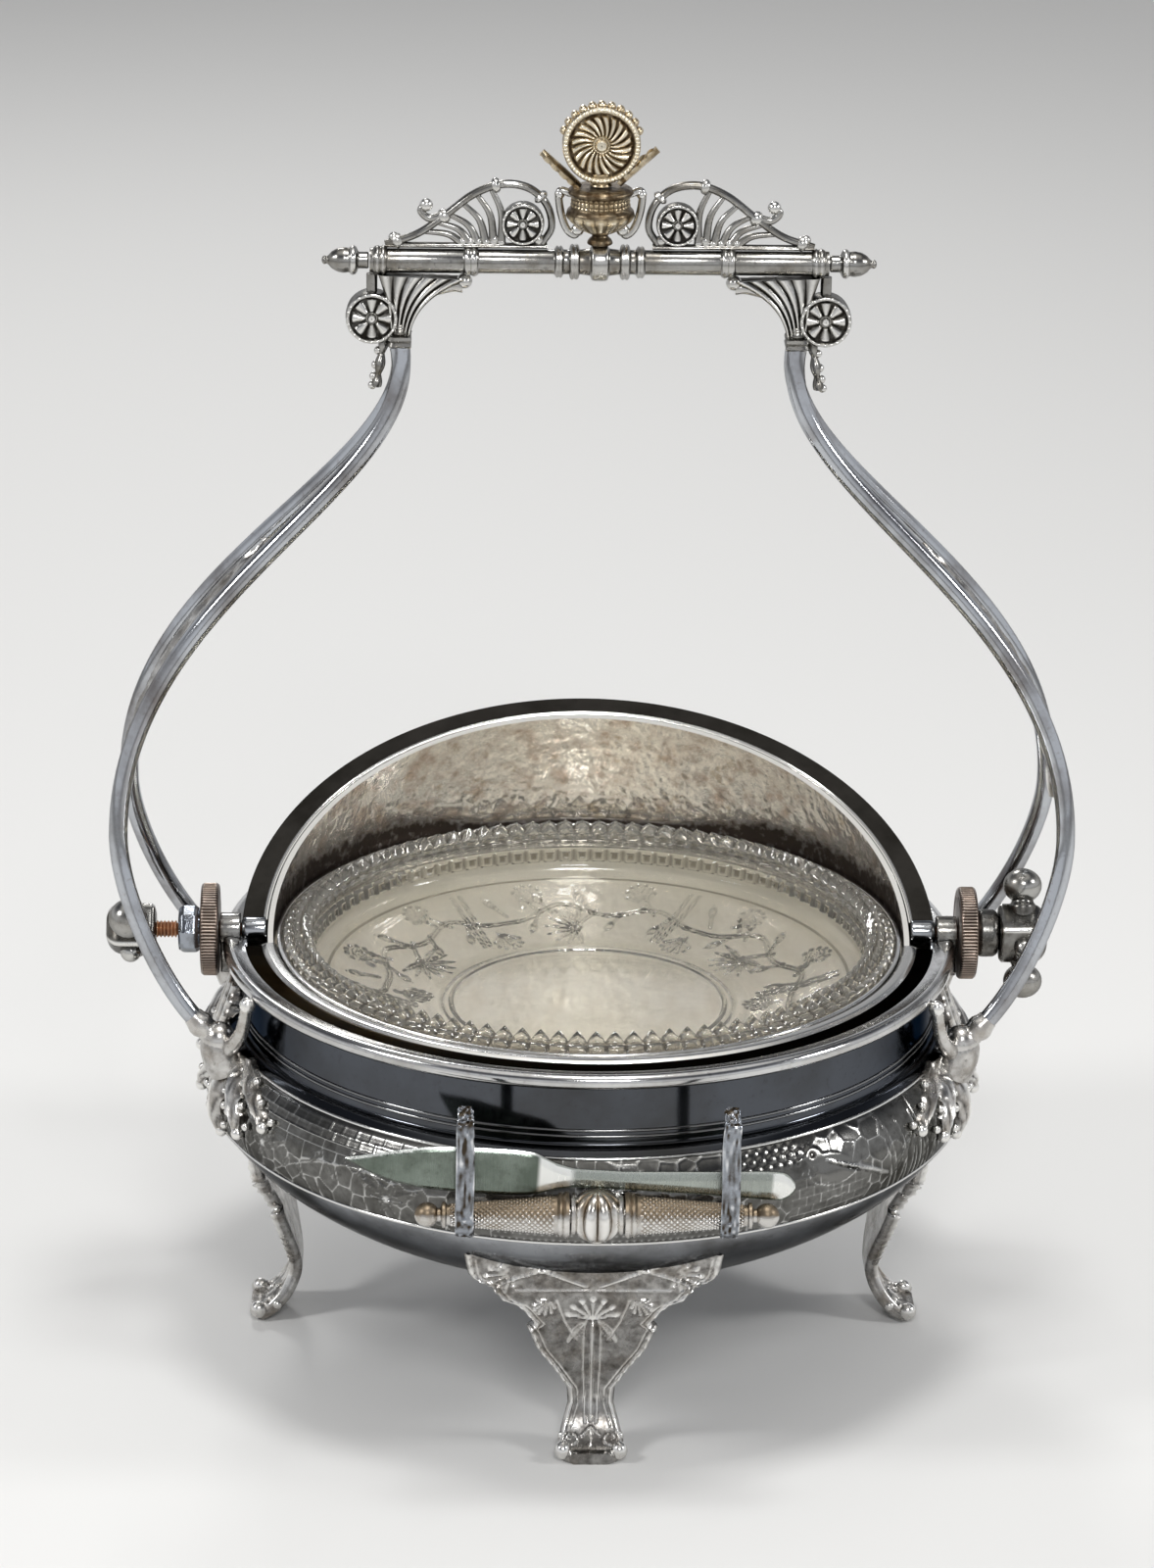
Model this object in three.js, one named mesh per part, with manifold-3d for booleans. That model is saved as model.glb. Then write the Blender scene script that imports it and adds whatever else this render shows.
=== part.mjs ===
// A caviar server with a revolving lid: a round footed bowl, a pressed glass dish in a ring,
// a domed lid that rolls under the dish on two screwed spindles, a four-wire bail handle with a
// cast crown, and a knife in a rack on the front. Millimetres, +Z up, standing on the ground.
import * as THREE from "three";
import { mergeVertices } from "three/addons/utils/BufferGeometryUtils.js";
import Module from "manifold-3d";

const wasm = await Module();
wasm.setup();

// Driving dimensions
const PIVOT_HEIGHT = 125;
const DISH_RADIUS = 91;
const SEAM = 0.3;
const FAR = 400;
const BAIL_HEIGHT = 205;
const BAIL_HALF_WIDTH = 138;

// Glass dish
const DISH_POINTS = 102;
const DISH_POINT_DEPTH = 1.6;
const DISH_RIM_HEIGHT = 5;
const DISH_RIM_WIDTH = 6.5;
const DISH_DEPTH = 22;
const GLASS_THICKNESS = 3.8;
const DISH_FLOOR_RADIUS = 46;

// Ring that holds the dish
const DISH_PLAY = 0.8;
const RING_WALL = 1.3;
const RING_LEDGE = 5.5;
const RING_LEDGE_THICKNESS = 1.4;
const RING_DROP = 5.8;

// Lid
const LID_CLEARANCE = 1.1;
const LID_WALL = 1.6;
const FLANGE_WIDTH = 7.5;
const FLANGE_THICKNESS = 1.3;
const FLANGE_REST = 0.4;
const LID_OPEN_ANGLE = 157;
const LUG_RADIUS = 3.75;

// Bowl and rim
const BOWL_WALL = 1.5;
const BOWL_CLEARANCE = 3;
const BELLY_OVERHANG = 11.5;
const BELLY_DROP = 42;
const SHOULDER_DROP = 24;
const SHOULDER_STEP = 4;
const NECK_TOP_DROP = 4.5;
const RIM_BEAD_RADIUS = 2.2;
const RIM_BAND_THICKNESS = 3.2;
const RIM_BAND_START = 9.5;

// Spindles
const AXLE_RADIUS = 2;
const RUNNING_GAP = 0.3;
const BEARING_RADIUS = 5;
const BEARING_LENGTH = 6.1;
const BEARING_DROP = 12;
const NUT_RADIUS = 13.8;
const NUT_WIDTH = 5.2;
const NUT_TEETH = 32;
const NUT_TOOTH_DEPTH = 0.45;
const COLLAR_RADIUS = 6.9;
const COLLAR_WIDTH = 6.5;
const KNOB_LENGTH = 14.6;
const KNOB_SIDE = 13.3;
const KNOB_ROUNDING = 5;
const KNOB_GRIP = 4;
const KNOB_BAR_REACH = 14.2;
const KNOB_BALL_RADIUS = 5.8;
const KNOB_BAR_RADIUS = 2.3;
const KNOB_NECK_RADIUS = 3;
const KNOB_STUD_RADIUS = 3;
// Turn of each knob on its spindle, turn of the bar in its block and length of bared thread.
const KNOB_STANCES = {
  left: { turn: 56, barTurn: 0, bared: 6.6 },
  right: { turn: 17.6, barTurn: -40, bared: 0 },
};

// Bail
const WIRE_RADIUS = 2.75;
const SOCKET_SPREAD = 36;
const SOCKET_RISE = 4.5;
const SOCKET_RADIUS = 4.6;
const BRACKET_DROP = 24.3;
const BRACKET_X = 56.9;
const BAR_RADIUS = 3.5;
const BAR_RING_RADIUS = 5.2;
const BAR_END = 65.4;
const ACORN_LENGTH = 13.4;
const VOLUTE_RADIUS = 7.4;
const VOLUTE_X = 64.8;
const VOLUTE_DROP = 16.3;
const ARCH_THICKNESS = 3.4;
const URN_RADIUS = 9.8;
const FINIAL_RADIUS = 11;
const FINIAL_THICKNESS = 6;
const LEAF_THICKNESS = 2;

// Feet
const FOOT_THICKNESS = 3.4;
const FOOT_WIDTH = 70;

// Knife rack and knife
const RACK_STANDOFF = 3.5;
const RACK_RISE = 4;
const RACK_HALF_LENGTH = 51;
const ROD_END_RADIUS = 2.9;
const ROD_INNER_RADIUS = 5.3;
const ROD_CORE_RADIUS = 2.4;
const BOSS_RADIUS = 7;
const BOSS_LENGTH = 15;
const BOSS_FLUTES = 10;
const HOOK_WIDTH = 5.5;
const HOOK_THICKNESS = 2.2;
const HOOK_HEIGHT = 39;
const HOOK_INSET = 14;
const KNIFE_LENGTH = 126;
const KNIFE_BLADE_HEIGHT = 13.8;
const KNIFE_THICKNESS = 1.7;
const KNIFE_TILT = 3.2;
const KNIFE_CLEARANCE = 0.8;

// Facets
const ROUND = 32;
const FINE = 12;
const SMALL = 8;
const WIRE_STEPS = 15;

// Sizes that follow from the ones above
const ringInner = DISH_RADIUS + DISH_PLAY;
const ringOuter = ringInner + RING_WALL;
const shellInner = ringOuter + LID_CLEARANCE;
const shellOuter = shellInner + LID_WALL;
const flangeOuter = shellOuter + SEAM + FLANGE_WIDTH;
const neckRadius = flangeOuter;
const bellyRadius = neckRadius + BELLY_OVERHANG;
const bellyHeight = PIVOT_HEIGHT - BELLY_DROP;
const shoulderHeight = PIVOT_HEIGHT - SHOULDER_DROP;
const neckTop = PIVOT_HEIGHT - NECK_TOP_DROP;
const bowlFloor = PIVOT_HEIGHT - shellOuter - BOWL_CLEARANCE - BOWL_WALL;
const rimTop = PIVOT_HEIGHT - FLANGE_REST;
const beadCentre = flangeOuter + 1.2 + RIM_BEAD_RADIUS;
const beadOuter = beadCentre + RIM_BEAD_RADIUS;
const notchHalf = BEARING_RADIUS + SEAM;
const bearingStart = flangeOuter + SEAM;
const nutStart = bearingStart + BEARING_LENGTH + SEAM;
const collarStart = nutStart + NUT_WIDTH + SEAM;
const knobStart = collarStart + COLLAR_WIDTH + SEAM;
const knobMiddle = knobStart + KNOB_LENGTH / 2;
const boreRadius = AXLE_RADIUS + RUNNING_GAP;
const barHeight = PIVOT_HEIGHT + BAIL_HEIGHT;
const bracketFoot = barHeight - BRACKET_DROP;
const socketHeight = shoulderHeight + SOCKET_RISE;
const socketReach = bellyRadius - SEAM;
const socketX = Math.sqrt(socketReach ** 2 - SOCKET_SPREAD ** 2);
const wirePair = WIRE_RADIUS + SEAM;
const crownBase = barHeight + BAR_RADIUS + SEAM;
const rackRadius = bellyRadius + RACK_STANDOFF;
const rackHeight = bellyHeight + RACK_RISE;
const hookX = RACK_HALF_LENGTH - HOOK_INSET;
const dishSeat = rimTop - RING_DROP + RING_LEDGE_THICKNESS + SEAM;

const radians = THREE.MathUtils.degToRad;
const v2 = (x, y) => new THREE.Vector2(x, y);
const v3 = (x, y, z) => new THREE.Vector3(x, y, z);

// Turns a closed geometry into a solid, with its faces pointing out.
function solidOf(geometry) {
  const source = geometry.index ? geometry.toNonIndexed() : geometry;
  const bare = new THREE.BufferGeometry();
  bare.setAttribute("position", source.getAttribute("position"));
  const merged = mergeVertices(bare, 1e-3);
  const vertProperties = merged.attributes.position.array;
  const triVerts = new Uint32Array(merged.index.array);
  const build = () => new wasm.Manifold(new wasm.Mesh({ numProp: 3, vertProperties, triVerts }));
  const solid = build();
  if (solid.volume() > 0) return solid;
  for (let i = 0; i < triVerts.length; i += 3) {
    [triVerts[i + 1], triVerts[i + 2]] = [triVerts[i + 2], triVerts[i + 1]];
  }
  return build();
}

function geometryOf(solid) {
  const mesh = solid.getMesh();
  const geometry = new THREE.BufferGeometry();
  geometry.setAttribute("position", new THREE.BufferAttribute(mesh.vertProperties, mesh.numProp));
  geometry.setIndex(new THREE.BufferAttribute(mesh.triVerts, 1));
  geometry.computeVertexNormals();
  return geometry;
}

function join(...geometries) {
  return geometries.map(solidOf).reduce((whole, piece) => whole.add(piece));
}

function cut(solid, ...geometries) {
  return geometries.map(solidOf).reduce((rest, tool) => rest.subtract(tool), solid);
}

// Revolves a profile of [radius, height] pairs about the Z axis.
function revolved(profile, segments = ROUND) {
  const points = profile.map((p) => (p.isVector2 ? p : v2(...p)));
  return new THREE.LatheGeometry(points, segments).rotateX(Math.PI / 2);
}

// Revolves a profile of [station, radius] pairs about the X axis.
function turnedAlongX(profile, segments = FINE) {
  const points = profile.map(([station, radius]) => v2(radius, station));
  return new THREE.LatheGeometry(points, segments).rotateZ(-Math.PI / 2);
}

// Revolves a profile of [radius, station] pairs about the Y axis.
function turnedAlongY(profile, segments = FINE) {
  return new THREE.LatheGeometry(profile.map((p) => v2(...p)), segments);
}

function cylinderAlongX(radius, from, to, segments = SMALL) {
  return turnedAlongX([[from, 0], [from, radius], [to, radius], [to, 0]], segments);
}

function box(low, high) {
  const size = high.map((value, i) => value - low[i]);
  const geometry = new THREE.BoxGeometry(...size);
  return geometry.translate(...low.map((value, i) => value + size[i] / 2));
}

function ball(radius, centre, segments = SMALL) {
  return new THREE.SphereGeometry(radius, segments, Math.round(segments * 0.7)).translate(...centre);
}

// Extrudes a shape drawn in X and Z along Y, centred on the XZ plane.
function plateXZ(shape, thickness, curveSegments = 8) {
  const options = { depth: thickness, bevelEnabled: false, curveSegments };
  const geometry = new THREE.ExtrudeGeometry(shape, options);
  return geometry.rotateX(Math.PI / 2).translate(0, thickness / 2, 0);
}

function roundSection(radius, sides) {
  const corners = Array.from({ length: sides }, (_, i) => {
    const angle = (i / sides) * Math.PI * 2;
    return v2(radius * Math.cos(angle), radius * Math.sin(angle));
  });
  return new THREE.Shape(corners);
}

function tube(path, radius, sides, steps) {
  const options = { steps, bevelEnabled: false, extrudePath: path };
  return new THREE.ExtrudeGeometry(roundSection(radius, sides), options);
}

// A flat strip that follows a curve lying in one upright plane, as wide across that plane as given.
function strap(path, width, thickness, steps) {
  const half = v2(width / 2, thickness / 2);
  const corners = [v2(-half.x, -half.y), v2(half.x, -half.y), v2(half.x, half.y), v2(-half.x, half.y)];
  const options = { steps, bevelEnabled: false, extrudePath: path };
  return new THREE.ExtrudeGeometry(new THREE.Shape(corners), options);
}

const smooth = (points) => new THREE.CatmullRomCurve3(points);

// Skins a row of sections with equal numbers of points and closes both ends.
function loft(sections) {
  const sides = sections[0].length;
  const positions = sections.flat().flatMap((p) => [p.x, p.y, p.z]);
  const index = [];
  for (let row = 0; row < sections.length - 1; row += 1) {
    for (let side = 0; side < sides; side += 1) {
      const next = (side + 1) % sides;
      const a = row * sides + side;
      const b = row * sides + next;
      index.push(a, b, a + sides, b, b + sides, a + sides);
    }
  }
  const last = (sections.length - 1) * sides;
  for (let side = 1; side < sides - 1; side += 1) {
    index.push(0, side + 1, side);
    index.push(last, last + side, last + side + 1);
  }
  const geometry = new THREE.BufferGeometry();
  geometry.setAttribute("position", new THREE.Float32BufferAttribute(positions, 3));
  geometry.setIndex(index);
  return geometry;
}

// A bevelled plate section about a centre, with its width along one vector and its depth on another.
function plateSection(centre, across, through, halfWidth, halfDepth) {
  const bevel = Math.min(halfWidth * 0.5, halfDepth);
  const outline = [
    [-halfWidth, 0],
    [bevel - halfWidth, halfDepth],
    [halfWidth - bevel, halfDepth],
    [halfWidth, 0],
    [halfWidth - bevel, -halfDepth],
    [bevel - halfWidth, -halfDepth],
  ];
  return outline.map(([u, v]) => centre.clone().addScaledVector(across, u).addScaledVector(through, v));
}

// Moves a profile to its left by a distance. A point on the axis stays on it.
function offsetProfile(points, distance) {
  return points.map((point, i) => {
    if (point.x === 0) return v2(0, point.y + distance);
    const before = points[Math.max(i - 1, 0)];
    const after = points[Math.min(i + 1, points.length - 1)];
    const along = after.clone().sub(before).normalize();
    return v2(point.x - along.y * distance, point.y + along.x * distance);
  });
}

// Bowl: outside face from the middle of the underside to the top of the neck.
function bowlOutside(undersideSteps = 7, shoulderSteps = 2) {
  const underside = new THREE.CubicBezierCurve(
    v2(0, bowlFloor),
    v2(bellyRadius * 0.43, bowlFloor + 1.5),
    v2(bellyRadius, bellyHeight - 24),
    v2(bellyRadius, bellyHeight),
  );
  const shoulderEdge = v2(neckRadius + SHOULDER_STEP, shoulderHeight - 2);
  const shoulder = new THREE.QuadraticBezierCurve(
    v2(bellyRadius, bellyHeight),
    v2(bellyRadius, (bellyHeight + shoulderHeight) / 2 + 1),
    shoulderEdge,
  );
  return [
    ...underside.getPoints(undersideSteps),
    ...shoulder.getPoints(shoulderSteps).slice(1),
    v2(neckRadius + SHOULDER_STEP / 2, shoulderHeight),
    v2(neckRadius, shoulderHeight + 0.6),
    v2(neckRadius, neckTop),
  ];
}

function undersideHeight(radius) {
  const points = bowlOutside();
  const i = points.findIndex((p) => p.x >= radius);
  const share = (radius - points[i - 1].x) / (points[i].x - points[i - 1].x);
  return THREE.MathUtils.lerp(points[i - 1].y, points[i].y, share);
}

function bowl() {
  const outside = bowlOutside();
  const inside = offsetProfile(bowlOutside(5, 1), BOWL_WALL);
  inside[inside.length - 1].y = neckTop;
  return solidOf(revolved([...outside, ...inside.reverse()]));
}

// The space that the bowl fills, grown by the seam, which cuts whatever is fastened to it.
function bowlSpace() {
  const outside = offsetProfile(bowlOutside(), -SEAM);
  return revolved([...outside, v2(0, neckTop)]);
}

// A ring with a rectangular section, cut off behind a line across it.
function frontBand(inner, outer, low, high, lineY) {
  const ring = solidOf(revolved([[inner, low], [outer, low], [outer, high], [inner, high], [inner, low]]));
  return cut(ring, box([-outer - 1, lineY, low - 1], [outer + 1, outer + 1, high + 1]));
}

function rimBead() {
  const sides = SMALL;
  const profile = Array.from({ length: sides + 1 }, (_, i) => {
    const angle = -(i / sides) * Math.PI * 2;
    const height = rimTop - RIM_BEAD_RADIUS + RIM_BEAD_RADIUS * Math.sin(angle);
    return v2(beadCentre + RIM_BEAD_RADIUS * Math.cos(angle), height);
  });
  return revolved(profile);
}

// Rim in two halves, parted at the bearings: a seat on the neck with a rolled edge, and on the
// front half also the flat band that the lid's flange shuts on.
function rimHalf(end) {
  const seatLow = neckTop + SEAM;
  const seatHigh = rimTop - 0.5;
  const seatInner = neckRadius - BOWL_WALL;
  const seat = revolved([
    [seatInner, seatLow],
    [beadCentre, seatLow],
    [beadCentre, seatHigh],
    [seatInner, seatHigh],
    [seatInner, seatLow],
  ]);
  const bandLow = rimTop - RIM_BAND_THICKNESS;
  const band = frontBand(ringOuter + SEAM, beadCentre, bandLow, rimTop, -RIM_BAND_START);
  const edge = join(seat, rimBead());
  const whole = end < 0 ? edge.add(band) : edge;
  const reach = beadOuter + 1;
  const near = end < 0 ? -notchHalf : -reach;
  const far = end < 0 ? reach : notchHalf;
  return cut(whole, box([-reach, near, seatLow - 5], [reach, far, rimTop + 1]));
}

function dishRing() {
  const low = rimTop - RING_DROP;
  const ledgeTop = low + RING_LEDGE_THICKNESS;
  const ledgeInner = ringInner - RING_LEDGE;
  return solidOf(revolved([
    [ledgeInner, low],
    [ringOuter, low],
    [ringOuter, rimTop],
    [ringInner, rimTop],
    [ringInner, ledgeTop],
    [ledgeInner, ledgeTop],
    [ledgeInner, low],
  ]));
}

// Glass dish: a shallow well with a ring moulded in its floor and a rim of pressed points.
function glassDish() {
  const wellTop = DISH_RADIUS - DISH_RIM_WIDTH;
  const rimHigh = dishSeat + DISH_RIM_HEIGHT;
  const floorLow = dishSeat - DISH_DEPTH;
  const floorHigh = floorLow + GLASS_THICKNESS;
  const wallOut = new THREE.CubicBezierCurve(
    v2(DISH_FLOOR_RADIUS, floorLow),
    v2(DISH_FLOOR_RADIUS + 18, floorLow + 3),
    v2(wellTop - 1, floorLow + 11),
    v2(wellTop + 0.6, dishSeat),
  );
  const wallIn = new THREE.CubicBezierCurve(
    v2(wellTop - 1, rimHigh - 1),
    v2(wellTop - 4, floorHigh + 7),
    v2(DISH_FLOOR_RADIUS + 16, floorHigh + 3),
    v2(DISH_FLOOR_RADIUS + 1.5, floorHigh),
  );
  const rimCrown = DISH_RADIUS - DISH_POINT_DEPTH - 1;
  const body = revolved([
    v2(0, floorLow),
    ...wallOut.getPoints(2),
    v2(rimCrown, dishSeat),
    v2(rimCrown, rimHigh - 1),
    v2(rimCrown - 2, rimHigh),
    ...wallIn.getPoints(3),
    v2(DISH_FLOOR_RADIUS - 0.5, floorHigh + 0.9),
    v2(DISH_FLOOR_RADIUS - 2.5, floorHigh),
    v2(0, floorHigh),
  ]);
  const outline = new THREE.Shape(Array.from({ length: DISH_POINTS * 2 }, (_, i) => {
    const radius = DISH_RADIUS - (i % 2) * DISH_POINT_DEPTH;
    const angle = (i / (DISH_POINTS * 2)) * Math.PI * 2;
    return v2(radius * Math.cos(angle), radius * Math.sin(angle));
  }));
  const hollow = new THREE.Path();
  hollow.absarc(0, 0, rimCrown - 1, 0, Math.PI * 2, true);
  outline.holes.push(hollow);
  const options = { depth: DISH_RIM_HEIGHT - 1.4, bevelEnabled: false, curveSegments: ROUND / 2 };
  const points = new THREE.ExtrudeGeometry(outline, options).translate(0, 0, dishSeat + 0.2);
  return join(body, points);
}

// Lid dome in its closed position, centred on the pivot: half a hollow ball, open at its rim plane.
function lidDome() {
  const steps = 8;
  const quarter = (radius, i) => {
    const angle = (i / steps) * (Math.PI / 2);
    return v2(radius * Math.sin(angle), radius * Math.cos(angle));
  };
  const inner = Array.from({ length: steps + 1 }, (_, i) => quarter(shellInner, i));
  const outer = Array.from({ length: steps + 1 }, (_, i) => quarter(shellOuter, steps - i));
  inner[0].x = 0;
  outer[steps].x = 0;
  inner[steps].y = 0;
  outer[0].y = 0;
  return solidOf(revolved([...inner, ...outer]));
}

function lidFlange() {
  const band = frontBand(shellOuter + SEAM, flangeOuter, 0, FLANGE_THICKNESS, 0);
  const lugs = cylinderAlongX(LUG_RADIUS + SEAM, -neckRadius - 1, neckRadius + 1);
  return cut(band, lugs);
}

// Lug at one end of the lid's rim, hollowed to fit the dome and bored for the axle.
function lidLug(side) {
  const body = solidOf(cylinderAlongX(LUG_RADIUS, side * (shellInner - 2), side * flangeOuter));
  const dome = new THREE.SphereGeometry(shellOuter + SEAM + 0.1, 48, 24);
  const bore = cylinderAlongX(boreRadius, side * (shellOuter + 3), side * (flangeOuter + 1));
  return cut(body, dome, bore);
}

function axle(side, bared) {
  const start = shellOuter + 3 + SEAM;
  const end = knobStart + bared + KNOB_GRIP - SEAM;
  return solidOf(cylinderAlongX(AXLE_RADIUS, side * start, side * end));
}

function bearing(side) {
  const near = bearingStart;
  const far = bearingStart + BEARING_LENGTH;
  const low = [Math.min(side * near, side * far), 1 - BEARING_RADIUS, -BEARING_DROP];
  const high = [Math.max(side * near, side * far), BEARING_RADIUS - 1, 0];
  const body = join(cylinderAlongX(BEARING_RADIUS, side * near, side * far), box(low, high));
  return cut(body, cylinderAlongX(boreRadius, side * (near - 1), side * (far + 1)));
}

// Leaf-shaped wedge that props the bearing from the shoulder of the bowl.
function bearingProp(side) {
  const top = PIVOT_HEIGHT - BEARING_DROP - SEAM;
  const foot = shoulderHeight - 5;
  const rows = 6;
  const sections = Array.from({ length: rows + 1 }, (_, i) => {
    const share = i / rows;
    const height = THREE.MathUtils.lerp(top, foot, share);
    const inner = neckRadius + SEAM;
    const outer = neckRadius + 3 + 6 * share;
    const centre = v3(side * ((inner + outer) / 2), 0, height);
    const halfWidth = 2 + 7 * Math.sin(share * Math.PI * 0.55);
    return plateSection(centre, v3(0, 1, 0), v3(1, 0, 0), halfWidth, (outer - inner) / 2);
  });
  return cut(solidOf(loft(sections)), bowlSpace());
}

// Knurled friction nut on a spindle.
function nut(side) {
  const shape = new THREE.Shape(Array.from({ length: NUT_TEETH * 2 }, (_, i) => {
    const radius = NUT_RADIUS - (i % 2) * NUT_TOOTH_DEPTH;
    const angle = (i / (NUT_TEETH * 2)) * Math.PI * 2;
    return v2(radius * Math.cos(angle), radius * Math.sin(angle));
  }));
  const bore = new THREE.Path();
  bore.absarc(0, 0, boreRadius, 0, Math.PI * 2, true);
  shape.holes.push(bore);
  const options = { depth: NUT_WIDTH, bevelEnabled: false, curveSegments: FINE / 2 };
  const disc = new THREE.ExtrudeGeometry(shape, options).rotateY(Math.PI / 2);
  return solidOf(disc.translate(side > 0 ? nutStart : -nutStart - NUT_WIDTH, 0, 0));
}

function collar(side) {
  const profile = [
    [0, boreRadius],
    [0, COLLAR_RADIUS - 1.6],
    [1.2, COLLAR_RADIUS],
    [3.2, COLLAR_RADIUS - 0.6],
    [COLLAR_WIDTH - 1, COLLAR_RADIUS],
    [COLLAR_WIDTH, COLLAR_RADIUS - 1.4],
    [COLLAR_WIDTH, boreRadius],
    [0, boreRadius],
  ];
  return solidOf(turnedAlongX(profile.map(([x, r]) => [side * (collarStart + x), r])));
}

// Body of a knob, square with a rounded outer end, with all its faces moved out by the growth.
function knobBody(side, growth = 0) {
  const half = KNOB_SIDE / 2 + growth;
  const inner = knobStart - growth;
  const turning = knobStart + KNOB_LENGTH + growth - KNOB_ROUNDING;
  const shape = new THREE.Shape();
  shape.moveTo(inner, -half);
  shape.lineTo(turning, -half);
  shape.absarc(turning, KNOB_ROUNDING - half, KNOB_ROUNDING, -Math.PI / 2, 0, false);
  shape.absarc(turning, half - KNOB_ROUNDING, KNOB_ROUNDING, 0, Math.PI / 2, false);
  shape.lineTo(inner, half);
  return plateXZ(shape, half * 2, 5).scale(side, 1, 1);
}

// Round bar across the middle of a knob, turned about the spindle.
function crossBar(side, radius, reach, turn) {
  const bar = new THREE.CylinderGeometry(radius, radius, reach * 2, SMALL);
  return bar.rotateX(Math.PI / 2 + radians(turn)).translate(side * knobMiddle, 0, 0);
}

// Knob block, bored for the axle and for its ball-ended bar.
function knobBlock(side, barTurn) {
  const bore = cylinderAlongX(boreRadius, side * (knobStart - 1), side * (knobStart + KNOB_GRIP));
  return cut(solidOf(knobBody(side)), bore, crossBar(side, KNOB_BAR_RADIUS + SEAM, KNOB_SIDE, barTurn));
}

// Ball-ended bar of a knob, with a thicker neck between the block and each ball.
function knobBar(side, barTurn) {
  const balls = [-1, 1].map((end) => {
    const sphere = ball(KNOB_BALL_RADIUS, [side * knobMiddle, 0, end * KNOB_BAR_REACH]);
    return sphere.rotateX(radians(barTurn));
  });
  const necks = crossBar(side, KNOB_NECK_RADIUS, KNOB_BAR_REACH, barTurn);
  const core = crossBar(side, KNOB_BAR_RADIUS, KNOB_BAR_REACH, barTurn);
  return cut(join(necks, ...balls), knobBody(side, SEAM)).add(solidOf(core));
}

// Stud on the front or back face of a knob.
function knobStud(side, face) {
  const y = face * (KNOB_SIDE / 2 + SEAM);
  const sphere = solidOf(ball(KNOB_STUD_RADIUS, [side * knobMiddle, y, 0]));
  const behind = face > 0 ? [[-FAR, -FAR, -FAR], [FAR, y, FAR]] : [[-FAR, y, -FAR], [FAR, FAR, FAR]];
  return cut(sphere, box(...behind));
}

// Bail wire: distance out from the middle and height are two curves; the spread narrows evenly
// from the socket to the bracket.
function wireSpread(height) {
  const share = (height - socketHeight) / (bracketFoot - socketHeight);
  return THREE.MathUtils.lerp(SOCKET_SPREAD, wirePair, share);
}

function wirePath(side, end) {
  const path = new THREE.CurvePath();
  const at = (x, z) => v3(side * x, end * wireSpread(z), z);
  const waist = PIVOT_HEIGHT + BAIL_HEIGHT * 0.193;
  const climb = BAIL_HEIGHT * 0.34;
  const settle = BAIL_HEIGHT * 0.193;
  const top = bracketFoot - SEAM;
  path.add(new THREE.CubicBezierCurve3(
    at(socketX, socketHeight),
    at(socketX + 12.1, socketHeight + 5.3),
    at(BAIL_HALF_WIDTH, waist - 19.9),
    at(BAIL_HALF_WIDTH, waist),
  ));
  path.add(new THREE.CubicBezierCurve3(
    at(BAIL_HALF_WIDTH, waist),
    at(BAIL_HALF_WIDTH, waist + climb),
    at(BRACKET_X - 7.8, top - settle),
    at(BRACKET_X, top),
  ));
  return path;
}

function bailWire(side, end) {
  const wire = solidOf(tube(wirePath(side, end), WIRE_RADIUS, SMALL, WIRE_STEPS));
  return cut(wire, box([-FAR, -FAR, bracketFoot - SEAM], [FAR, FAR, FAR]));
}

// Cast socket on the shoulder that takes the foot of a wire, with a prong up to the rim
// and a leaf laid down the band.
function socket(side, end) {
  const centre = v3(side * socketX, end * SOCKET_SPREAD, socketHeight - 1);
  const azimuth = Math.atan2(SOCKET_SPREAD, socketX);
  const onBowl = (radius, turn, height) => {
    const angle = azimuth + turn;
    return v3(side * radius * Math.cos(angle), end * radius * Math.sin(angle), height);
  };
  const stem = tube(
    new THREE.LineCurve3(onBowl(bellyRadius - 6, 0, shoulderHeight - 8), centre),
    SOCKET_RADIUS - 0.6, 6, 1);
  const prongFoot = onBowl(bellyRadius - 3, 0.04, shoulderHeight - 3);
  const prongTop = onBowl(beadCentre + 0.6, 0.11, rimTop - RIM_BEAD_RADIUS);
  const prongMid = onBowl(beadCentre + 1.8, 0.1, (shoulderHeight + rimTop) / 2 - 1);
  const prong = tube(smooth([prongFoot, prongMid, prongTop]), 1.8, 5, 2);
  const leaf = ball(1, [0, 0, 0], 6).scale(3.4, 5.6, 10);
  leaf.rotateY(side * -0.18).rotateZ(Math.atan2(end * SOCKET_SPREAD, side * socketX));
  leaf.translate(...onBowl(bellyRadius - 1.4, 0, shoulderHeight - 9));
  const body = join(ball(SOCKET_RADIUS, centre, SMALL), stem, prong, leaf);
  const bore = tube(wirePath(side, end), WIRE_RADIUS + SEAM, SMALL, WIRE_STEPS);
  const clearRim = revolved([
    [neckRadius, neckTop + SEAM - 0.4],
    [beadCentre, rimTop - 2 * RIM_BEAD_RADIUS - SEAM],
    [beadOuter - 0.3, rimTop - RIM_BEAD_RADIUS - 1.6],
    [beadOuter + SEAM, rimTop - RIM_BEAD_RADIUS],
    [beadOuter, rimTop + 1],
    [neckRadius, rimTop + 1],
    [neckRadius, neckTop + SEAM - 0.4],
  ]);
  return cut(body, bowlSpace(), bore, clearRim);
}

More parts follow.
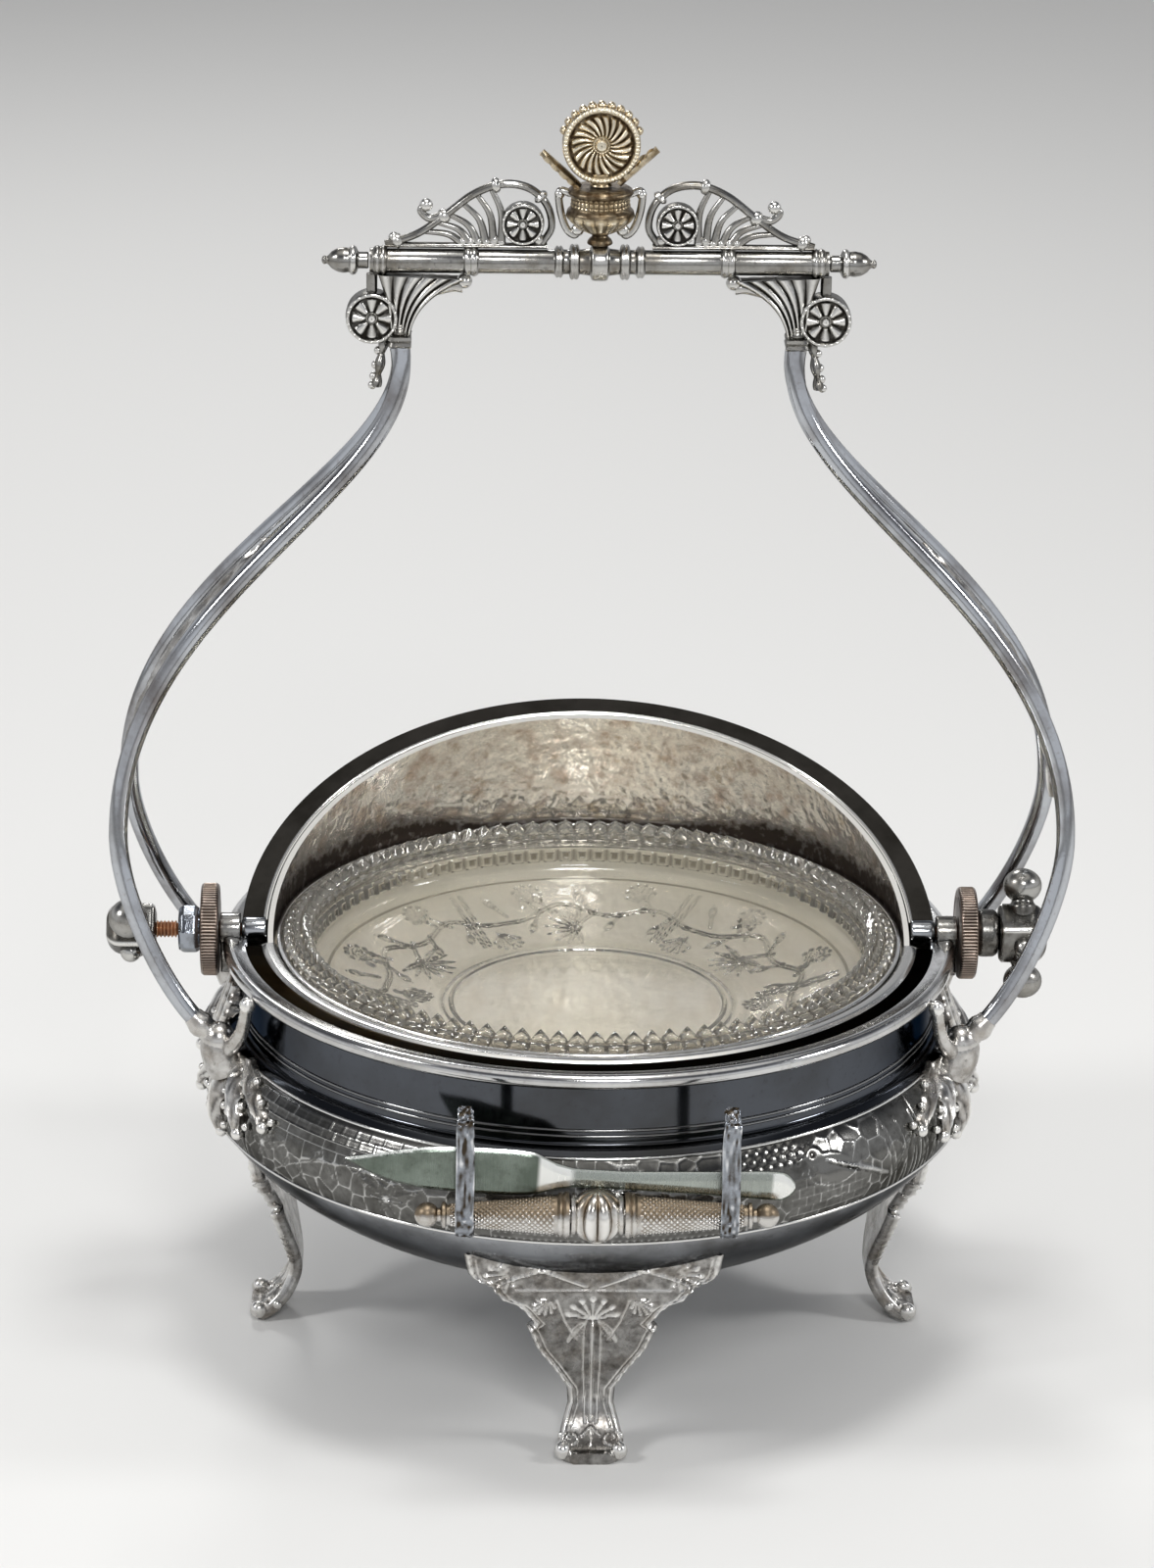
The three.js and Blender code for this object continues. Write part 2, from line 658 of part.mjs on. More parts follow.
// Acanthus leaf that fills the space between the two wires of one side and ends in a hanging tip.
function bailLeaf(side) {
  const upper = wirePath(side, 1).curves[1];
  const rows = 13;
  const sections = Array.from({ length: rows + 1 }, (_, i) => {
    const share = i / rows;
    const t = THREE.MathUtils.lerp(0.02, 0.5, share);
    const point = upper.getPoint(t);
    const tangent = upper.getTangent(t);
    const through = v3(-tangent.z, 0, tangent.x).normalize();
    const room = Math.abs(point.y) - WIRE_RADIUS - SEAM;
    const lobes = 1 - 0.1 * Math.abs(Math.sin(share * Math.PI * 5));
    const taper = Math.min(1, 0.05 + share * 2);
    const halfWidth = room * taper * (share < 0.5 ? lobes : 1);
    return plateSection(v3(point.x, 0, point.z), v3(0, 1, 0), through, halfWidth, LEAF_THICKNESS / 2);
  });
  return solidOf(loft(sections));
}

// Crossbar, turned about its own length, with ring collars along it. Grown by the seam, it cuts
// whatever is fastened to it.
function crossbar(grow = 0) {
  const ring = (centre, radius, width) => [
    [centre - width / 2 - grow, BAR_RADIUS + grow],
    [centre - width / 2 + 0.4 - grow, radius + grow],
    [centre + width / 2 - 0.4 + grow, radius + grow],
    [centre + width / 2 + grow, BAR_RADIUS + grow],
  ];
  const half = [
    [1.7 + grow, BAR_RING_RADIUS + grow],
    [2 + grow, BAR_RADIUS + grow],
    ...ring(7.2, BAR_RING_RADIUS, 3),
    ...ring(11.6, 4.6, 2.6),
    ...ring(36.6, 4.4, 4.2),
    ...ring(BAR_END - 3, 4.3, 4),
    [BAR_END, BAR_RADIUS + grow],
  ];
  const mirrored = [...half].reverse().map(([x, r]) => [-x, r]);
  const profile = [[-BAR_END, 0], ...mirrored, ...half, [BAR_END, 0]];
  return solidOf(turnedAlongX(profile, SMALL).translate(0, 0, barHeight));
}

function acorn(side) {
  const profile = [
    [0, 0],
    [0, 2.4],
    [3.2, 2.4],
    [3.4, 4.1],
    [5.2, 4.1],
    [5.6, 3.2],
    [7.4, 3.6],
    [10.2, 2.6],
    [11.4, 1.2],
    [12.4, 1.3],
    [ACORN_LENGTH, 0],
  ];
  const placed = profile.map(([x, r]) => [side * (BAR_END + SEAM + x), r]);
  return solidOf(turnedAlongX(placed, SMALL).translate(0, 0, barHeight));
}

// Rosette boss that faces front and back, with a raised edge and a centre button.
function rosette(radius, thickness, x, z) {
  const half = thickness / 2;
  const dish = half - 0.8;
  const profile = [
    [0, -half],
    [radius * 0.3, -dish],
    [radius * 0.74, -dish],
    [radius * 0.88, -half],
    [radius, -dish],
    [radius, dish],
    [radius * 0.88, half],
    [radius * 0.74, dish],
    [radius * 0.3, dish],
    [0, half],
  ];
  return turnedAlongY(profile, radius > VOLUTE_RADIUS ? FINE + 4 : FINE).translate(x, 0, z);
}

// Lower bracket: a fan that spreads from the tops of the wires to the crossbar, with a volute.
function bracket(side) {
  const top = barHeight - BAR_RADIUS - SEAM;
  const foot = bracketFoot;
  const x = BRACKET_X;
  const fan = new THREE.Shape();
  fan.moveTo(x - 2.7, foot);
  fan.bezierCurveTo(x - 3, foot + 7, x - 6, foot + 14, x - 19, top - 1.6);
  fan.lineTo(x - 19, top);
  fan.lineTo(x + 6, top);
  fan.bezierCurveTo(x + 4, top - 6, x + 2.4, foot + 8, x + 2.7, foot);
  const volute = rosette(VOLUTE_RADIUS, 7.4, VOLUTE_X, barHeight - VOLUTE_DROP);
  const cap = box([x - 3.2, -wirePair - WIRE_RADIUS, foot], [x + 3.2, wirePair + WIRE_RADIUS, foot + 3]);
  const post = box([VOLUTE_X - 1.4, -1.5, barHeight - VOLUTE_DROP], [VOLUTE_X + 1.6, 1.5, top]);
  const curl = ball(2, [x - 18.6, 0, top - 2], 6);
  const leafPath = smooth([v3(x + 4, 0, foot + 3), v3(x + 5.4, 0, foot - 5), v3(x + 6.4, 0, foot - 12)]);
  const leaf = strap(leafPath, 4.5, 1.6, 4);
  const pieces = [plateXZ(fan, 5, 4), volute, cap, post, curl, leaf];
  return join(...pieces.map((piece) => piece.scale(side, 1, 1))).subtract(crossbar(SEAM));
}

// Upper spandrel: an arched strap that curls round a small rosette, with open fingers below it.
function spandrel(side) {
  const base = crownBase;
  const arch = smooth([
    v3(61, 0, base + 1),
    v3(52, 0, base + 4),
    v3(44, 0, base + 9.5),
    v3(36, 0, base + 15.6),
    v3(28, 0, base + 18.6),
    v3(20.5, 0, base + 17.6),
    v3(15.4, 0, base + 13),
    v3(13.8, 0, base + 6.5),
    v3(16.4, 0, base + 1.6),
  ]);
  const curve = strap(arch, ARCH_THICKNESS, 2, 13);
  const sill = box([15, -ARCH_THICKNESS / 2, base], [61, ARCH_THICKNESS / 2, base + 1.5]);
  const boss = rosette(5.4, 4.6, 22, base + 5.6);
  const web = box([22, -1.2, base + 1], [34, 1.2, base + 4]);
  const fingers = [0.13, 0.21, 0.29, 0.37, 0.45].map((share, i) => {
    const root = v3(35 - i * 2, 0, base + 2.4);
    const tip = arch.getPointAt(share);
    const bend = root.clone().lerp(tip, 0.5).add(v3(-1.4, 0, 1));
    return tube(smooth([root, bend, tip]), 0.9, 4, 2);
  });
  const curlPath = smooth([
    v3(44, 0, base + 9.5),
    v3(48.5, 0, base + 8.4),
    v3(51, 0, base + 10.6),
    v3(49.6, 0, base + 12.6),
  ]);
  const curl = tube(curlPath, 0.9, 4, 4);
  const curlEnd = ball(1.5, [49.2, 0, base + 12.4], 6);
  const pieces = [curve, sill, boss, web, ...fingers, curl, curlEnd];
  return join(...pieces.map((piece) => piece.scale(side, 1, 1))).subtract(crossbar(SEAM));
}

// Urn in the middle of the crown, with a scroll handle on each side.
function urn() {
  const base = barHeight + 5 + SEAM;
  const vase = revolved([
    [0, base],
    [3.6, base],
    [3.2, base + 1.4],
    [1.8, base + 2.6],
    [4.8, base + 4],
    [URN_RADIUS - 0.6, base + 7.6],
    [URN_RADIUS, base + 10],
    [URN_RADIUS - 1.6, base + 11],
    [URN_RADIUS - 1.8, base + 14],
    [URN_RADIUS - 0.4, base + 15.4],
    [URN_RADIUS - 1.8, base + 16.6],
    [0, base + 16.6],
  ], FINE);
  const handles = [-1, 1].flatMap((side) => {
    const path = smooth([
      v3(side * 8.4, 0, base + 14.6),
      v3(side * 11.4, 0, base + 15.2),
      v3(side * 11.3, 0, base + 10.4),
      v3(side * 9.6, 0, base + 4.8),
      v3(side * 7.2, 0, base + 2.8),
      v3(side * 6, 0, base + 4.2),
    ]);
    return [tube(path, 1, 5, 7), ball(1.8, [side * 6.4, 0, base + 4], 6)];
  });
  return join(vase, ...handles);
}

const urnTop = barHeight + 5 + SEAM + 16.6;

function finialDisc() {
  const centre = urnTop + SEAM + 1 + FINIAL_RADIUS;
  const disc = rosette(FINIAL_RADIUS, FINIAL_THICKNESS, 0, centre);
  const neck = new THREE.CylinderGeometry(2.6, 3.2, 4, SMALL).rotateX(Math.PI / 2);
  const below = box([-FAR, -FAR, 0], [FAR, FAR, urnTop + SEAM]);
  return cut(join(disc, neck.translate(0, 0, urnTop + 2.2)), below);
}

function finialLeaf(side) {
  const path = smooth([
    v3(side * 5.6, 0, urnTop + SEAM),
    v3(side * 8.6, 0, urnTop + 3.4),
    v3(side * 12.6, 0, urnTop + 7),
    v3(side * 16.4, 0, urnTop + 10.4),
  ]);
  const rows = 7;
  const sections = Array.from({ length: rows + 1 }, (_, i) => {
    const share = i / rows;
    const tangent = path.getTangentAt(share);
    const through = v3(-tangent.z, 0, tangent.x);
    const halfWidth = 0.5 + 3.2 * Math.sin(Math.PI * (0.25 + share * 0.75));
    return plateSection(path.getPointAt(share), v3(0, 1, 0), through, halfWidth, 0.8);
  });
  const clear = turnedAlongY([[0, -9], [FINIAL_RADIUS + SEAM, -9], [FINIAL_RADIUS + SEAM, 9], [0, 9]], 32)
    .translate(0, 0, urnTop + SEAM + 1 + FINIAL_RADIUS);
  return cut(solidOf(loft(sections)), clear, box([-FAR, -FAR, 0], [FAR, FAR, urnTop + SEAM]));
}

// Foot on the front, drawn in rows of [reach, height, width]: reach is measured from the ankle,
// height and width as shares of the foot's own, from the wings under the bowl to the toe.
const FOOT_ROWS = [
  [11, 1.08, 1.06],
  [9.8, 0.96, 1.02],
  [9.2, 0.91, 0.86],
  [8.2, 0.83, 0.76],
  [7.6, 0.79, 0.62],
  [5.4, 0.68, 0.47],
  [4.8, 0.65, 0.54],
  [2.8, 0.53, 0.46],
  [1.2, 0.42, 0.33],
  [0, 0.3, 0.2],
  [0.5, 0.22, 0.19],
  [3, 0.135, 0.235],
  [6.6, 0.068, 0.27],
  [10.4, 0.024, 0.275],
  [14, 0.018, 0.18],
];
const ANKLE_INSET = 27.5;

function foot() {
  const ankle = bellyRadius - ANKLE_INSET;
  const height = undersideHeight(ankle + FOOT_ROWS[1][0]) + 3;
  const spine = FOOT_ROWS.map(([reach, share]) => v3(0, -(ankle + reach), share * height));
  const sections = FOOT_ROWS.map((row, i) => {
    const before = spine[Math.max(i - 1, 0)];
    const after = spine[Math.min(i + 1, spine.length - 1)];
    const along = after.clone().sub(before).normalize();
    const through = v3(0, along.z, -along.y);
    const halfWidth = (row[2] * FOOT_WIDTH) / 2;
    return plateSection(spine[i], v3(1, 0, 0), through, halfWidth, FOOT_THICKNESS / 2);
  });
  const below = box([-FAR, -FAR, -FAR], [FAR, 0, 0]);
  return cut(solidOf(loft(sections)), below, bowlSpace());
}

// Rack rod, tapered from the boss to a ball at each end, with a thin core that carries the boss.
function rackRod() {
  const inner = BOSS_LENGTH / 2 + SEAM;
  const half = [
    [inner, ROD_CORE_RADIUS],
    [inner, ROD_INNER_RADIUS + 0.7],
    [inner + 3, ROD_INNER_RADIUS + 0.7],
    [inner + 3.6, ROD_INNER_RADIUS],
    [RACK_HALF_LENGTH - 9, ROD_END_RADIUS],
    [RACK_HALF_LENGTH - 7.4, ROD_END_RADIUS - 0.8],
    [RACK_HALF_LENGTH - 4.6, ROD_END_RADIUS + 0.7],
    [RACK_HALF_LENGTH - 1.2, ROD_END_RADIUS - 0.6],
    [RACK_HALF_LENGTH, 0],
  ];
  const mirrored = [...half].reverse().map(([x, r]) => [-x, r]);
  const rod = turnedAlongX([...mirrored, ...half], SMALL).translate(0, -rackRadius, rackHeight);
  return cut(solidOf(rod), bowlSpace());
}

// Melon-shaped boss in the middle of the rack, with lengthwise flutes and a bore for the rod.
function rackBoss() {
  const stations = 6;
  const sides = BOSS_FLUTES * 2;
  const sections = Array.from({ length: stations + 1 }, (_, i) => {
    const share = i / stations;
    const x = (share - 0.5) * BOSS_LENGTH;
    const swell = BOSS_RADIUS * (0.62 + 0.38 * Math.sin(Math.PI * share));
    return Array.from({ length: sides }, (__, k) => {
      const angle = (k / sides) * Math.PI * 2;
      const radius = swell * (1 + 0.045 * Math.cos(angle * BOSS_FLUTES));
      return v3(x, radius * Math.cos(angle) - rackRadius, radius * Math.sin(angle) + rackHeight);
    });
  });
  const bore = cylinderAlongX(ROD_CORE_RADIUS + SEAM, -BOSS_LENGTH, BOSS_LENGTH, SMALL);
  return cut(solidOf(loft(sections)), bowlSpace(), bore.translate(0, -rackRadius, rackHeight));
}

// Upright hook strapped round the front of the rod, its top bent back over the knife.
function rackHook(x) {
  const front = -(rackRadius + ROD_END_RADIUS + 1 + HOOK_THICKNESS / 2);
  const low = rackHeight - ROD_END_RADIUS - 1 - HOOK_THICKNESS / 2;
  const path = smooth([
    v3(x, -rackRadius + 2.5, low + 0.4),
    v3(x, -rackRadius - 1.5, low),
    v3(x, front, rackHeight - 1.5),
    v3(x, front, rackHeight + 6),
    v3(x, front, low + HOOK_HEIGHT - 8),
    v3(x, front + 0.8, low + HOOK_HEIGHT - 3),
    v3(x, front + 2.6, low + HOOK_HEIGHT),
  ]);
  const rodSpace = cylinderAlongX(ROD_END_RADIUS + 1, -RACK_HALF_LENGTH, RACK_HALF_LENGTH).translate(0, -rackRadius, rackHeight);
  return cut(solidOf(strap(path, HOOK_WIDTH, HOOK_THICKNESS, 12)), rodSpace);
}

// Knife in one piece, drawn in rows of [station, height, lift]: station is a share of the length
// from the point of the blade, height and lift are shares of the blade's height.
const KNIFE_ROWS = [
  [0, 0.02, 0.12],
  [0.05, 0.34, 0.04],
  [0.11, 0.66, 0],
  [0.18, 0.9, 0],
  [0.26, 1, 0],
  [0.4, 1, 0],
  [0.455, 0.94, 0],
  [0.5, 0.55, -0.03],
  [0.54, 0.38, -0.04],
  [0.62, 0.38, -0.04],
  [0.8, 0.5, 0],
  [0.93, 0.62, 0.02],
  [0.985, 0.6, 0.02],
  [1, 0.4, 0.02],
];

function knife() {
  const sections = KNIFE_ROWS.map(([station, height, lift]) => {
    const centre = v3((station - 0.56) * KNIFE_LENGTH, 0, lift * KNIFE_BLADE_HEIGHT);
    const halfHeight = (height * KNIFE_BLADE_HEIGHT) / 2;
    return plateSection(centre, v3(0, 0, 1), v3(0, 1, 0), halfHeight, KNIFE_THICKNESS / 2);
  });
  return solidOf(loft(sections));
}

const SILVER = { color: 0xbdbab2, roughness: 0.2, metalness: 1 };
const DARK_SILVER = { color: 0x8f8b83, roughness: 0.35, metalness: 1 };
const WORN_BRASS = { color: 0x9a7a4e, roughness: 0.4, metalness: 1 };
const NUT_BROWN = { color: 0x6f5348, roughness: 0.45, metalness: 1 };
const COPPER = { color: 0x9c5a32, roughness: 0.4, metalness: 1 };
const GLASS = { color: 0xe9e4d2, roughness: 0.05, metalness: 0, transparent: true, opacity: 0.35 };

function part(name, solid, finish) {
  const mesh = new THREE.Mesh(geometryOf(solid), new THREE.MeshStandardMaterial(finish));
  mesh.name = name;
  return mesh;
}

const SIDES = { left: -1, right: 1 };
const ENDS = { front: -1, rear: 1 };

function stand() {
  const group = new THREE.Group();
  group.add(part("bowl", bowl(), SILVER));
  group.add(part("rim_front", rimHalf(ENDS.front), DARK_SILVER));
  group.add(part("rim_rear", rimHalf(ENDS.rear), DARK_SILVER));
  group.add(part("dish_ring", dishRing(), SILVER));
  ["front", "right", "rear", "left"].forEach((place, i) => {
    const mesh = part(`foot_${place}`, foot(), SILVER);
    mesh.rotation.z = (i * Math.PI) / 2;
    group.add(mesh);
  });
  for (const [place, side] of Object.entries(SIDES)) {
    const block = part(`bearing_${place}`, bearing(side), DARK_SILVER);
    block.position.z = PIVOT_HEIGHT;
    group.add(block, part(`bearing_prop_${place}`, bearingProp(side), DARK_SILVER));
    for (const [where, end] of Object.entries(ENDS)) {
      group.add(part(`bail_wire_${where}_${place}`, bailWire(side, end), SILVER));
      group.add(part(`bail_socket_${where}_${place}`, socket(side, end), DARK_SILVER));
    }
    group.add(part(`bail_leaf_${place}`, bailLeaf(side), DARK_SILVER));
    group.add(part(`bracket_${place}`, bracket(side), SILVER));
    group.add(part(`bar_acorn_${place}`, acorn(side), SILVER));
    group.add(part(`spandrel_${place}`, spandrel(side), SILVER));
    group.add(part(`finial_leaf_${place}`, finialLeaf(side), WORN_BRASS));
    group.add(part(`rack_hook_${place}`, rackHook(side * hookX), DARK_SILVER));
  }
  group.add(part("crossbar", crossbar(), SILVER), part("urn", urn(), WORN_BRASS));
  group.add(part("finial_disc", finialDisc(), WORN_BRASS));
  group.add(part("rack_rod", rackRod(), DARK_SILVER), part("rack_boss", rackBoss(), SILVER));
  return group;
}

// The lid at rest is rolled back, with its flange standing behind the dish.
function lid() {
  const group = new THREE.Group();
  const turned = new THREE.Group();
  turned.rotation.x = -radians(LID_OPEN_ANGLE);
  turned.add(part("lid_dome", lidDome(), SILVER), part("lid_flange", lidFlange(), DARK_SILVER));
  group.add(turned);
  for (const [place, side] of Object.entries(SIDES)) {
    const { turn, barTurn, bared } = KNOB_STANCES[place];
    const knob = new THREE.Group();
    knob.rotation.x = radians(turn);
    knob.position.x = side * bared;
    knob.add(part(`knob_${place}`, knobBlock(side, barTurn), SILVER));
    knob.add(part(`knob_bar_${place}`, knobBar(side, barTurn), SILVER));
    for (const [where, face] of Object.entries(ENDS)) {
      knob.add(part(`knob_stud_${where}_${place}`, knobStud(side, face), SILVER));
    }
    group.add(part(`lid_lug_${place}`, lidLug(side), DARK_SILVER));
    group.add(part(`axle_${place}`, axle(side, bared), COPPER));
    group.add(part(`friction_nut_${place}`, nut(side), NUT_BROWN));
    group.add(part(`collar_${place}`, collar(side), SILVER), knob);
  }
  group.position.z = PIVOT_HEIGHT;
  return group;
}

function setting() {
  const group = new THREE.Group();
  const blade = part("knife", knife(), SILVER);
  blade.rotation.y = radians(KNIFE_TILT);
  const lift = rackHeight + BOSS_RADIUS + KNIFE_CLEARANCE + KNIFE_BLADE_HEIGHT * 0.19;
  blade.position.set(0, 1 - rackRadius + KNIFE_THICKNESS, lift);
  group.add(part("glass_dish", glassDish(), GLASS), blade);
  return group;
}

const server = new THREE.Group();
server.add(stand(), lid(), setting());
const frontReach = rackRadius + BOSS_RADIUS;
const knobReach = knobStart + KNOB_LENGTH + KNOB_STANCES.left.bared;
const bailReach = BAIL_HALF_WIDTH + WIRE_RADIUS;
server.position.set((knobReach - bailReach) / 2, (frontReach - bellyRadius) / 2, 0);

export default server;
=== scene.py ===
"""Looks of a silver-plated caviar server whose domed lid rolls back under its glass dish.

The CAD frame gives every place and size. This script gives the fine surfaces and the finishes:
turned and cast silver, the engraved band, pressed glass, knurled nuts and a grey knife.
Lengths are in millimetres here and turn into metres when a mesh is made.
"""

from __future__ import annotations

import logging
import math
from dataclasses import dataclass, field
from enum import Enum
from functools import cache
from typing import Callable, Sequence

import bpy
import numpy as np
from mathutils import Matrix, Vector


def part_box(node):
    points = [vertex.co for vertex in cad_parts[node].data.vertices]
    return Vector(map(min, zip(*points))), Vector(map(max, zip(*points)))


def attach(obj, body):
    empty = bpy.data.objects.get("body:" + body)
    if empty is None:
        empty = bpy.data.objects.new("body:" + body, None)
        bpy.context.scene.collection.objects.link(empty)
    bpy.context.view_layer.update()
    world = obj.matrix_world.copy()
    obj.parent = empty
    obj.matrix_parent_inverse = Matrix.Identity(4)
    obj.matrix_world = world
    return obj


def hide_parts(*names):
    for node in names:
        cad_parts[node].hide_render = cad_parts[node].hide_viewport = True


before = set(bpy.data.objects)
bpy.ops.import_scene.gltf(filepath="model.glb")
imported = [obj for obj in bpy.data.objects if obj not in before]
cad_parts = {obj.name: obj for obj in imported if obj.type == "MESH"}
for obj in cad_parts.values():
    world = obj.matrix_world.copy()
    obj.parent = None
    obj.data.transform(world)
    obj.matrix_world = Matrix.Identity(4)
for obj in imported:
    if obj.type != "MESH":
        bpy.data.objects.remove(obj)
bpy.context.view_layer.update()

LOG = logging.getLogger("caviar_server")

MM = 0.001
Array = np.ndarray
Colour = tuple[float, float, float]
Pair = tuple[float, float]
Point = Sequence[float]


class Half(Enum):
    """One half of the server; its value is the sign of its coordinates across the middle."""

    @property
    def word(self) -> str:
        """The word that node names use for this half."""
        return self.name.lower()


class Side(Half):
    """Left and right halves."""

    LEFT = -1
    RIGHT = 1


class End(Half):
    """Front and rear halves."""

    FRONT = -1
    REAR = 1


class Axis(Enum):
    """Axis that a turned piece is turned about."""

    X = 0
    Z = 2


# Shape helpers


def unit(vector: Point) -> Array:
    """Returns the vector with a length of one."""
    array = np.asarray(vector, float)
    return array / np.linalg.norm(array)


def smoothstep(value: Array) -> Array:
    """Returns a smooth rise from 0 to 1 for values from 0 to 1."""
    clipped = np.clip(value, 0.0, 1.0)
    return clipped * clipped * (3.0 - 2.0 * clipped)


def circle(count: int) -> Array:
    """Returns angles evenly spaced round one turn."""
    return np.linspace(0.0, 2 * math.pi, count, endpoint=False)


def heading(angle: float) -> Array:
    """Returns the direction of an angle on a flat sheet."""
    return np.array([math.cos(angle), math.sin(angle)])


def around_z(radius: Array, angle: Array, level: Array) -> Array:
    """Returns points round Z from radii, angles and heights, broadcast together."""
    return np.stack(np.broadcast_arrays(radius * np.cos(angle), radius * np.sin(angle), level), -1)


def directions(line: Array) -> Array:
    """Returns the unit direction of a line at each of its points."""
    along = np.gradient(line, axis=0)
    return along / np.linalg.norm(along, axis=1)[:, None]


def bezier(points: Sequence[Point], steps: int) -> Array:
    """Samples a Bezier curve of any degree.

    Args:
        points: Control points.
        steps: Number of spans.

    Returns:
        Points on the curve, one more than the spans.
    """
    share = np.linspace(0.0, 1.0, steps + 1)[:, None]
    level = [np.asarray(p, float)[None, :] * np.ones_like(share) for p in points]
    while len(level) > 1:
        level = [a * (1 - share) + b * share for a, b in zip(level[:-1], level[1:])]
    return level[0]


def spline(points: Sequence[Point], steps: int) -> Array:
    """Samples a centripetal spline through points, evenly by span.

    Args:
        points: Points that the curve passes through.
        steps: Number of spans in all.

    Returns:
        Points on the curve, one more than the spans.
    """
    knots = np.asarray(points, float)
    padded = np.vstack([2 * knots[0] - knots[1], knots, 2 * knots[-1] - knots[-2]])
    out = []
    for place in np.linspace(0.0, len(knots) - 1, steps + 1):
        i = min(int(place), len(knots) - 2)
        t = place - i
        a, b, c, d = padded[i : i + 4]
        start = (2 * b) + (c - a) * t + (2 * a - 5 * b + 4 * c - d) * t**2
        out.append(0.5 * (start + (3 * b - a - 3 * c + d) * t**3))
    return np.array(out)


def spaced(points: Array, count: int) -> Array:
    """Returns as many points, evenly spaced along a polyline."""
    length = np.concatenate([[0.0], np.cumsum(np.linalg.norm(np.diff(points, axis=0), axis=1))])
    at = np.linspace(0.0, length[-1], count)
    return np.stack([np.interp(at, length, points[:, k]) for k in range(points.shape[1])], axis=1)


def rounded(profile: Sequence[Pair], radius: float, steps: int = 4) -> Array:
    """Rounds the corners of a profile.

    Args:
        profile: Corner points.
        radius: Largest rounding radius; short edges get less.
        steps: Spans in each rounding.

    Returns:
        The profile with an arc in place of each inner corner.
    """
    corners = np.asarray(profile, float)
    out = [corners[0]]
    for before, corner, after in zip(corners[:-2], corners[1:-1], corners[2:]):
        into, away = before - corner, after - corner
        reach = min(radius, 0.45 * np.linalg.norm(into), 0.45 * np.linalg.norm(away))
        if reach < 1e-3:
            out.append(corner)
            continue
        out.extend(bezier([corner + unit(into) * reach, corner, corner + unit(away) * reach], steps))
    out.append(corners[-1])
    return np.array(out)


def frames_along(path: Array, across: Point) -> tuple[Array, Array, Array]:
    """Gives a frame at each point of a path.

    Args:
        path: Points of the path.
        across: Direction that the first cross axis is kept near.

    Returns:
        Unit tangents, first cross axes and second cross axes.
    """
    tangents = directions(path)
    first = np.asarray(across, float) - (tangents @ np.asarray(across, float))[:, None] * tangents
    first /= np.linalg.norm(first, axis=1)[:, None]
    return tangents, first, np.cross(tangents, first)


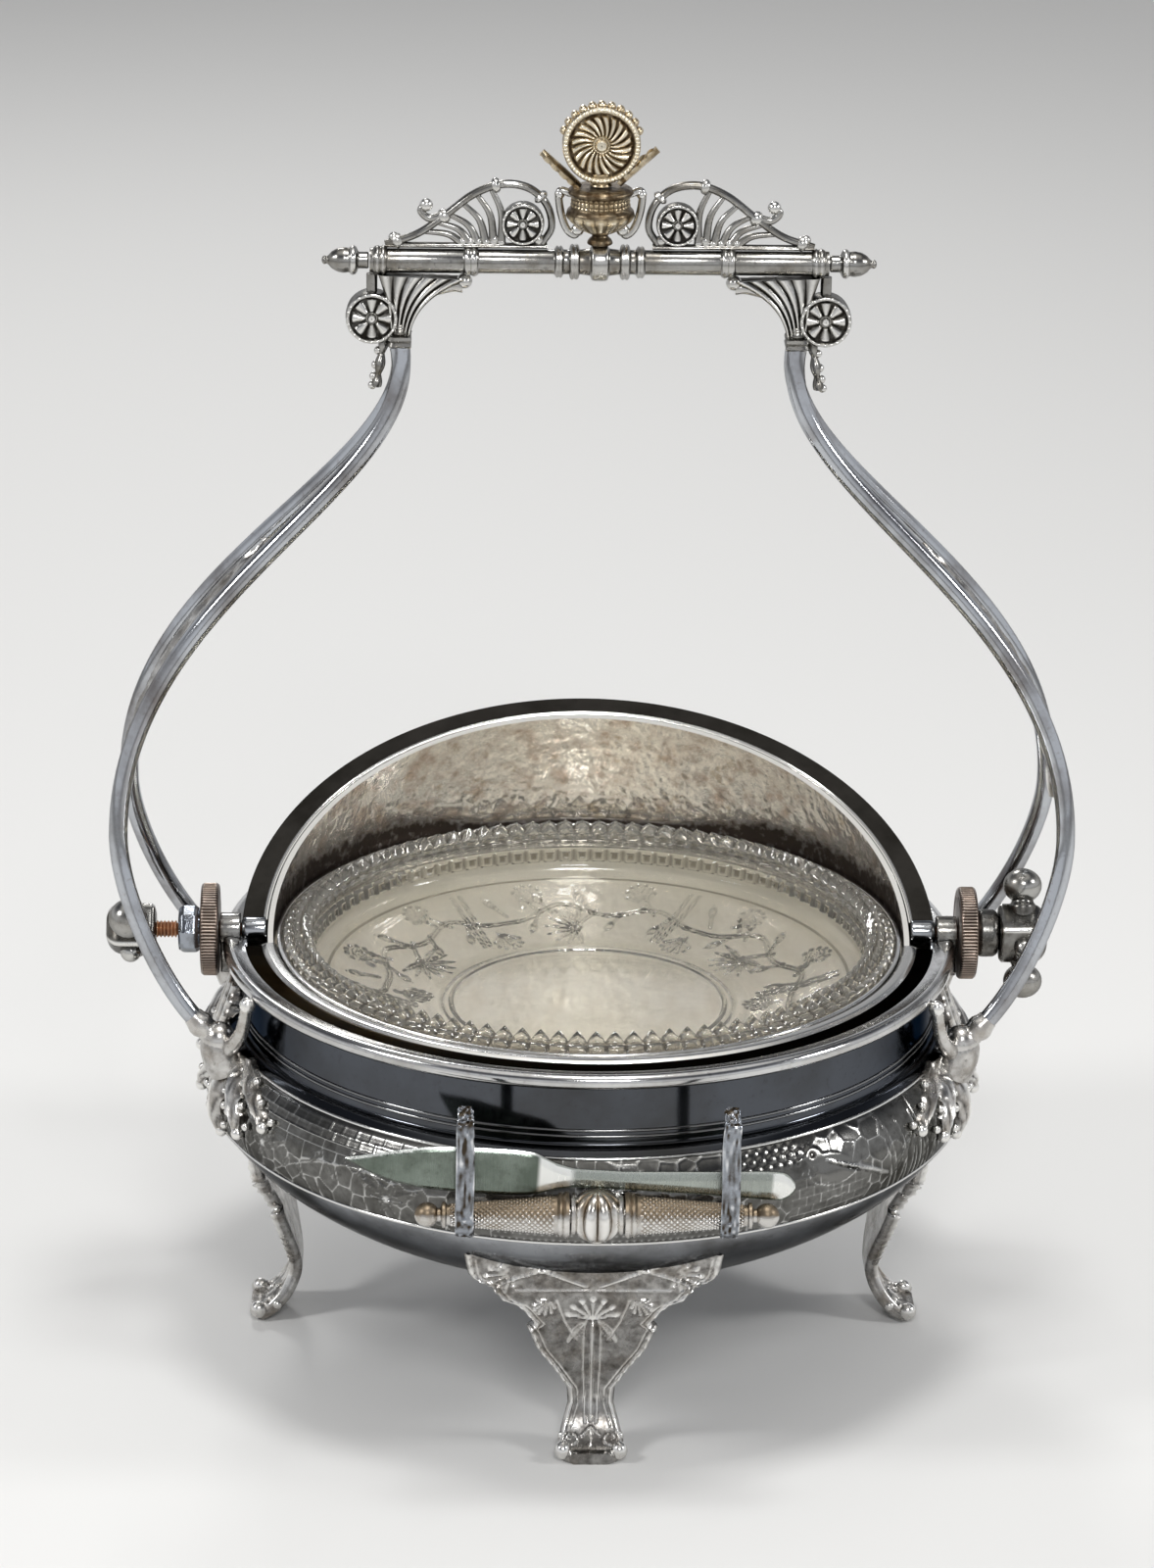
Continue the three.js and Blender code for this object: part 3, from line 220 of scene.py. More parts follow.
class Relief:
    """A flat sheet of raised and sunk ornament, painted by strokes.

    Height is in millimetres. Tone runs from -1, worn bright, to 1, dark: tarnished on metal, painted shade on
    the glass.
    """

    def __init__(self, low: Pair, high: Pair, pitch: float, wraps: bool = False) -> None:
        """Makes an empty sheet.

        Args:
            low: Lowest corner.
            high: Highest corner.
            pitch: Distance between grid points.
            wraps: Whether the sheet closes on itself along its first direction.
        """
        self.low = np.asarray(low, float)
        self.high = np.asarray(high, float)
        self.counts = np.maximum(2, np.round((self.high - self.low) / pitch).astype(int) + 1)
        self.step = (self.high - self.low) / (self.counts - 1)
        self.u = np.linspace(low[0], high[0], self.counts[0])
        self.v = np.linspace(low[1], high[1], self.counts[1])
        self.height = np.zeros(tuple(self.counts))
        self.tone = np.zeros(tuple(self.counts))
        turn = self.high[0] - self.low[0]
        self.shifts = (-turn, 0.0, turn) if wraps else (0.0,)

    def _window(self, low: Array, high: Array) -> tuple[slice, slice] | None:
        """Returns the grid slices that cover a box, or None outside the sheet."""
        first = np.maximum(0, np.floor((low - self.low) / self.step).astype(int))
        last = np.minimum(self.counts, np.ceil((high - self.low) / self.step).astype(int) + 1)
        if np.any(first >= last):
            return None
        return slice(first[0], last[0]), slice(first[1], last[1])

    def _mark(
        self, window: tuple[slice, slice], share: Array, raise_by: float, tone: float, sets: bool,
    ) -> None:
        """Blends height and tone into a window by a share from 0 to 1."""
        height, shade = self.height[window], self.tone[window]
        if sets:
            height[...] = height * (1 - share) + raise_by * share
        else:
            np.copyto(height, np.where(abs(raise_by) * share > 0, height + raise_by * share, height))
        shade[...] = shade * (1 - share) + tone * share

    def stroke(
        self, points: Sequence[Point], width: float | Sequence[float], raise_by: float, tone: float,
        sets: bool = False,
    ) -> None:
        """Draws a rounded line.

        Args:
            points: Points of the line.
            width: Full width, or one width for each point.
            raise_by: Height at the middle of the line; negative cuts in.
            tone: Tone at the middle of the line.
            sets: Whether the height replaces what is there rather than adding to it.
        """
        line = np.asarray(points, float)
        widths = np.broadcast_to(np.asarray(width, float), (len(line),))
        for shift in self.shifts:
            moved = line + np.array([shift, 0.0])
            margin = widths.max()
            window = self._window(moved.min(0) - margin, moved.max(0) + margin)
            if window is None:
                continue
            uu, vv = np.meshgrid(self.u[window[0]], self.v[window[1]], indexing="ij")
            share = np.zeros_like(uu)
            for a, b, wa, wb in zip(moved[:-1], moved[1:], widths[:-1], widths[1:]):
                along = b - a
                length = max(float(along @ along), 1e-9)
                t = np.clip(((uu - a[0]) * along[0] + (vv - a[1]) * along[1]) / length, 0.0, 1.0)
                distance = np.hypot(uu - a[0] - t * along[0], vv - a[1] - t * along[1])
                half = np.maximum((wa * (1 - t) + wb * t) / 2, 0.05)
                share = np.maximum(share, 1 - distance / half)
            self._mark(window, smoothstep(share * 1.4), raise_by, tone, sets)

    def blob(
        self, centre: Point, radii: Pair, angle: float, raise_by: float, tone: float, edge: float = 0.35,
        sets: bool = False,
    ) -> None:
        """Draws an ellipse with a soft edge.

        Args:
            centre: Middle of the ellipse.
            radii: Its two half lengths.
            angle: Turn of the first half length, in radians.
            raise_by: Height in the middle.
            tone: Tone in the middle.
            edge: Share of the radius over which it falls away.
            sets: Whether the height replaces what is there.
        """
        reach = max(radii)
        for shift in self.shifts:
            middle = np.asarray(centre, float) + np.array([shift, 0.0])
            window = self._window(middle - reach, middle + reach)
            if window is None:
                continue
            uu, vv = np.meshgrid(self.u[window[0]] - middle[0], self.v[window[1]] - middle[1], indexing="ij")
            c, s = math.cos(angle), math.sin(angle)
            spread = np.hypot((uu * c + vv * s) / radii[0], (-uu * s + vv * c) / radii[1])
            self._mark(window, smoothstep((1 - spread) / edge), raise_by, tone, sets)

    def leaf(
        self, root: Point, tip: Point, width: float, raise_by: float, tone: float = -0.3, veins: int = 3,
    ) -> None:
        """Draws a pointed leaf with an outline, a midrib and side veins.

        Args:
            root: Where the leaf starts.
            tip: Where it ends.
            width: Full width in the middle.
            raise_by: Height of its body.
            tone: Tone of its outline and ribs.
            veins: Veins on each side.
        """
        a, b = np.asarray(root, float), np.asarray(tip, float)
        along = b - a
        across = np.array([-along[1], along[0]]) / max(np.linalg.norm(along), 1e-6)
        spans = np.linspace(0.0, 1.0, 9)
        bulge = width / 2 * np.sin(np.pi * spans**0.8)
        middle = a + along * spans[:, None]
        self.stroke(middle, np.maximum(bulge * 2.0, 0.3), raise_by * 0.7, 0.25)
        for side in (-1, 1):
            self.stroke(middle + across * (bulge * side)[:, None], 0.5, raise_by * 0.5, tone)
            for k in range(veins):
                share = 0.2 + 0.55 * k / max(veins - 1, 1)
                start = a + along * share
                end = a + along * (share + 0.16) + across * side * width * 0.33 * math.sin(math.pi * share)
                self.stroke([start, end], 0.32, raise_by * 0.4, tone)
        self.stroke([a, b], 0.42, raise_by * 0.6, tone)

    def fan(
        self, root: Point, angle: float, spread: float, length: float, blades: int, raise_by: float,
    ) -> None:
        """Draws a palmette of tapered lobes that open from one root.

        Args:
            root: Where the lobes meet.
            angle: Direction of the middle lobe, in radians.
            spread: Angle from the first lobe to the last, in radians.
            length: Length of the middle lobe.
            blades: Number of lobes.
            raise_by: Height of the lobes.
        """
        start = np.asarray(root, float)
        for k in range(blades):
            share = k / (blades - 1) - 0.5
            turn = angle + share * spread
            reach = length * (1 - 0.45 * (2 * share) ** 2)
            ray = heading(turn)
            lobe = [start + ray * reach * 0.2, start + ray * reach * 0.85]
            self.stroke(lobe, [0.4, length * 0.16], raise_by, -0.35)
            self.blob(start + ray * reach * 0.92, (length * 0.1, length * 0.1), 0.0, raise_by, -0.6)

    def flower(self, centre: Point, radius: float, petals: int, raise_by: float) -> None:
        """Draws an open flower with pointed petals and a button."""
        middle = np.asarray(centre, float)
        for k in range(petals):
            turn = 2 * math.pi * k / petals
            ray = heading(turn)
            self.leaf(middle + ray * radius * 0.15, middle + ray * radius, radius * 0.5, raise_by, veins=1)
        self.blob(middle, (radius * 0.22, radius * 0.22), 0.0, raise_by, -0.6)

    def sample(self, u: Array, v: Array) -> tuple[Array, Array]:
        """Reads height and tone at points by bilinear interpolation.

        Args:
            u: First coordinates.
            v: Second coordinates.

        Returns:
            Heights and tones, in the shape of u.
        """
        gu = np.clip((u - self.low[0]) / self.step[0], 0, self.counts[0] - 1.001)
        gv = np.clip((v - self.low[1]) / self.step[1], 0, self.counts[1] - 1.001)
        iu, iv = gu.astype(int), gv.astype(int)
        fu, fv = gu - iu, gv - iv
        out = []
        for sheet in (self.height, self.tone):
            near = sheet[iu, iv] * (1 - fv) + sheet[iu, iv + 1] * fv
            far = sheet[iu + 1, iv] * (1 - fv) + sheet[iu + 1, iv + 1] * fv
            out.append(near * (1 - fu) + far * fu)
        return out[0], out[1]


class Forge:
    """Collects the patches of one piece, in millimetres, and makes one mesh of them."""

    def __init__(self) -> None:
        """Starts with no patches."""
        self.points: list[Array] = []
        self.tones: list[Array] = []
        self.quads: list[Array] = []
        self.triangles: list[Array] = []
        self.quad_slots: list[Array] = []
        self.triangle_slots: list[Array] = []
        self.count = 0

    def grid(
        self, points: Array | list, tone: Array | float = 0.0, wrap_rows: bool = False,
        wrap_columns: bool = False, cap: bool = False, slot: int | Array = 0, away_from: Point | None = None,
    ) -> None:
        """Adds a sheet of four-sided faces over rows and columns of points.

        Args:
            points: Array of rows, columns and three coordinates.
            tone: One tone, or one for each point.
            wrap_rows: Whether the last row joins the first.
            wrap_columns: Whether the last column joins the first.
            cap: Whether the first and last rows are closed by a fan.
            slot: Material slot of the faces, or one for each row of faces.
            away_from: A point that the faces look away from; without it the patch is closed.
        """
        points = np.asarray(points, float)
        rows, columns, _ = points.shape
        tones = np.broadcast_to(np.asarray(tone, float), (rows, columns)).ravel()
        flat = points.reshape(-1, 3)
        index = np.arange(rows * columns).reshape(rows, columns)
        lower = index if wrap_rows else index[:-1]
        upper = np.roll(index, -1, axis=0) if wrap_rows else index[1:]
        if wrap_columns:
            quads = np.stack([lower, np.roll(lower, -1, 1), np.roll(upper, -1, 1), upper], -1)
        else:
            quads = np.stack([lower[:, :-1], lower[:, 1:], upper[:, 1:], upper[:, :-1]], -1)
        quads = quads.reshape(-1, 4)
        triangles = np.zeros((0, 3), int)
        if cap:
            extra = np.stack([points[0].mean(0), points[-1].mean(0)])
            centres = rows * columns + np.arange(2)
            flat = np.vstack([flat, extra])
            tones = np.concatenate([tones, [tones[0], tones[-1]]])
            first, last = index[0], index[-1]
            triangles = np.vstack([
                np.stack([np.roll(first, -1), first, np.full(columns, centres[0])], -1),
                np.stack([last, np.roll(last, -1), np.full(columns, centres[1])], -1),
            ])
        corner = flat[quads]
        if away_from is None:
            fans = (corner[:, :3], corner[:, [0, 2, 3]], flat[triangles])
            flips = sum(float(np.linalg.det(fan).sum()) for fan in fans) < 0
        else:
            normals = np.cross(corner[:, 2] - corner[:, 0], corner[:, 3] - corner[:, 1])
            outward = corner.mean(1) - np.asarray(away_from, float)
            flips = np.einsum("ij,ij->i", normals, outward).sum() < 0
        if flips:
            quads, triangles = quads[:, ::-1], triangles[:, ::-1]
        self.points.append(flat)
        self.tones.append(tones)
        self.quads.append(quads + self.count)
        self.triangles.append(triangles + self.count)
        slots = np.broadcast_to(np.asarray(slot), len(lower))
        self.quad_slots.append(np.repeat(slots, len(quads) // len(lower)))
        self.triangle_slots.append(np.full(len(triangles), slots[0]))
        self.count += len(flat)

    def turned(
        self, profile: Sequence[Pair] | Array, centre: Point = (0.0, 0.0, 0.0), axis: Axis = Axis.Z,
        segments: int = 96, tone: Array | float = 0.0, closed: bool = False, slot: int = 0,
        ripple: Callable[[Array, Array], Array] | None = None,
    ) -> None:
        """Adds a body of revolution.

        Args:
            profile: Pairs of radius and station along the axis.
            centre: Point that the stations are measured from.
            axis: Axis of revolution.
            segments: Facets around.
            tone: One tone, or one for each profile point.
            closed: Whether the profile closes on itself, as for a ring.
            slot: Material slot.
            ripple: Change of radius from the angles and the stations.
        """
        line = np.asarray(profile, float)
        angle, radius, station = circle(segments), line[:, :1], line[:, 1:2]
        if ripple is not None:
            radius = radius + ripple(angle, station)
        points = around_z(radius, angle, station)
        if axis is Axis.X:
            points = np.roll(points, 1, -1)
        shade = np.asarray(tone, float)
        if shade.ndim == 1:
            shade = shade[:, None]
        points = points + np.asarray(centre, float)
        self.grid(points, shade, wrap_rows=closed, wrap_columns=True, cap=not closed, slot=slot)

    def tube(
        self, path: Array | list, radius: float | Array | list, sides: int = 16, tone: Array | float = 0.0,
        slot: int = 0, flat: float = 1.0, across: Point = (0.0, 1.0, 0.0),
    ) -> None:
        """Adds a round or flattened bar along a path.

        Args:
            path: Points of the path.
            radius: One radius, or one for each point.
            sides: Facets around.
            tone: One tone, or one for each point.
            slot: Material slot.
            flat: Share of the radius kept across the second cross axis.
            across: Direction that the first cross axis is kept near.
        """
        path = np.asarray(path, float)
        _, first, second = frames_along(path, across)
        radii = np.broadcast_to(np.asarray(radius, float), (len(path),))
        angle = circle(sides)[:, None]
        ring = np.cos(angle) * first[:, None, :] + flat * np.sin(angle) * second[:, None, :]
        points = path[:, None, :] + ring * radii[:, None, None]
        shade = np.asarray(tone, float)
        if shade.ndim == 1:
            shade = shade[:, None]
        self.grid(points, shade, wrap_columns=True, cap=True, slot=slot)

    def ball(
        self, centre: Point, radii: float | Point, sides: int = 20, tone: float = 0.0, slot: int = 0,
    ) -> None:
        """Adds a ball or an egg shape."""
        size = np.broadcast_to(np.asarray(radii, float), (3,))
        polar = np.linspace(0.02, math.pi - 0.02, max(6, sides * 2 // 3))
        points = around_z(np.sin(polar)[:, None], circle(sides), np.cos(polar)[:, None]) * size
        self.grid(points + np.asarray(centre, float), tone, wrap_columns=True, cap=True, slot=slot)

    def slab(self, front: Array | list, back: Array | list, tone: Array | list, slot: int = 0) -> None:
        """Adds a plate between two sheets of points in equal rows and columns.

        Args:
            front: Points of the face that carries the relief.
            back: Points of the other face.
            tone: One tone for each point of the front.
            slot: Material slot.
        """
        front, back, shade = np.asarray(front, float), np.asarray(back, float), np.asarray(tone, float)
        dull = np.full(front.shape[:2], 0.35)
        ring = np.concatenate([front, back[:, ::-1]], axis=1)
        self.grid(ring, np.concatenate([shade, dull], axis=1), wrap_columns=True, slot=slot)
        inside = (front.mean((0, 1)) + back.mean((0, 1))) / 2
        for row in (0, -1):
            self.grid([front[row], back[row]], float(shade[row].mean()), slot=slot, away_from=inside)

    def move(self, rotation: Array, offset: Point) -> None:
        """Turns the patches collected so far about the origin, then shifts them."""
        self.points = [points @ rotation.T + np.asarray(offset, float) for points in self.points]

    def build(
        self, name: str, finishes: Sequence[bpy.types.Material], body: str, slot: str, replaces: Sequence[str],
        shift: Pair, sharp: float = 38.0,
    ) -> bpy.types.Object:
        """Makes the mesh object and ties it to the frame.

        Args:
            name: Name of the piece.
            finishes: Materials, in slot order.
            body: CAD body that the piece rides on.
            slot: Material slot of the record; not used.
            replaces: CAD nodes that the piece stands for.
            shift: Place of the bowl's axis along X and Y.
            sharp: Least angle of an edge that stays sharp, in degrees.

        Returns:
            The new object.
        """
        points = np.vstack(self.points) + np.array([*shift, 0.0])
        quads, triangles = np.vstack(self.quads), np.vstack(self.triangles)
        mesh = bpy.data.meshes.new(name)
        mesh.vertices.add(len(points))
        mesh.vertices.foreach_set("co", (points * MM).astype(np.float32).ravel())
        loops = np.concatenate([quads.ravel(), triangles.ravel()]).astype(np.int32)
        mesh.loops.add(len(loops))
        mesh.loops.foreach_set("vertex_index", loops)
        starts = np.concatenate([np.arange(len(quads)) * 4, len(quads) * 4 + np.arange(len(triangles)) * 3])
        mesh.polygons.add(len(starts))
        mesh.polygons.foreach_set("loop_start", starts.astype(np.int32))
        slots = np.concatenate([*self.quad_slots, *self.triangle_slots]).astype(np.int32)
        for finish in finishes:
            mesh.materials.append(finish)
        mesh.polygons.foreach_set("material_index", slots)
        mesh.update(calc_edges=True)
        shade = mesh.attributes.new("tone", "FLOAT", "POINT")
        shade.data.foreach_set("value", np.concatenate(self.tones).astype(np.float32))
        mesh.shade_smooth()
        mesh.set_sharp_from_angle(angle=math.radians(sharp))
        piece = bpy.data.objects.new(name, mesh)
        bpy.context.scene.collection.objects.link(piece)
        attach(piece, body)
        if replaces:
            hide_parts(*replaces)
        LOG.info("%s: %d points on %s", name, len(points), body)
        return piece


# Finishes


class Nodes:
    """A material under construction, with short calls for the nodes that finishes need."""

    def __init__(self, name: str) -> None:
        """Starts an empty material of that name."""
        self.material = bpy.data.materials.new(name)
        self.material.use_nodes = True
        self.tree = self.material.node_tree
        self.tree.nodes.clear()
        self.output = self.tree.nodes.new("ShaderNodeOutputMaterial")
        self.place = self.tree.nodes.new("ShaderNodeTexCoord").outputs["Object"]

    def feed(self, socket: bpy.types.NodeSocket, value: object) -> None:
        """Links a socket to another one, or sets its value."""
        if isinstance(value, bpy.types.NodeSocket):
            self.tree.links.new(value, socket)
        elif isinstance(value, tuple) and len(value) == 3 and socket.type == "RGBA":
            socket.default_value = (*value, 1.0)
        else:
            socket.default_value = value

    def math(self, operation: str, a: object, b: object = 0.0, clamp: bool = False) -> bpy.types.NodeSocket:
        """Returns the result of a sum on two values."""
        node = self.tree.nodes.new("ShaderNodeMath")
        node.operation = operation
        node.use_clamp = clamp
        self.feed(node.inputs[0], a)
        self.feed(node.inputs[1], b)
        return node.outputs[0]

    def blend(self, share: object, a: object, b: object) -> bpy.types.NodeSocket:
        """Returns colour a turned into colour b by a share."""
        node = self.tree.nodes.new("ShaderNodeMix")
        node.data_type = "RGBA"
        self.feed(node.inputs["Factor"], share)
        self.feed(node.inputs["A"], a)
        self.feed(node.inputs["B"], b)
        return node.outputs["Result"]

    def spread(
        self, value: object, low: float, high: float, to_low: float = 0.0, to_high: float = 1.0,
    ) -> object:
        """Returns a value moved from one range to another and held inside it."""
        node = self.tree.nodes.new("ShaderNodeMapRange")
        node.clamp = True
        for name, given in (
            ("Value", value), ("From Min", low), ("From Max", high), ("To Min", to_low), ("To Max", to_high),
        ):
            self.feed(node.inputs[name], given)
        return node.outputs["Result"]

    def noise(
        self, size: float, detail: float = 3.0, stretch: Point = (1.0, 1.0, 1.0),
    ) -> bpy.types.NodeSocket:
        """Makes a cloudy pattern.

        Args:
            size: Size of its clouds, in millimetres.
            detail: How many finer layers it has.
            stretch: Length of the clouds along X, Y and Z.

        Returns:
            The pattern, around 0.5.
        """
        scale = self.tree.nodes.new("ShaderNodeMapping")
        scale.vector_type = "POINT"
        self.feed(scale.inputs["Vector"], self.place)
        scale.inputs["Scale"].default_value = tuple(1.0 / (size * MM * s) for s in stretch)
        node = self.tree.nodes.new("ShaderNodeTexNoise")
        self.feed(node.inputs["Vector"], scale.outputs["Vector"])
        node.inputs["Scale"].default_value = 1.0
        node.inputs["Detail"].default_value = detail
        node.inputs["Roughness"].default_value = 0.6
        return node.outputs["Fac"]

    def tone(self) -> bpy.types.NodeSocket:
        """Returns the tone painted on the mesh."""
        node = self.tree.nodes.new("ShaderNodeAttribute")
        node.attribute_name = "tone"
        return node.outputs["Fac"]

    def bump(self, height: object, depth: float, normal: object = None) -> bpy.types.NodeSocket:
        """Returns a surface direction bent by a height pattern of a depth in millimetres."""
        node = self.tree.nodes.new("ShaderNodeBump")
        node.inputs["Strength"].default_value = 1.0
        node.inputs["Distance"].default_value = depth * MM
        self.feed(node.inputs["Height"], height)
        if normal is not None:
            self.feed(node.inputs["Normal"], normal)
        return node.outputs["Normal"]

    def finish(self, **sockets: object) -> bpy.types.Material:
        """Closes the material with one shader, its sockets given by name."""
        shader = self.tree.nodes.new("ShaderNodeBsdfPrincipled")
        for name, value in sockets.items():
            self.feed(shader.inputs[name.replace("_", " ")], value)
        self.tree.links.new(shader.outputs[0], self.output.inputs["Surface"])
        return self.material


@dataclass(frozen=True)
class Metal:
    """A metal finish: polished high places, tarnished clouds and dark recesses; the same colours also carry
    painted light and shade.
    """

    name: str
    bright: Colour
    dull: Colour
    recess: Colour
    polish: Colour = (0.90, 0.89, 0.86)
    roughness: float = 0.16
    rough_recess: float = 0.5
    cloud: float = 24.0
    cloud_from: float = 0.42
    cloud_to: float = 0.68
    dents: float = 0.0
    dent_size: float = 9.0
    grain: float = 0.012
    grain_size: float = 0.9
    scratches: float = 0.0
    scratch_stretch: Point = (14.0, 1.0, 1.0)
    spots: float = 0.25
    spot_size: float = 1.6
    spot: Colour | None = None
    rough_polish: float = 0.0
    detail: float = 5.0
    edge: Colour = (1.0, 1.0, 1.0)

    @cache
    def make(self) -> bpy.types.Material:
        """Returns the material, which is made at the first call."""
        nodes = Nodes(self.name)
        tone = nodes.tone()
        clouds = nodes.spread(nodes.noise(self.cloud, self.detail), self.cloud_from, self.cloud_to)
        specks = nodes.spread(nodes.noise(self.spot_size, 4.0), 0.60, 0.70, 0.0, self.spots)
        colour = nodes.blend(clouds, self.bright, self.dull)
        colour = nodes.blend(specks, colour, self.spot or self.recess)
        worn = nodes.spread(nodes.noise(3.0, 3.0), 0.25, 0.75, -0.25, 0.25)
        # High tone gives the recess colour and low tone the polish colour: tarnished hollows and rubbed high
        # spots on most pieces, painted shade, painted highlights and painted light on the lid's inside, the
        # rim lip and the knife's edges.
        sunk = nodes.spread(nodes.math("ADD", tone, worn), 0.1, 0.9)
        raised = nodes.spread(nodes.math("SUBTRACT", 0.0, tone), 0.1, 0.9)
        colour = nodes.blend(sunk, colour, self.recess)
        colour = nodes.blend(raised, colour, self.polish)
        rough = nodes.spread(clouds, 0.0, 1.0, self.roughness, self.roughness * 1.7)
        rough = nodes.math("MAXIMUM", rough, nodes.spread(sunk, 0.0, 1.0, 0.0, self.rough_recess))
        if self.rough_polish:
            rough = nodes.math("MAXIMUM", rough, nodes.spread(raised, 0.0, 1.0, 0.0, self.rough_polish))
        normal = nodes.bump(nodes.noise(self.grain_size, 3.0), self.grain)
        if self.dents:
            normal = nodes.bump(nodes.noise(self.dent_size, 1.5), self.dents, normal)
        if self.scratches:
            lines = nodes.noise(0.35, 2.0, self.scratch_stretch)
            rough = nodes.math("ADD", rough, nodes.spread(lines, 0.4, 0.7, 0.0, 0.18))
            normal = nodes.bump(lines, self.scratches, normal)
        return nodes.finish(
            Base_Color=colour, Metallic=1.0, Roughness=rough, Normal=normal, Specular_Tint=(*self.edge, 1.0)
        )


@dataclass(frozen=True)
class Glass:
    """Clear pressed glass, a little warm, with cuts that are a little rougher and painted dark, a painted
    shade.
    """

    name: str = "pressed_glass"
    colour: Colour = (0.99, 0.96, 0.88)
    # Dark colour of the pressed lines: painted shade for the dark edges that refraction shows in clear glass.
    cut: Colour = (0.22, 0.20, 0.15)
    body: float = 0.92
    roughness: float = 0.03
    ior: float = 1.5

    @cache
    def make(self) -> bpy.types.Material:
        """Returns the material, which is made at the first call."""
        nodes = Nodes(self.name)
        # High tone turns the glass to the dark cut colour, a painted shade, and makes it a little rougher.
        sunk = nodes.spread(nodes.tone(), 0.05, 1.0)
        colour = nodes.blend(sunk, self.colour, self.cut)
        rough = nodes.spread(sunk, 0.0, 1.0, self.roughness, 0.22)
        normal = nodes.bump(nodes.noise(7.0, 1.0), 0.05)
        return nodes.finish(
            Base_Color=colour, Roughness=rough, Normal=normal, IOR=self.ior, Transmission_Weight=self.body
        )


@dataclass(frozen=True)
class Wardrobe:
    """The recipes of every finish of the server."""

    silver: Metal = Metal(
        "plated_silver", (0.66, 0.66, 0.66), (0.36, 0.35, 0.33), (0.10, 0.09, 0.08), roughness=0.12, cloud=34.0
    )
    belly: Metal = Metal(
        "dark_belly_silver", (0.46, 0.475, 0.50), (0.17, 0.17, 0.17), (0.04, 0.035, 0.03), roughness=0.12,
        cloud=40.0, edge=(0.22, 0.22, 0.22),
    )
    hook: Metal = Metal(
        "hammered_hook_silver", (0.34, 0.365, 0.405), (0.18, 0.19, 0.205), (0.06, 0.047, 0.033),
        roughness=0.15, cloud=6.0, grain=0.06, polish=(0.90, 0.91, 0.93), edge=(0.6, 0.6, 0.6),
    )
    # Near-black base colour for the mirror-polished neck: a painted dark reflection of dark surroundings, not
    # the silver's own colour.
    neck: Metal = Metal(
        "mirror_silver_painted_dark", (0.085, 0.092, 0.105), (0.05, 0.05, 0.05), (0.04, 0.035, 0.035), roughness=0.09,
        cloud=60.0, grain=0.006, edge=(0.30, 0.31, 0.33),
    )
    band: Metal = Metal(
        "engraved_silver", (0.19, 0.188, 0.18), (0.09, 0.088, 0.08), (0.015, 0.013, 0.012), roughness=0.17,
        cloud=26.0, polish=(0.97, 0.97, 0.95), edge=(0.36, 0.36, 0.36),
    )
    cast: Metal = Metal(
        "cast_silver", (0.62, 0.61, 0.59), (0.33, 0.30, 0.265), (0.035, 0.03, 0.025), roughness=0.2, cloud=8.0,
        grain=0.03, spots=0.4,
    )
    rack: Metal = Metal(
        "rack_silver", (0.60, 0.585, 0.56), (0.34, 0.30, 0.25), (0.21, 0.165, 0.115), roughness=0.2,
        rough_recess=0.42, cloud=7.0, grain=0.04, spots=0.3,
    )
    crown: Metal = Metal(
        "dark_cast_silver", (0.36, 0.355, 0.34), (0.19, 0.175, 0.15), (0.025, 0.022, 0.018), roughness=0.19,
        cloud=9.0, grain=0.02, spots=0.5, edge=(0.5, 0.5, 0.5),
    )
    # Near-black base colour for the lid flange and the rim's front band: partly tarnished metal, partly a
    # painted dark reflection.
    flange: Metal = Metal(
        "near_black_flange", (0.045, 0.042, 0.038), (0.025, 0.023, 0.02), (0.02, 0.02, 0.018), roughness=0.14,
        cloud=20.0, edge=(0.25, 0.25, 0.25),
    )
    # Inside of the lid. Its dark recess colour shows in a painted shade band above the glass rim, and its
    # bright polish, with rough_polish, only below the dish, as a painted pool of light.
    inside: Metal = Metal(
        "mottled_lid_inside", (1.0, 0.975, 0.95), (0.70, 0.59, 0.52), (0.07, 0.055, 0.045), roughness=0.15,
        cloud=6.0, cloud_from=0.45, cloud_to=0.66, detail=9.0, dents=0.55, dent_size=4.2, spots=0.45,
        spot_size=7.0, spot=(0.60, 0.45, 0.27), polish=(0.99, 0.97, 0.92), rough_polish=0.5,
    )
    wire: Metal = Metal(
        "wire_silver", (0.50, 0.52, 0.55), (0.23, 0.22, 0.22), (0.12, 0.07, 0.04), roughness=0.1, cloud=22.0,
        edge=(0.6, 0.6, 0.6),
    )
    gilt: Metal = Metal(
        "worn_gilt", (0.62, 0.52, 0.36), (0.30, 0.22, 0.12), (0.05, 0.03, 0.015), polish=(0.88, 0.82, 0.68),
        roughness=0.25, cloud=6.0, grain=0.05,
    )
    nut: Metal = Metal(
        "brown_nut", (0.17, 0.125, 0.10), (0.08, 0.06, 0.05), (0.015, 0.011, 0.009), polish=(0.66, 0.56, 0.48),
        roughness=0.3, cloud=7.0,
    )
    copper: Metal = Metal(
        "copper_thread", (0.62, 0.33, 0.18), (0.35, 0.18, 0.10), (0.08, 0.04, 0.03), polish=(0.85, 0.55, 0.36),
        roughness=0.3, cloud=5.0,
    )
    blade: Metal = Metal(
        "grey_blade", (0.245, 0.285, 0.25), (0.12, 0.145, 0.12), (0.05, 0.05, 0.04), roughness=0.18,
        cloud=26.0, scratches=0.02, scratch_stretch=(1.0, 1.0, 16.0), polish=(0.88, 0.89, 0.86),
    )
    # Each glass tints its pressed lines with its second colour, a painted shade.
    glass: Glass = Glass()
    rim_glass: Glass = Glass("pressed_rim_glass", (1.0, 0.98, 0.91), (0.22, 0.175, 0.115), body=0.94)


# Sizes shared by the sub-assemblies


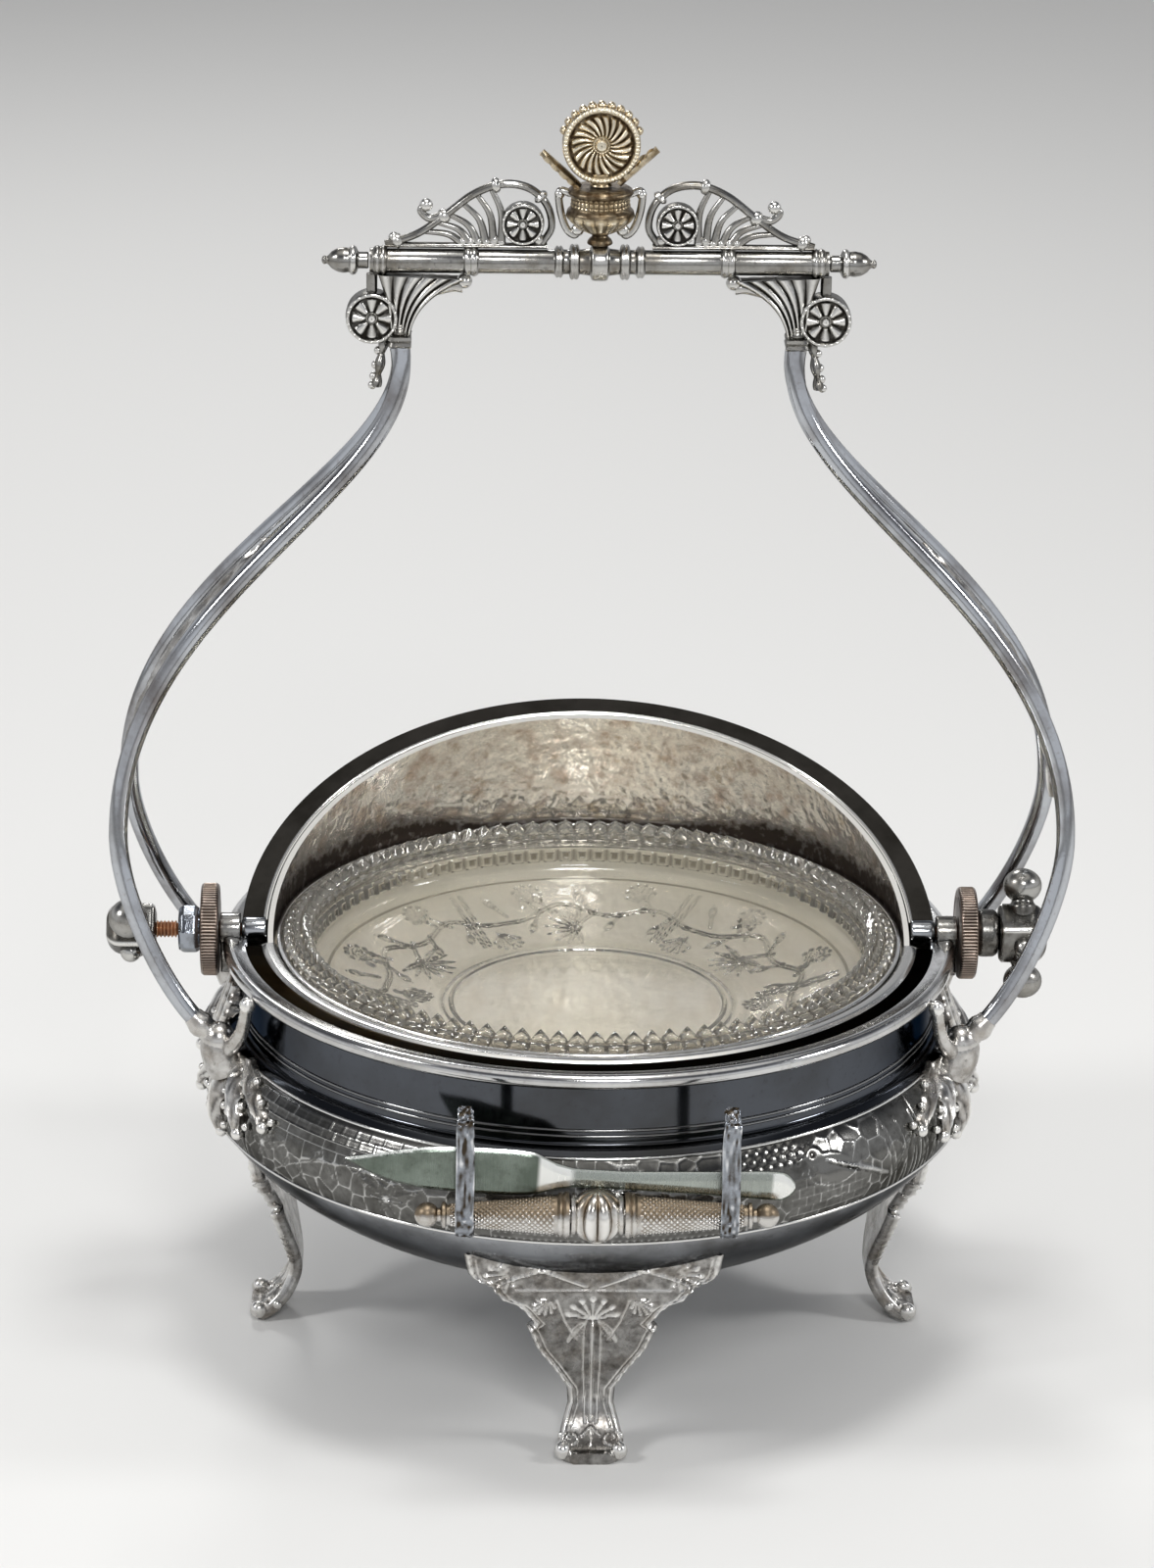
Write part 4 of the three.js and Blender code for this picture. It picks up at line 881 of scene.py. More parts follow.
@dataclass(frozen=True)
class Plan:
    """Heights and radii that the sub-assemblies share, in millimetres from the bowl's axis and the ground."""

    axis: Pair
    bowl_floor: float
    belly_radius: float
    neck_top: float
    rim_top: float
    bead_outer: float
    pivot: float
    ring_outer: float
    dish_radius: float
    dish_seat: float
    belly_height: float = 83.0
    shoulder_height: float = 101.0
    neck_radius: float = 103.6
    bead_radius: float = 2.2
    bracket_foot: float = 305.7
    bracket_x: float = 56.9

    @property
    def pivot_point(self) -> Point:
        """Middle of the lid's axis."""
        return 0.0, 0.0, self.pivot

    @property
    def bead_centre(self) -> float:
        """Radius of the middle of the rim bead."""
        return self.bead_outer - self.bead_radius

    @staticmethod
    def from_frame() -> "Plan":
        """Reads the sizes from the CAD nodes."""
        bowl_low, bowl_high = (np.array(v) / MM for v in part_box("bowl"))
        _, rim_high = (np.array(v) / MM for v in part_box("rim_rear"))
        ring_low, ring_high = (np.array(v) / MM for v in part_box("dish_ring"))
        dish_low, dish_high = (np.array(v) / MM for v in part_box("glass_dish"))
        nut_low, nut_high = (np.array(v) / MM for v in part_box("collar_left"))
        return Plan(
            axis=(float(bowl_low[0] + bowl_high[0]) / 2, float(bowl_low[1] + bowl_high[1]) / 2),
            bowl_floor=float(bowl_low[2]), belly_radius=float(bowl_high[0] - bowl_low[0]) / 2,
            neck_top=float(bowl_high[2]), rim_top=float(rim_high[2]), bead_outer=109.2,
            pivot=float(nut_low[2] + nut_high[2]) / 2, ring_outer=float(ring_high[0] - ring_low[0]) / 2,
            dish_radius=float(dish_high[0] - dish_low[0]) / 2, dish_seat=float(dish_high[2]) - 5.0,
        )


@dataclass
class Assembly:
    """One sub-assembly: it knows the shared sizes and finishes and builds its own pieces."""

    plan: Plan
    wear: Wardrobe

    def close(
        self, forge: Forge, name: str, finish: Metal | Glass | Sequence[Metal | Glass], slot: str,
        replaces: Sequence[str], body: str = "stand", sharp: float = 38.0,
    ) -> bpy.types.Object:
        """Makes the mesh of one piece at its place in the frame.

        Args:
            forge: The patches of the piece.
            name: Name of the piece.
            finish: Its finish, or its finishes in slot order.
            slot: Material slot of the record; passed to the build, which does not use it.
            replaces: CAD nodes that it stands for.
            body: CAD body that it rides on.
            sharp: Least angle of a sharp edge, in degrees.

        Returns:
            The new object.
        """
        finishes = [finish] if isinstance(finish, (Metal, Glass)) else finish
        return forge.build(name, [one.make() for one in finishes], body, slot, replaces, self.plan.axis, sharp)


# Engraved band


@dataclass
class Engraving:
    """The ornament engraved round the bowl: crackle, pebbles, bricks, roe, birds, grass and blossom."""

    length: float
    height: float
    pitch: float = 0.33
    line: float = 0.55
    seed: int = 7
    sheet: Relief = field(init=False)

    def __post_init__(self) -> None:
        """Paints the sheet. It reads from -length/2 to length/2 and wraps."""
        half = self.length / 2
        self.sheet = Relief((-half, 0.0), (half, self.height), self.pitch, wraps=True)
        self.sheet.tone[...] = 0.22
        self.crackle(-half, half)
        self.pebbles(-30.0, 44.0, 0.0, self.height * 0.36)
        self.bricks(-128.0, -44.0, self.height * 0.62, self.height)
        self.bricks(58.0, 86.0, 0.0, self.height * 0.55)
        self.bricks(140.0, 178.0, self.height * 0.4, self.height)
        self.roe(40.0, 66.0)
        self.bird((74.0, self.height * 0.56), 1.0)
        self.bird((-152.0, self.height * 0.5), -1.0)
        self.grass(96.0, 124.0)
        self.grass(-140.0, -122.0)
        self.blossom((-112.0, self.height * 0.36))
        self.blossom((128.0, self.height * 0.6))
        self.blossom((-62.0, self.height * 0.28))
        self.blossom((6.0, self.height * 0.62))
        self.branch((-108.0, 2.0), (-60.0, 12.0))
        self.branch((-30.0, 3.0), (34.0, 17.0))

    def clear(self, left: float, right: float, low: float, high: float) -> None:
        """Smooths a field of the sheet back to its ground."""
        sheet = self.sheet
        columns = (sheet.u >= left) & (sheet.u <= right)
        rows = (sheet.v >= low) & (sheet.v <= high)
        sheet.height[np.ix_(columns, rows)] = 0.0
        sheet.tone[np.ix_(columns, rows)] = 0.28

    def crackle(self, left: float, right: float) -> None:
        """Covers a stretch with a net of raised lines, like crackled glaze."""
        rng = np.random.default_rng(self.seed)
        cell = 6.2
        sheet = self.sheet
        columns = int(round((right - left) / cell))
        rows = int(math.ceil(self.height / cell)) + 2
        width = (right - left) / columns
        seeds = np.stack(np.meshgrid(np.arange(columns), np.arange(rows), indexing="ij"), -1).astype(float)
        seeds += rng.uniform(0.1, 0.9, seeds.shape)
        seeds = seeds * np.array([width, cell]) + np.array([left, -cell])
        uu, vv = np.meshgrid(sheet.u, sheet.v, indexing="ij")
        near = np.full(uu.shape, 1e9)
        second = near.copy()
        turn = right - left
        for seed in seeds.reshape(-1, 2):
            across = (uu - seed[0] + turn / 2) % turn - turn / 2
            distance = np.hypot(across, vv - seed[1])
            second = np.minimum(second, np.maximum(near, distance))
            near = np.minimum(near, distance)
        share = smoothstep(1 - (second - near) / 0.9)
        sheet.height += 0.16 * share
        sheet.tone += -0.75 * share

    def bricks(self, left: float, right: float, low: float, high: float) -> None:
        """Lays courses of small bricks, outlined by raised lines."""
        self.clear(left, right, low, high)
        course, brick = 2.7, 5.2
        rows = int((high - low) / course)
        for row in range(rows + 1):
            level = low + row * course
            self.sheet.stroke([(left, level), (right, level)], self.line, 0.16, -0.5)
            if row == rows:
                break
            start = left + (row % 2) * brick / 2
            for k in range(int((right - start) / brick) + 1):
                at = start + k * brick
                self.sheet.stroke([(at, level), (at, level + course)], self.line, 0.14, -0.45)

    def _staggered(self, left: float, right: float, step: float, rows: int) -> list[tuple[float, int]]:
        """Returns places along a field and their row, every second row half a step on."""
        count = int((right - left) / step)
        return [(left + (i + 0.5 * (k % 2) + 0.5) * step, k) for i in range(count) for k in range(rows)]

    def pebbles(self, left: float, right: float, low: float, high: float) -> None:
        """Fills a field with close small dots in staggered rows."""
        self.clear(left, right, low, high)
        step = 2.1
        for across, row in self._staggered(left, right, step, int((high - low) / step)):
            self.sheet.blob((across, low + (row + 0.5) * step), (0.85, 0.85), 0.0, 0.18, -0.35, 0.7)

    def roe(self, left: float, right: float) -> None:
        """Lays three rows of roe-like discs, each with a dot, under the top border."""
        self.clear(left, right, self.height * 0.6, self.height)
        for across, row in self._staggered(left, right, 3.3, 3):
            at = (across, self.height - 1.9 - row * 2.9)
            self.sheet.blob(at, (1.6, 1.5), 0.0, 0.26, -0.1, 0.55)
            self.sheet.blob(at, (0.5, 0.5), 0.0, -0.18, 0.9, 0.6)

    def bird(self, at: Point, facing: float) -> None:
        """Engraves a perched bird: a smooth breast, a disc eye, a long wing and a long tail.

        Args:
            at: Middle of its body.
            facing: 1 where its head is to the left, -1 where it is to the right.
        """
        sheet = self.sheet

        def place(x: float, y: float) -> tuple[float, float]:
            """Returns a point of the bird on the sheet."""
            return at[0] + facing * x, at[1] + y

        tilt = -0.32 * facing
        for k in range(6):
            root = place(7.0, -0.6 - k * 0.45)
            tip = place(21.0 + 0.8 * k, -7.0 - k * 0.55)
            sheet.stroke([root, tip], [1.1, 0.5], 0.22, -0.3)
        sheet.blob(place(0.0, 0.0), (9.4, 4.9), tilt, 0.34, -0.05, 0.28, sets=True)
        sheet.blob(place(-6.6, 4.6), (3.7, 3.3), tilt, 0.36, -0.05, 0.3, sets=True)
        sheet.stroke([place(-9.6, 4.9), place(-13.2, 4.0)], [1.5, 0.3], 0.26, -0.3)
        sheet.blob(place(-7.2, 5.0), (1.25, 1.25), 0.0, -0.12, 1.0, 0.35)
        sheet.blob(place(-7.2, 5.0), (0.45, 0.45), 0.0, 0.2, -0.6, 0.6)
        for k in range(9):
            start = place(-3.0 + 1.1 * k, 2.6 - 0.5 * k)
            middle = place(2.0 + 1.5 * k, 0.9 - 0.62 * k)
            end = place(9.0 + 1.1 * k, -2.8 - 0.42 * k)
            sheet.stroke([start, middle, end], [0.7, 0.8, 0.3], 0.14, -0.55)
            groove = [place(-2.6 + 1.1 * k, 1.9 - 0.5 * k), place(8.4 + 1.1 * k, -3.4 - 0.42 * k)]
            sheet.stroke(groove, 0.35, -0.12, 0.8)
        under = np.linspace(math.pi * 0.9, math.pi * 1.9, 12)
        outline = [place(9.6 * math.cos(t), 5.0 * math.sin(t)) for t in under]
        sheet.stroke(outline, 0.5, 0.1, -0.7)
        for x in (-1.0, 2.2):
            sheet.stroke([place(x, -4.6), place(x - 0.6, -8.6)], 0.55, 0.2, -0.4)
            sheet.stroke([place(x - 2.2, -9.0), place(x + 1.4, -8.6)], 0.5, 0.2, -0.4)

    def grass(self, left: float, right: float) -> None:
        """Draws tall blades and curled tendrils."""
        self.clear(left, right, 0.0, self.height)
        rng = np.random.default_rng(self.seed + abs(int(left)))
        for k in range(11):
            root = left + (right - left) * (k + 0.5) / 11
            lean = rng.uniform(-7.0, 9.0)
            top = rng.uniform(0.55, 0.97) * self.height
            line = bezier([(root, 0.0), (root + lean * 0.1, top * 0.6), (root + lean, top)], 10)
            self.sheet.stroke(line, np.linspace(1.2, 0.4, len(line)), 0.24, -0.5)
        for k in range(4):
            root = left + (right - left) * (k + 0.4) / 4
            middle = np.array([root, self.height * 0.45])
            turns = zip(np.linspace(0.0, 4.6, 16), np.linspace(4.2, 1.0, 16))
            self.sheet.stroke([middle + size * heading(t) for t, size in turns], 0.5, 0.2, -0.6)
        for k in range(5):
            root = (left + (right - left) * (k + 0.2) / 5, self.height * 0.2 + 2.4 * (k % 3))
            self.sheet.leaf(root, (root[0] + rng.uniform(3, 7), root[1] + rng.uniform(4, 9)), 3.0, 0.22)

    def blossom(self, at: Point) -> None:
        """Draws an open flower with two leaves."""
        self.sheet.leaf((at[0] - 1.0, at[1]), (at[0] - 10.0, at[1] + 5.0), 4.2, 0.24)
        self.sheet.leaf((at[0] + 1.0, at[1]), (at[0] + 10.0, at[1] + 4.0), 4.2, 0.24)
        self.sheet.flower(at, 5.2, 6, 0.26)

    def branch(self, start: Point, end: Point) -> None:
        """Draws a twig with leaves to both sides."""
        bend = ((start[0] + end[0]) / 2, max(start[1], end[1]) + 6.0)
        line = bezier([start, bend, end], 16)
        self.sheet.stroke(line, 0.9, 0.24, -0.4)
        for k in range(2, 16, 2):
            side = 1 if k % 4 else -1
            self.sheet.leaf(line[k], line[k] + np.array([3.4, side * 4.2]), 2.4, 0.2)


# Bowl and rim


@dataclass
class Bowl(Assembly):
    """The footed bowl: plain underside, engraved band, shoulder and a mirror neck painted dark, a painted dark
    reflection.
    """

    wall: float = 1.5
    shoulder_step: float = 4.0
    band_low: float = 75.0
    band_columns: int = 1440
    band_row: float = 0.42
    coarse: int = 288
    border: float = 0.55
    repeats: int = 2

    def outside(self) -> Array:
        """Returns the outside profile from the middle of the underside to the top of the neck."""
        plan = self.plan
        under = bezier([
            (0.0, plan.bowl_floor), (plan.belly_radius * 0.43, plan.bowl_floor + 1.5),
            (plan.belly_radius, plan.belly_height - 24), (plan.belly_radius, plan.belly_height),
        ], 60)
        edge = (plan.neck_radius + self.shoulder_step, plan.shoulder_height - 2)
        shoulder = bezier(
            [under[-1], (plan.belly_radius, (plan.belly_height + plan.shoulder_height) / 2 + 1), edge], 30
        )
        return np.vstack([under, shoulder[1:]])

    def build(self) -> None:
        """Builds the bowl in four patches that meet under thin border beads."""
        plan, forge = self.plan, Forge()
        profile = self.outside()
        split = int(np.argmax(profile[:, 1] > self.band_low))
        forge.grid(*self._turn(profile[: split + 1], self.coarse), wrap_columns=True, away_from=(0, 0, 400.0))
        self._band(forge, profile[split:])
        neck = rounded([
            tuple(profile[-1]), (plan.neck_radius + self.shoulder_step / 2, plan.shoulder_height),
            (plan.neck_radius, plan.shoulder_height + 0.6), (plan.neck_radius, plan.neck_top),
            (plan.neck_radius - self.wall, plan.neck_top),
        ], 1.2)
        forge.grid(*self._turn(neck, self.coarse), wrap_columns=True, away_from=(0, 0, 110.0), slot=1)
        throat = plan.neck_radius - self.wall
        corner = [[throat, plan.neck_top], [throat, plan.shoulder_height - 0.4]]
        inner = np.vstack([corner, self._inside(profile)[::-1]])
        points, tones = self._turn(inner, self.coarse)
        forge.grid(points, tones, wrap_columns=True, away_from=(0, 0, -4000.0), slot=2)
        angle = circle(10)
        for radius, height, size, tone, slot in (
            (*profile[split], self.border, -0.7, 0), (*profile[-1], self.border, -0.7, 0),
            (plan.neck_radius, plan.shoulder_height + 3.2, 0.5, -0.25, 1),
            (plan.neck_radius, plan.shoulder_height + 5.0, 0.5, -0.25, 1),
            (plan.neck_radius, plan.neck_top - 1.0, 0.5, -0.8, 1),
        ):
            bead = np.stack([radius + size * np.cos(angle), height + size * np.sin(angle)], -1)
            forge.turned(bead, segments=self.coarse, closed=True, tone=tone, slot=slot)
        wear = self.wear
        self.close(forge, "bowl_shell", [wear.belly, wear.neck, wear.silver, wear.band], "silver", ["bowl"])

    def _turn(self, profile: Array, columns: int) -> tuple[Array, Array]:
        """Returns the points and plain tones of a turned sheet."""
        points = around_z(profile[:, :1], circle(columns), profile[:, 1:2])
        return points, np.zeros(points.shape[:2])

    def _inside(self, profile: Array) -> Array:
        """Returns the inner profile, one wall inside the outer one."""
        along = directions(profile)
        inner = profile + self.wall * np.stack([-along[:, 1], along[:, 0]], -1)
        inner[0, 0] = 0.0
        return inner[::2]

    def _band(self, forge: Forge, profile: Array) -> None:
        """Adds the engraved band."""
        length = np.linalg.norm(np.diff(profile, axis=0), axis=1).sum()
        line = spaced(profile, int(length / self.band_row))
        along = directions(line)
        outward = np.stack([along[:, 1], -along[:, 0]], -1)
        around = 2 * math.pi * self.plan.belly_radius
        engraving = Engraving(around / self.repeats, float(length))
        angle = circle(self.band_columns)
        front = (angle + math.pi / 2) * self.plan.belly_radius
        turn = around / self.repeats
        u = (front + turn / 2) % turn - turn / 2
        v = np.linspace(0.0, length, len(line))
        uu, vv = np.meshgrid(u, v, indexing="xy")
        height, tone = engraving.sheet.sample(uu, vv)
        fade = smoothstep(np.minimum(v, length - v) / 0.8)[:, None]
        radius = line[:, :1] + outward[:, :1] * height * fade
        level = line[:, 1:2] + outward[:, 1:2] * height * fade
        points = around_z(radius, angle, level)
        forge.grid(points, tone, wrap_columns=True, away_from=(0, 0, 88.0), slot=3)


@dataclass
class Rim(Assembly):
    """The rim: a rolled bead all round, parted at the bearings, and a flat dark band in front."""

    parting: float = 5.3
    band_start: float = 9.5
    band_inner: float = 93.4
    band_thickness: float = 3.2
    lip_width: float = 4.0

    def build(self) -> None:
        """Builds the front and rear halves."""
        for end in End:
            forge = Forge()
            plan = self.plan
            gap = math.asin(self.parting / plan.bead_centre)
            start = (math.pi if end is End.FRONT else 0.0) + gap
            angle = np.linspace(start, start + math.pi - 2 * gap, 220)
            self._sweep(forge, self._bead(), angle, 0)
            if end is End.FRONT:
                lean = math.asin(self.band_start / self.band_inner)
                self._sweep(forge, self._band(), np.linspace(math.pi + lean, 2 * math.pi - lean, 220), 1)
            name = f"rim_{end.word}"
            self.close(forge, f"{name}_half", [self.wear.silver, self.wear.flange], "dark_silver", [name])

    def _sweep(self, forge: Forge, section: Array, angle: Array, slot: int) -> None:
        """Adds a closed section swept along an arc, with flat ends and a raised lip painted bright, a painted
        highlight along the glass edge.
        """
        # Painted highlight: the lip of the front band takes the polish colour.
        lip = (section[:, 0] < self.band_inner + self.lip_width + 0.3) & (slot == 1)
        points = around_z(section[:, 0], angle[:, None], section[:, 1])
        forge.grid(points, np.where(lip, -1.0, 0.0), wrap_columns=True, cap=True, slot=slot)

    def _bead(self) -> Array:
        """Returns the section of the rolled bead with its seat on the neck."""
        plan = self.plan
        turn, size = np.linspace(math.radians(-150), math.radians(120), 22), plan.bead_radius
        middle = plan.rim_top - size
        bead = np.stack([plan.bead_centre + size * np.cos(turn), middle + size * np.sin(turn)], -1)
        seat_low = plan.neck_top + 0.3
        inner = plan.neck_radius - 1.5
        seat = [
            (inner, plan.rim_top - 0.9), (inner, seat_low), (plan.neck_radius + 0.4, seat_low),
            (plan.neck_radius + 1.0, seat_low + 0.5),
        ]
        return np.vstack([bead, seat])

    def _band(self) -> Array:
        """Returns the section of the flat band that the flange shuts on."""
        top, low = self.plan.rim_top, self.plan.rim_top - self.band_thickness
        outer = self.plan.bead_centre - 1.4
        inner = self.band_inner
        return rounded([
            (inner, low), (outer, low), (outer, top - 0.9), (outer - 0.5, top - 0.8),
            (inner + self.lip_width + 0.5, top - 0.8), (inner + self.lip_width, top - 0.5),
            (inner + self.lip_width - 0.9, top), (inner + 0.9, top), (inner, top - 0.5), (inner, low),
        ], 0.4)[:-1]


@dataclass
class Ring(Assembly):
    """The ring that holds the glass dish, with a bright lip."""

    inner: float = 91.8
    drop: float = 5.8
    ledge: float = 5.5
    ledge_thickness: float = 1.4

    def build(self) -> None:
        """Builds the ring."""
        top, outer = self.plan.rim_top, self.plan.ring_outer
        low = top - self.drop
        profile = rounded([
            (self.inner - self.ledge, low), (outer, low), (outer, top), (self.inner, top),
            (self.inner, low + self.ledge_thickness), (self.inner - self.ledge, low + self.ledge_thickness),
            (self.inner - self.ledge, low),
        ], 0.4)[:-1]
        forge = Forge()
        forge.turned(profile, segments=288, closed=True, tone=-0.3)
        self.close(forge, "dish_ring_band", self.wear.silver, "silver", ["dish_ring"])


@dataclass
class GlassDish(Assembly):
    """The pressed glass dish: pointed rim, prism rows, a patterned well and a raised floor ring."""

    points: int = 102
    facets: int = 8
    well_top: float = 84.5
    well_radius: float = 78.0
    crease_height: float = 111.4
    kernels_foot: Pair = (91.2, 124.1)
    kernel_rows: int = 24
    tip: Pair = (84.9, 127.7)
    points_foot: Pair = (84.2, 121.6)
    point_rows: int = 16
    prisms_head: Pair = (84.0, 119.7)
    prisms_foot: Pair = (83.4, 115.2)
    prism_rows: int = 14
    rim_rows_below: int = 12
    first: int = 0
    ring_radius: float = 41.0
    floor_radius: float = 46.0
    depth: float = 22.0
    thickness: float = 3.8
    carving: float = 0.5

    def build(self) -> None:
        """Builds the dish as one closed skin of glass."""
        columns = self.points * self.facets
        angle = circle(columns)
        phase = angle * self.points / (2 * math.pi)
        profile = self._profile()
        radius = np.repeat(profile[:, :1], columns, 1)
        height = np.repeat(profile[:, 1:2], columns, 1)
        tone = np.zeros_like(radius)
        self._press_rim(radius, height, tone, phase)
        self._carve_well(radius, height, tone, angle, profile)
        points = around_z(radius, angle, height)
        forge = Forge()
        last = self.first + self.kernel_rows + self.point_rows + self.prism_rows + self.rim_rows_below
        row = np.arange(len(points) - 1)
        slots = np.where((row >= self.first - 1) & (row < last), 1, 0)
        forge.grid(points, tone, wrap_columns=True, cap=True, slot=slots)
        glasses = [self.wear.glass, self.wear.rim_glass]
        self.close(forge, "glass_dish_pressed", glasses, "glass", ["glass_dish"], "dish", sharp=24.0)

    def _profile(self) -> Array:
        """Returns the half section, from the middle of the underside round to the middle of the floor."""
        seat, edge, base = self.plan.dish_seat, self.plan.dish_radius, self.floor_radius
        low = seat - self.depth
        high = low + self.thickness
        under = bezier([(base, low), (base + 18, low + 3), (80.5, low + 9), (85.3, 113.6)], 34)
        ledge = [(85.9, 117.0), (86.0, seat - 0.9), (86.6, seat), (88.6, seat), (edge - 1.2, seat)]
        outside = [(edge - 0.2, h) for h in np.linspace(seat + 0.4, self.kernels_foot[1] - 0.3, 5)]
        kernels = np.linspace(self.kernels_foot, self.tip, self.kernel_rows)
        points = np.linspace((self.tip[0] - 0.4, self.tip[1] - 0.3), self.points_foot, self.point_rows)
        prisms = np.linspace(self.prisms_head, self.prisms_foot, self.prism_rows)
        crease = (self.well_radius, self.crease_height)
        steep = bezier([(83.2, 114.6), (82.6, 112.8), (80.2, 112.2), crease], 16)
        gentle = bezier([crease, (70.5, 109.6), (base + 16, high + 2.0), (base + 3, high)], 100)
        floor = [(r, high) for r in np.linspace(base + 2.4, 0.4, 90)]
        start = [(0.4, low), (base - 1, low)]
        self.first = len(start) + len(under) + len(ledge) + len(outside)
        rim = [*ledge, *outside, *kernels, *points, *prisms]
        return np.array([*start, *under, *rim, *steep, *gentle[1:], *floor])

    def _press_rim(self, radius: Array, height: Array, tone: Array, phase: Array) -> None:
        """Presses two rows of kernels on the outer slope, studs inside and prisms below them, with painted
        shade in their valleys, lower facets, gaps and prism middles.
        """
        aside = np.abs(phase % 1.0 - 0.5)
        valley = 2 * aside
        for k in range(self.kernel_rows):
            share, row = k / (self.kernel_rows - 1), self.first + k
            level = 2.3 * share
            swell = math.sqrt(abs(math.sin(math.pi * level)) + 0.02)
            bump = np.sqrt(np.clip(1.0 - valley**4, 0.0, 1.0)) * swell
            height[row] += 1.0 * bump - 2.6 * valley * share**3
            radius[row] += 0.35 * bump
            # Painted shade in the valleys between kernels.
            tone[row] = 0.25 + 0.6 * smoothstep((0.80 - bump) / 0.4)
        first = self.first + self.kernel_rows
        for k in range(self.point_rows):
            share, row = k / (self.point_rows - 1), first + k
            ball = np.sqrt(np.clip(1.0 - (valley / 0.8) ** 2 - ((share - 0.26) / 0.30) ** 2, 0.0, 1.0))
            facet = smoothstep((2.1 * (share - 0.5) - valley) / 0.12)
            radius[row] -= 1.5 * ball + 0.5 * (1 - facet) * share
            height[row] -= 2.6 * valley * (1 - share) ** 2
            # Painted shade on the lower facets and in the upper valleys of the studs.
            tone[row] = np.maximum(0.65 * facet, 0.6 * (valley > 0.9) * (share < 0.5))
        first += self.point_rows
        for k in range(self.prism_rows):
            share, row = k / (self.prism_rows - 1), first + k
            off = abs(share - 0.5)
            block = smoothstep((0.42 - aside) / 0.1) * smoothstep((0.5 - off) / 0.16)
            middle = smoothstep((0.20 - aside) / 0.06) * smoothstep((0.26 - off) / 0.1)
            radius[row] -= 1.2 * block - 0.7 * middle
            # Painted shade in the gaps between prisms and in their middles.
            tone[row] = np.maximum(0.75 * (1 - block) * (off < 0.42), 0.85 * middle)

    def _carve_well(self, radius: Array, height: Array, tone: Array, angle: Array, profile: Array) -> None:
        """Presses the flower pattern into the well, with its painted shade, and paints a dark line of shade
        along the crease.
        """
        reach = self.well_top
        sheet = Relief((-reach, -reach), (reach, reach), 0.3)
        self._pattern(sheet)
        crease = np.array([self.well_radius, self.crease_height])
        last = int(np.argmin(np.abs(profile - crease).sum(1)))
        # Painted shade: a dark line along the crease.
        tone[last - 1 : last + 2] = 0.85
        for row in range(last + 2, len(profile)):
            u, v = radius[row] * np.cos(angle), radius[row] * np.sin(angle)
            rise, shade = sheet.sample(u, v)
            height[row] += rise
            tone[row] = shade

    def _pattern(self, sheet: Relief) -> None:
        """Draws a branch with flowers and buds round the well, reeds and a double floor ring."""

        def spot(degrees: float, radius: float) -> Array:
            """Returns a place in the well."""
            return radius * heading(math.radians(degrees))

        for k in range(6):
            start = 62 + 60 * k
            line = [(-3, 61), (8, 66), (21, 62), (34, 67), (46, 61), (57, 61)]
            branch = spline([spot(start + turn, radius) for turn, radius in line], 72)
            self._line(sheet, branch, 1.5)
            stalk = bezier([spot(start + 24, 64), spot(start + 28, 60), spot(start + 30, 57)], 8)
            self._line(sheet, stalk, 1.1)
            self._lotus(sheet, spot(start + 30, 56.5), math.radians(start + 30 + (180 if k % 2 else 90)))
            for turn, radius, lean in ((12, 70.5, 0.4), (44, 70.0, -0.5)):
                self._line(sheet, [spot(start + turn - 4, 64), spot(start + turn, radius)], 1.1)
                self._carnation(sheet, spot(start + turn, radius - 2.5), math.radians(start + turn) + lean)
            self._carnation(sheet, spot(start + 55, 56.5), math.radians(start + 235))
            for turn, way in ((3, -1), (17, -1), (26, 1), (37, 1), (41, -1), (50, 1)):
                base = spot(start + turn, 63.5)
                end = spot(start + turn + 3, 63.5 + 6.5 * way)
                self._line(sheet, [base, end], 0.8)
                self._bud(sheet, end, math.atan2(*(end - base)[::-1]))
            for near in (0.0, 2.2):
                at = start + near
                self._line(sheet, bezier([spot(at + 2, 52), spot(at, 62), spot(at - 1, 75)], 16), 1.2)
        # The floor rings are tinted a little dark, a painted shade.
        for radius, rise in ((self.ring_radius, 0.5), (self.ring_radius + 2.6, 0.35)):
            sheet.stroke([spot(turn, radius) for turn in range(0, 363, 3)], 1.5, rise, 0.3)

    def _line(self, sheet: Relief, points: Sequence[Point], width: float) -> None:
        """Draws a stem with two sides painted dark, as painted shade, and a clear middle."""
        sheet.stroke(points, width + 0.9, -self.carving, 0.75)
        sheet.stroke(points, width * 0.62, self.carving * 0.9, 0.05)

    def _bud(self, sheet: Relief, at: Point, angle: float) -> None:
        """Draws a small pointed bud."""
        ray = heading(angle)
        middle = np.asarray(at, float)
        # Painted shade round the bud.
        sheet.blob(middle, (3.0, 1.7), angle, -self.carving, 0.8, 0.5)
        sheet.blob(middle, (2.0, 1.0), angle, self.carving * 1.2, 0.0, 0.6)
        sheet.stroke([middle - ray * 2.5, middle + ray * 3.4], 0.4, -self.carving * 0.6, 0.7)

    def _carnation(self, sheet: Relief, at: Point, angle: float) -> None:
        """Draws a fan-shaped flower on a cup."""
        middle = np.asarray(at, float)
        for k in range(7):
            turn = angle + (k - 3) * 0.27
            ray = heading(turn)
            reach = 9.0 - 0.35 * (k - 3) ** 2
            # Painted shade along each petal's cut.
            sheet.stroke([middle + ray * 1.6, middle + ray * reach], [0.9, 2.3], -self.carving, 0.7)
            sheet.stroke([middle + ray * 2.0, middle + ray * (reach - 0.8)], [0.3, 1.2], self.carving, 0.0)
        sheet.blob(middle, (2.4, 1.8), angle, self.carving, 0.1, 0.5)

    def _lotus(self, sheet: Relief, at: Point, angle: float) -> None:
        """Draws an open flower with pointed petals."""
        middle = np.asarray(at, float)
        for k in range(9):
            turn = angle + (k - 4) * 0.42
            ray = heading(turn)
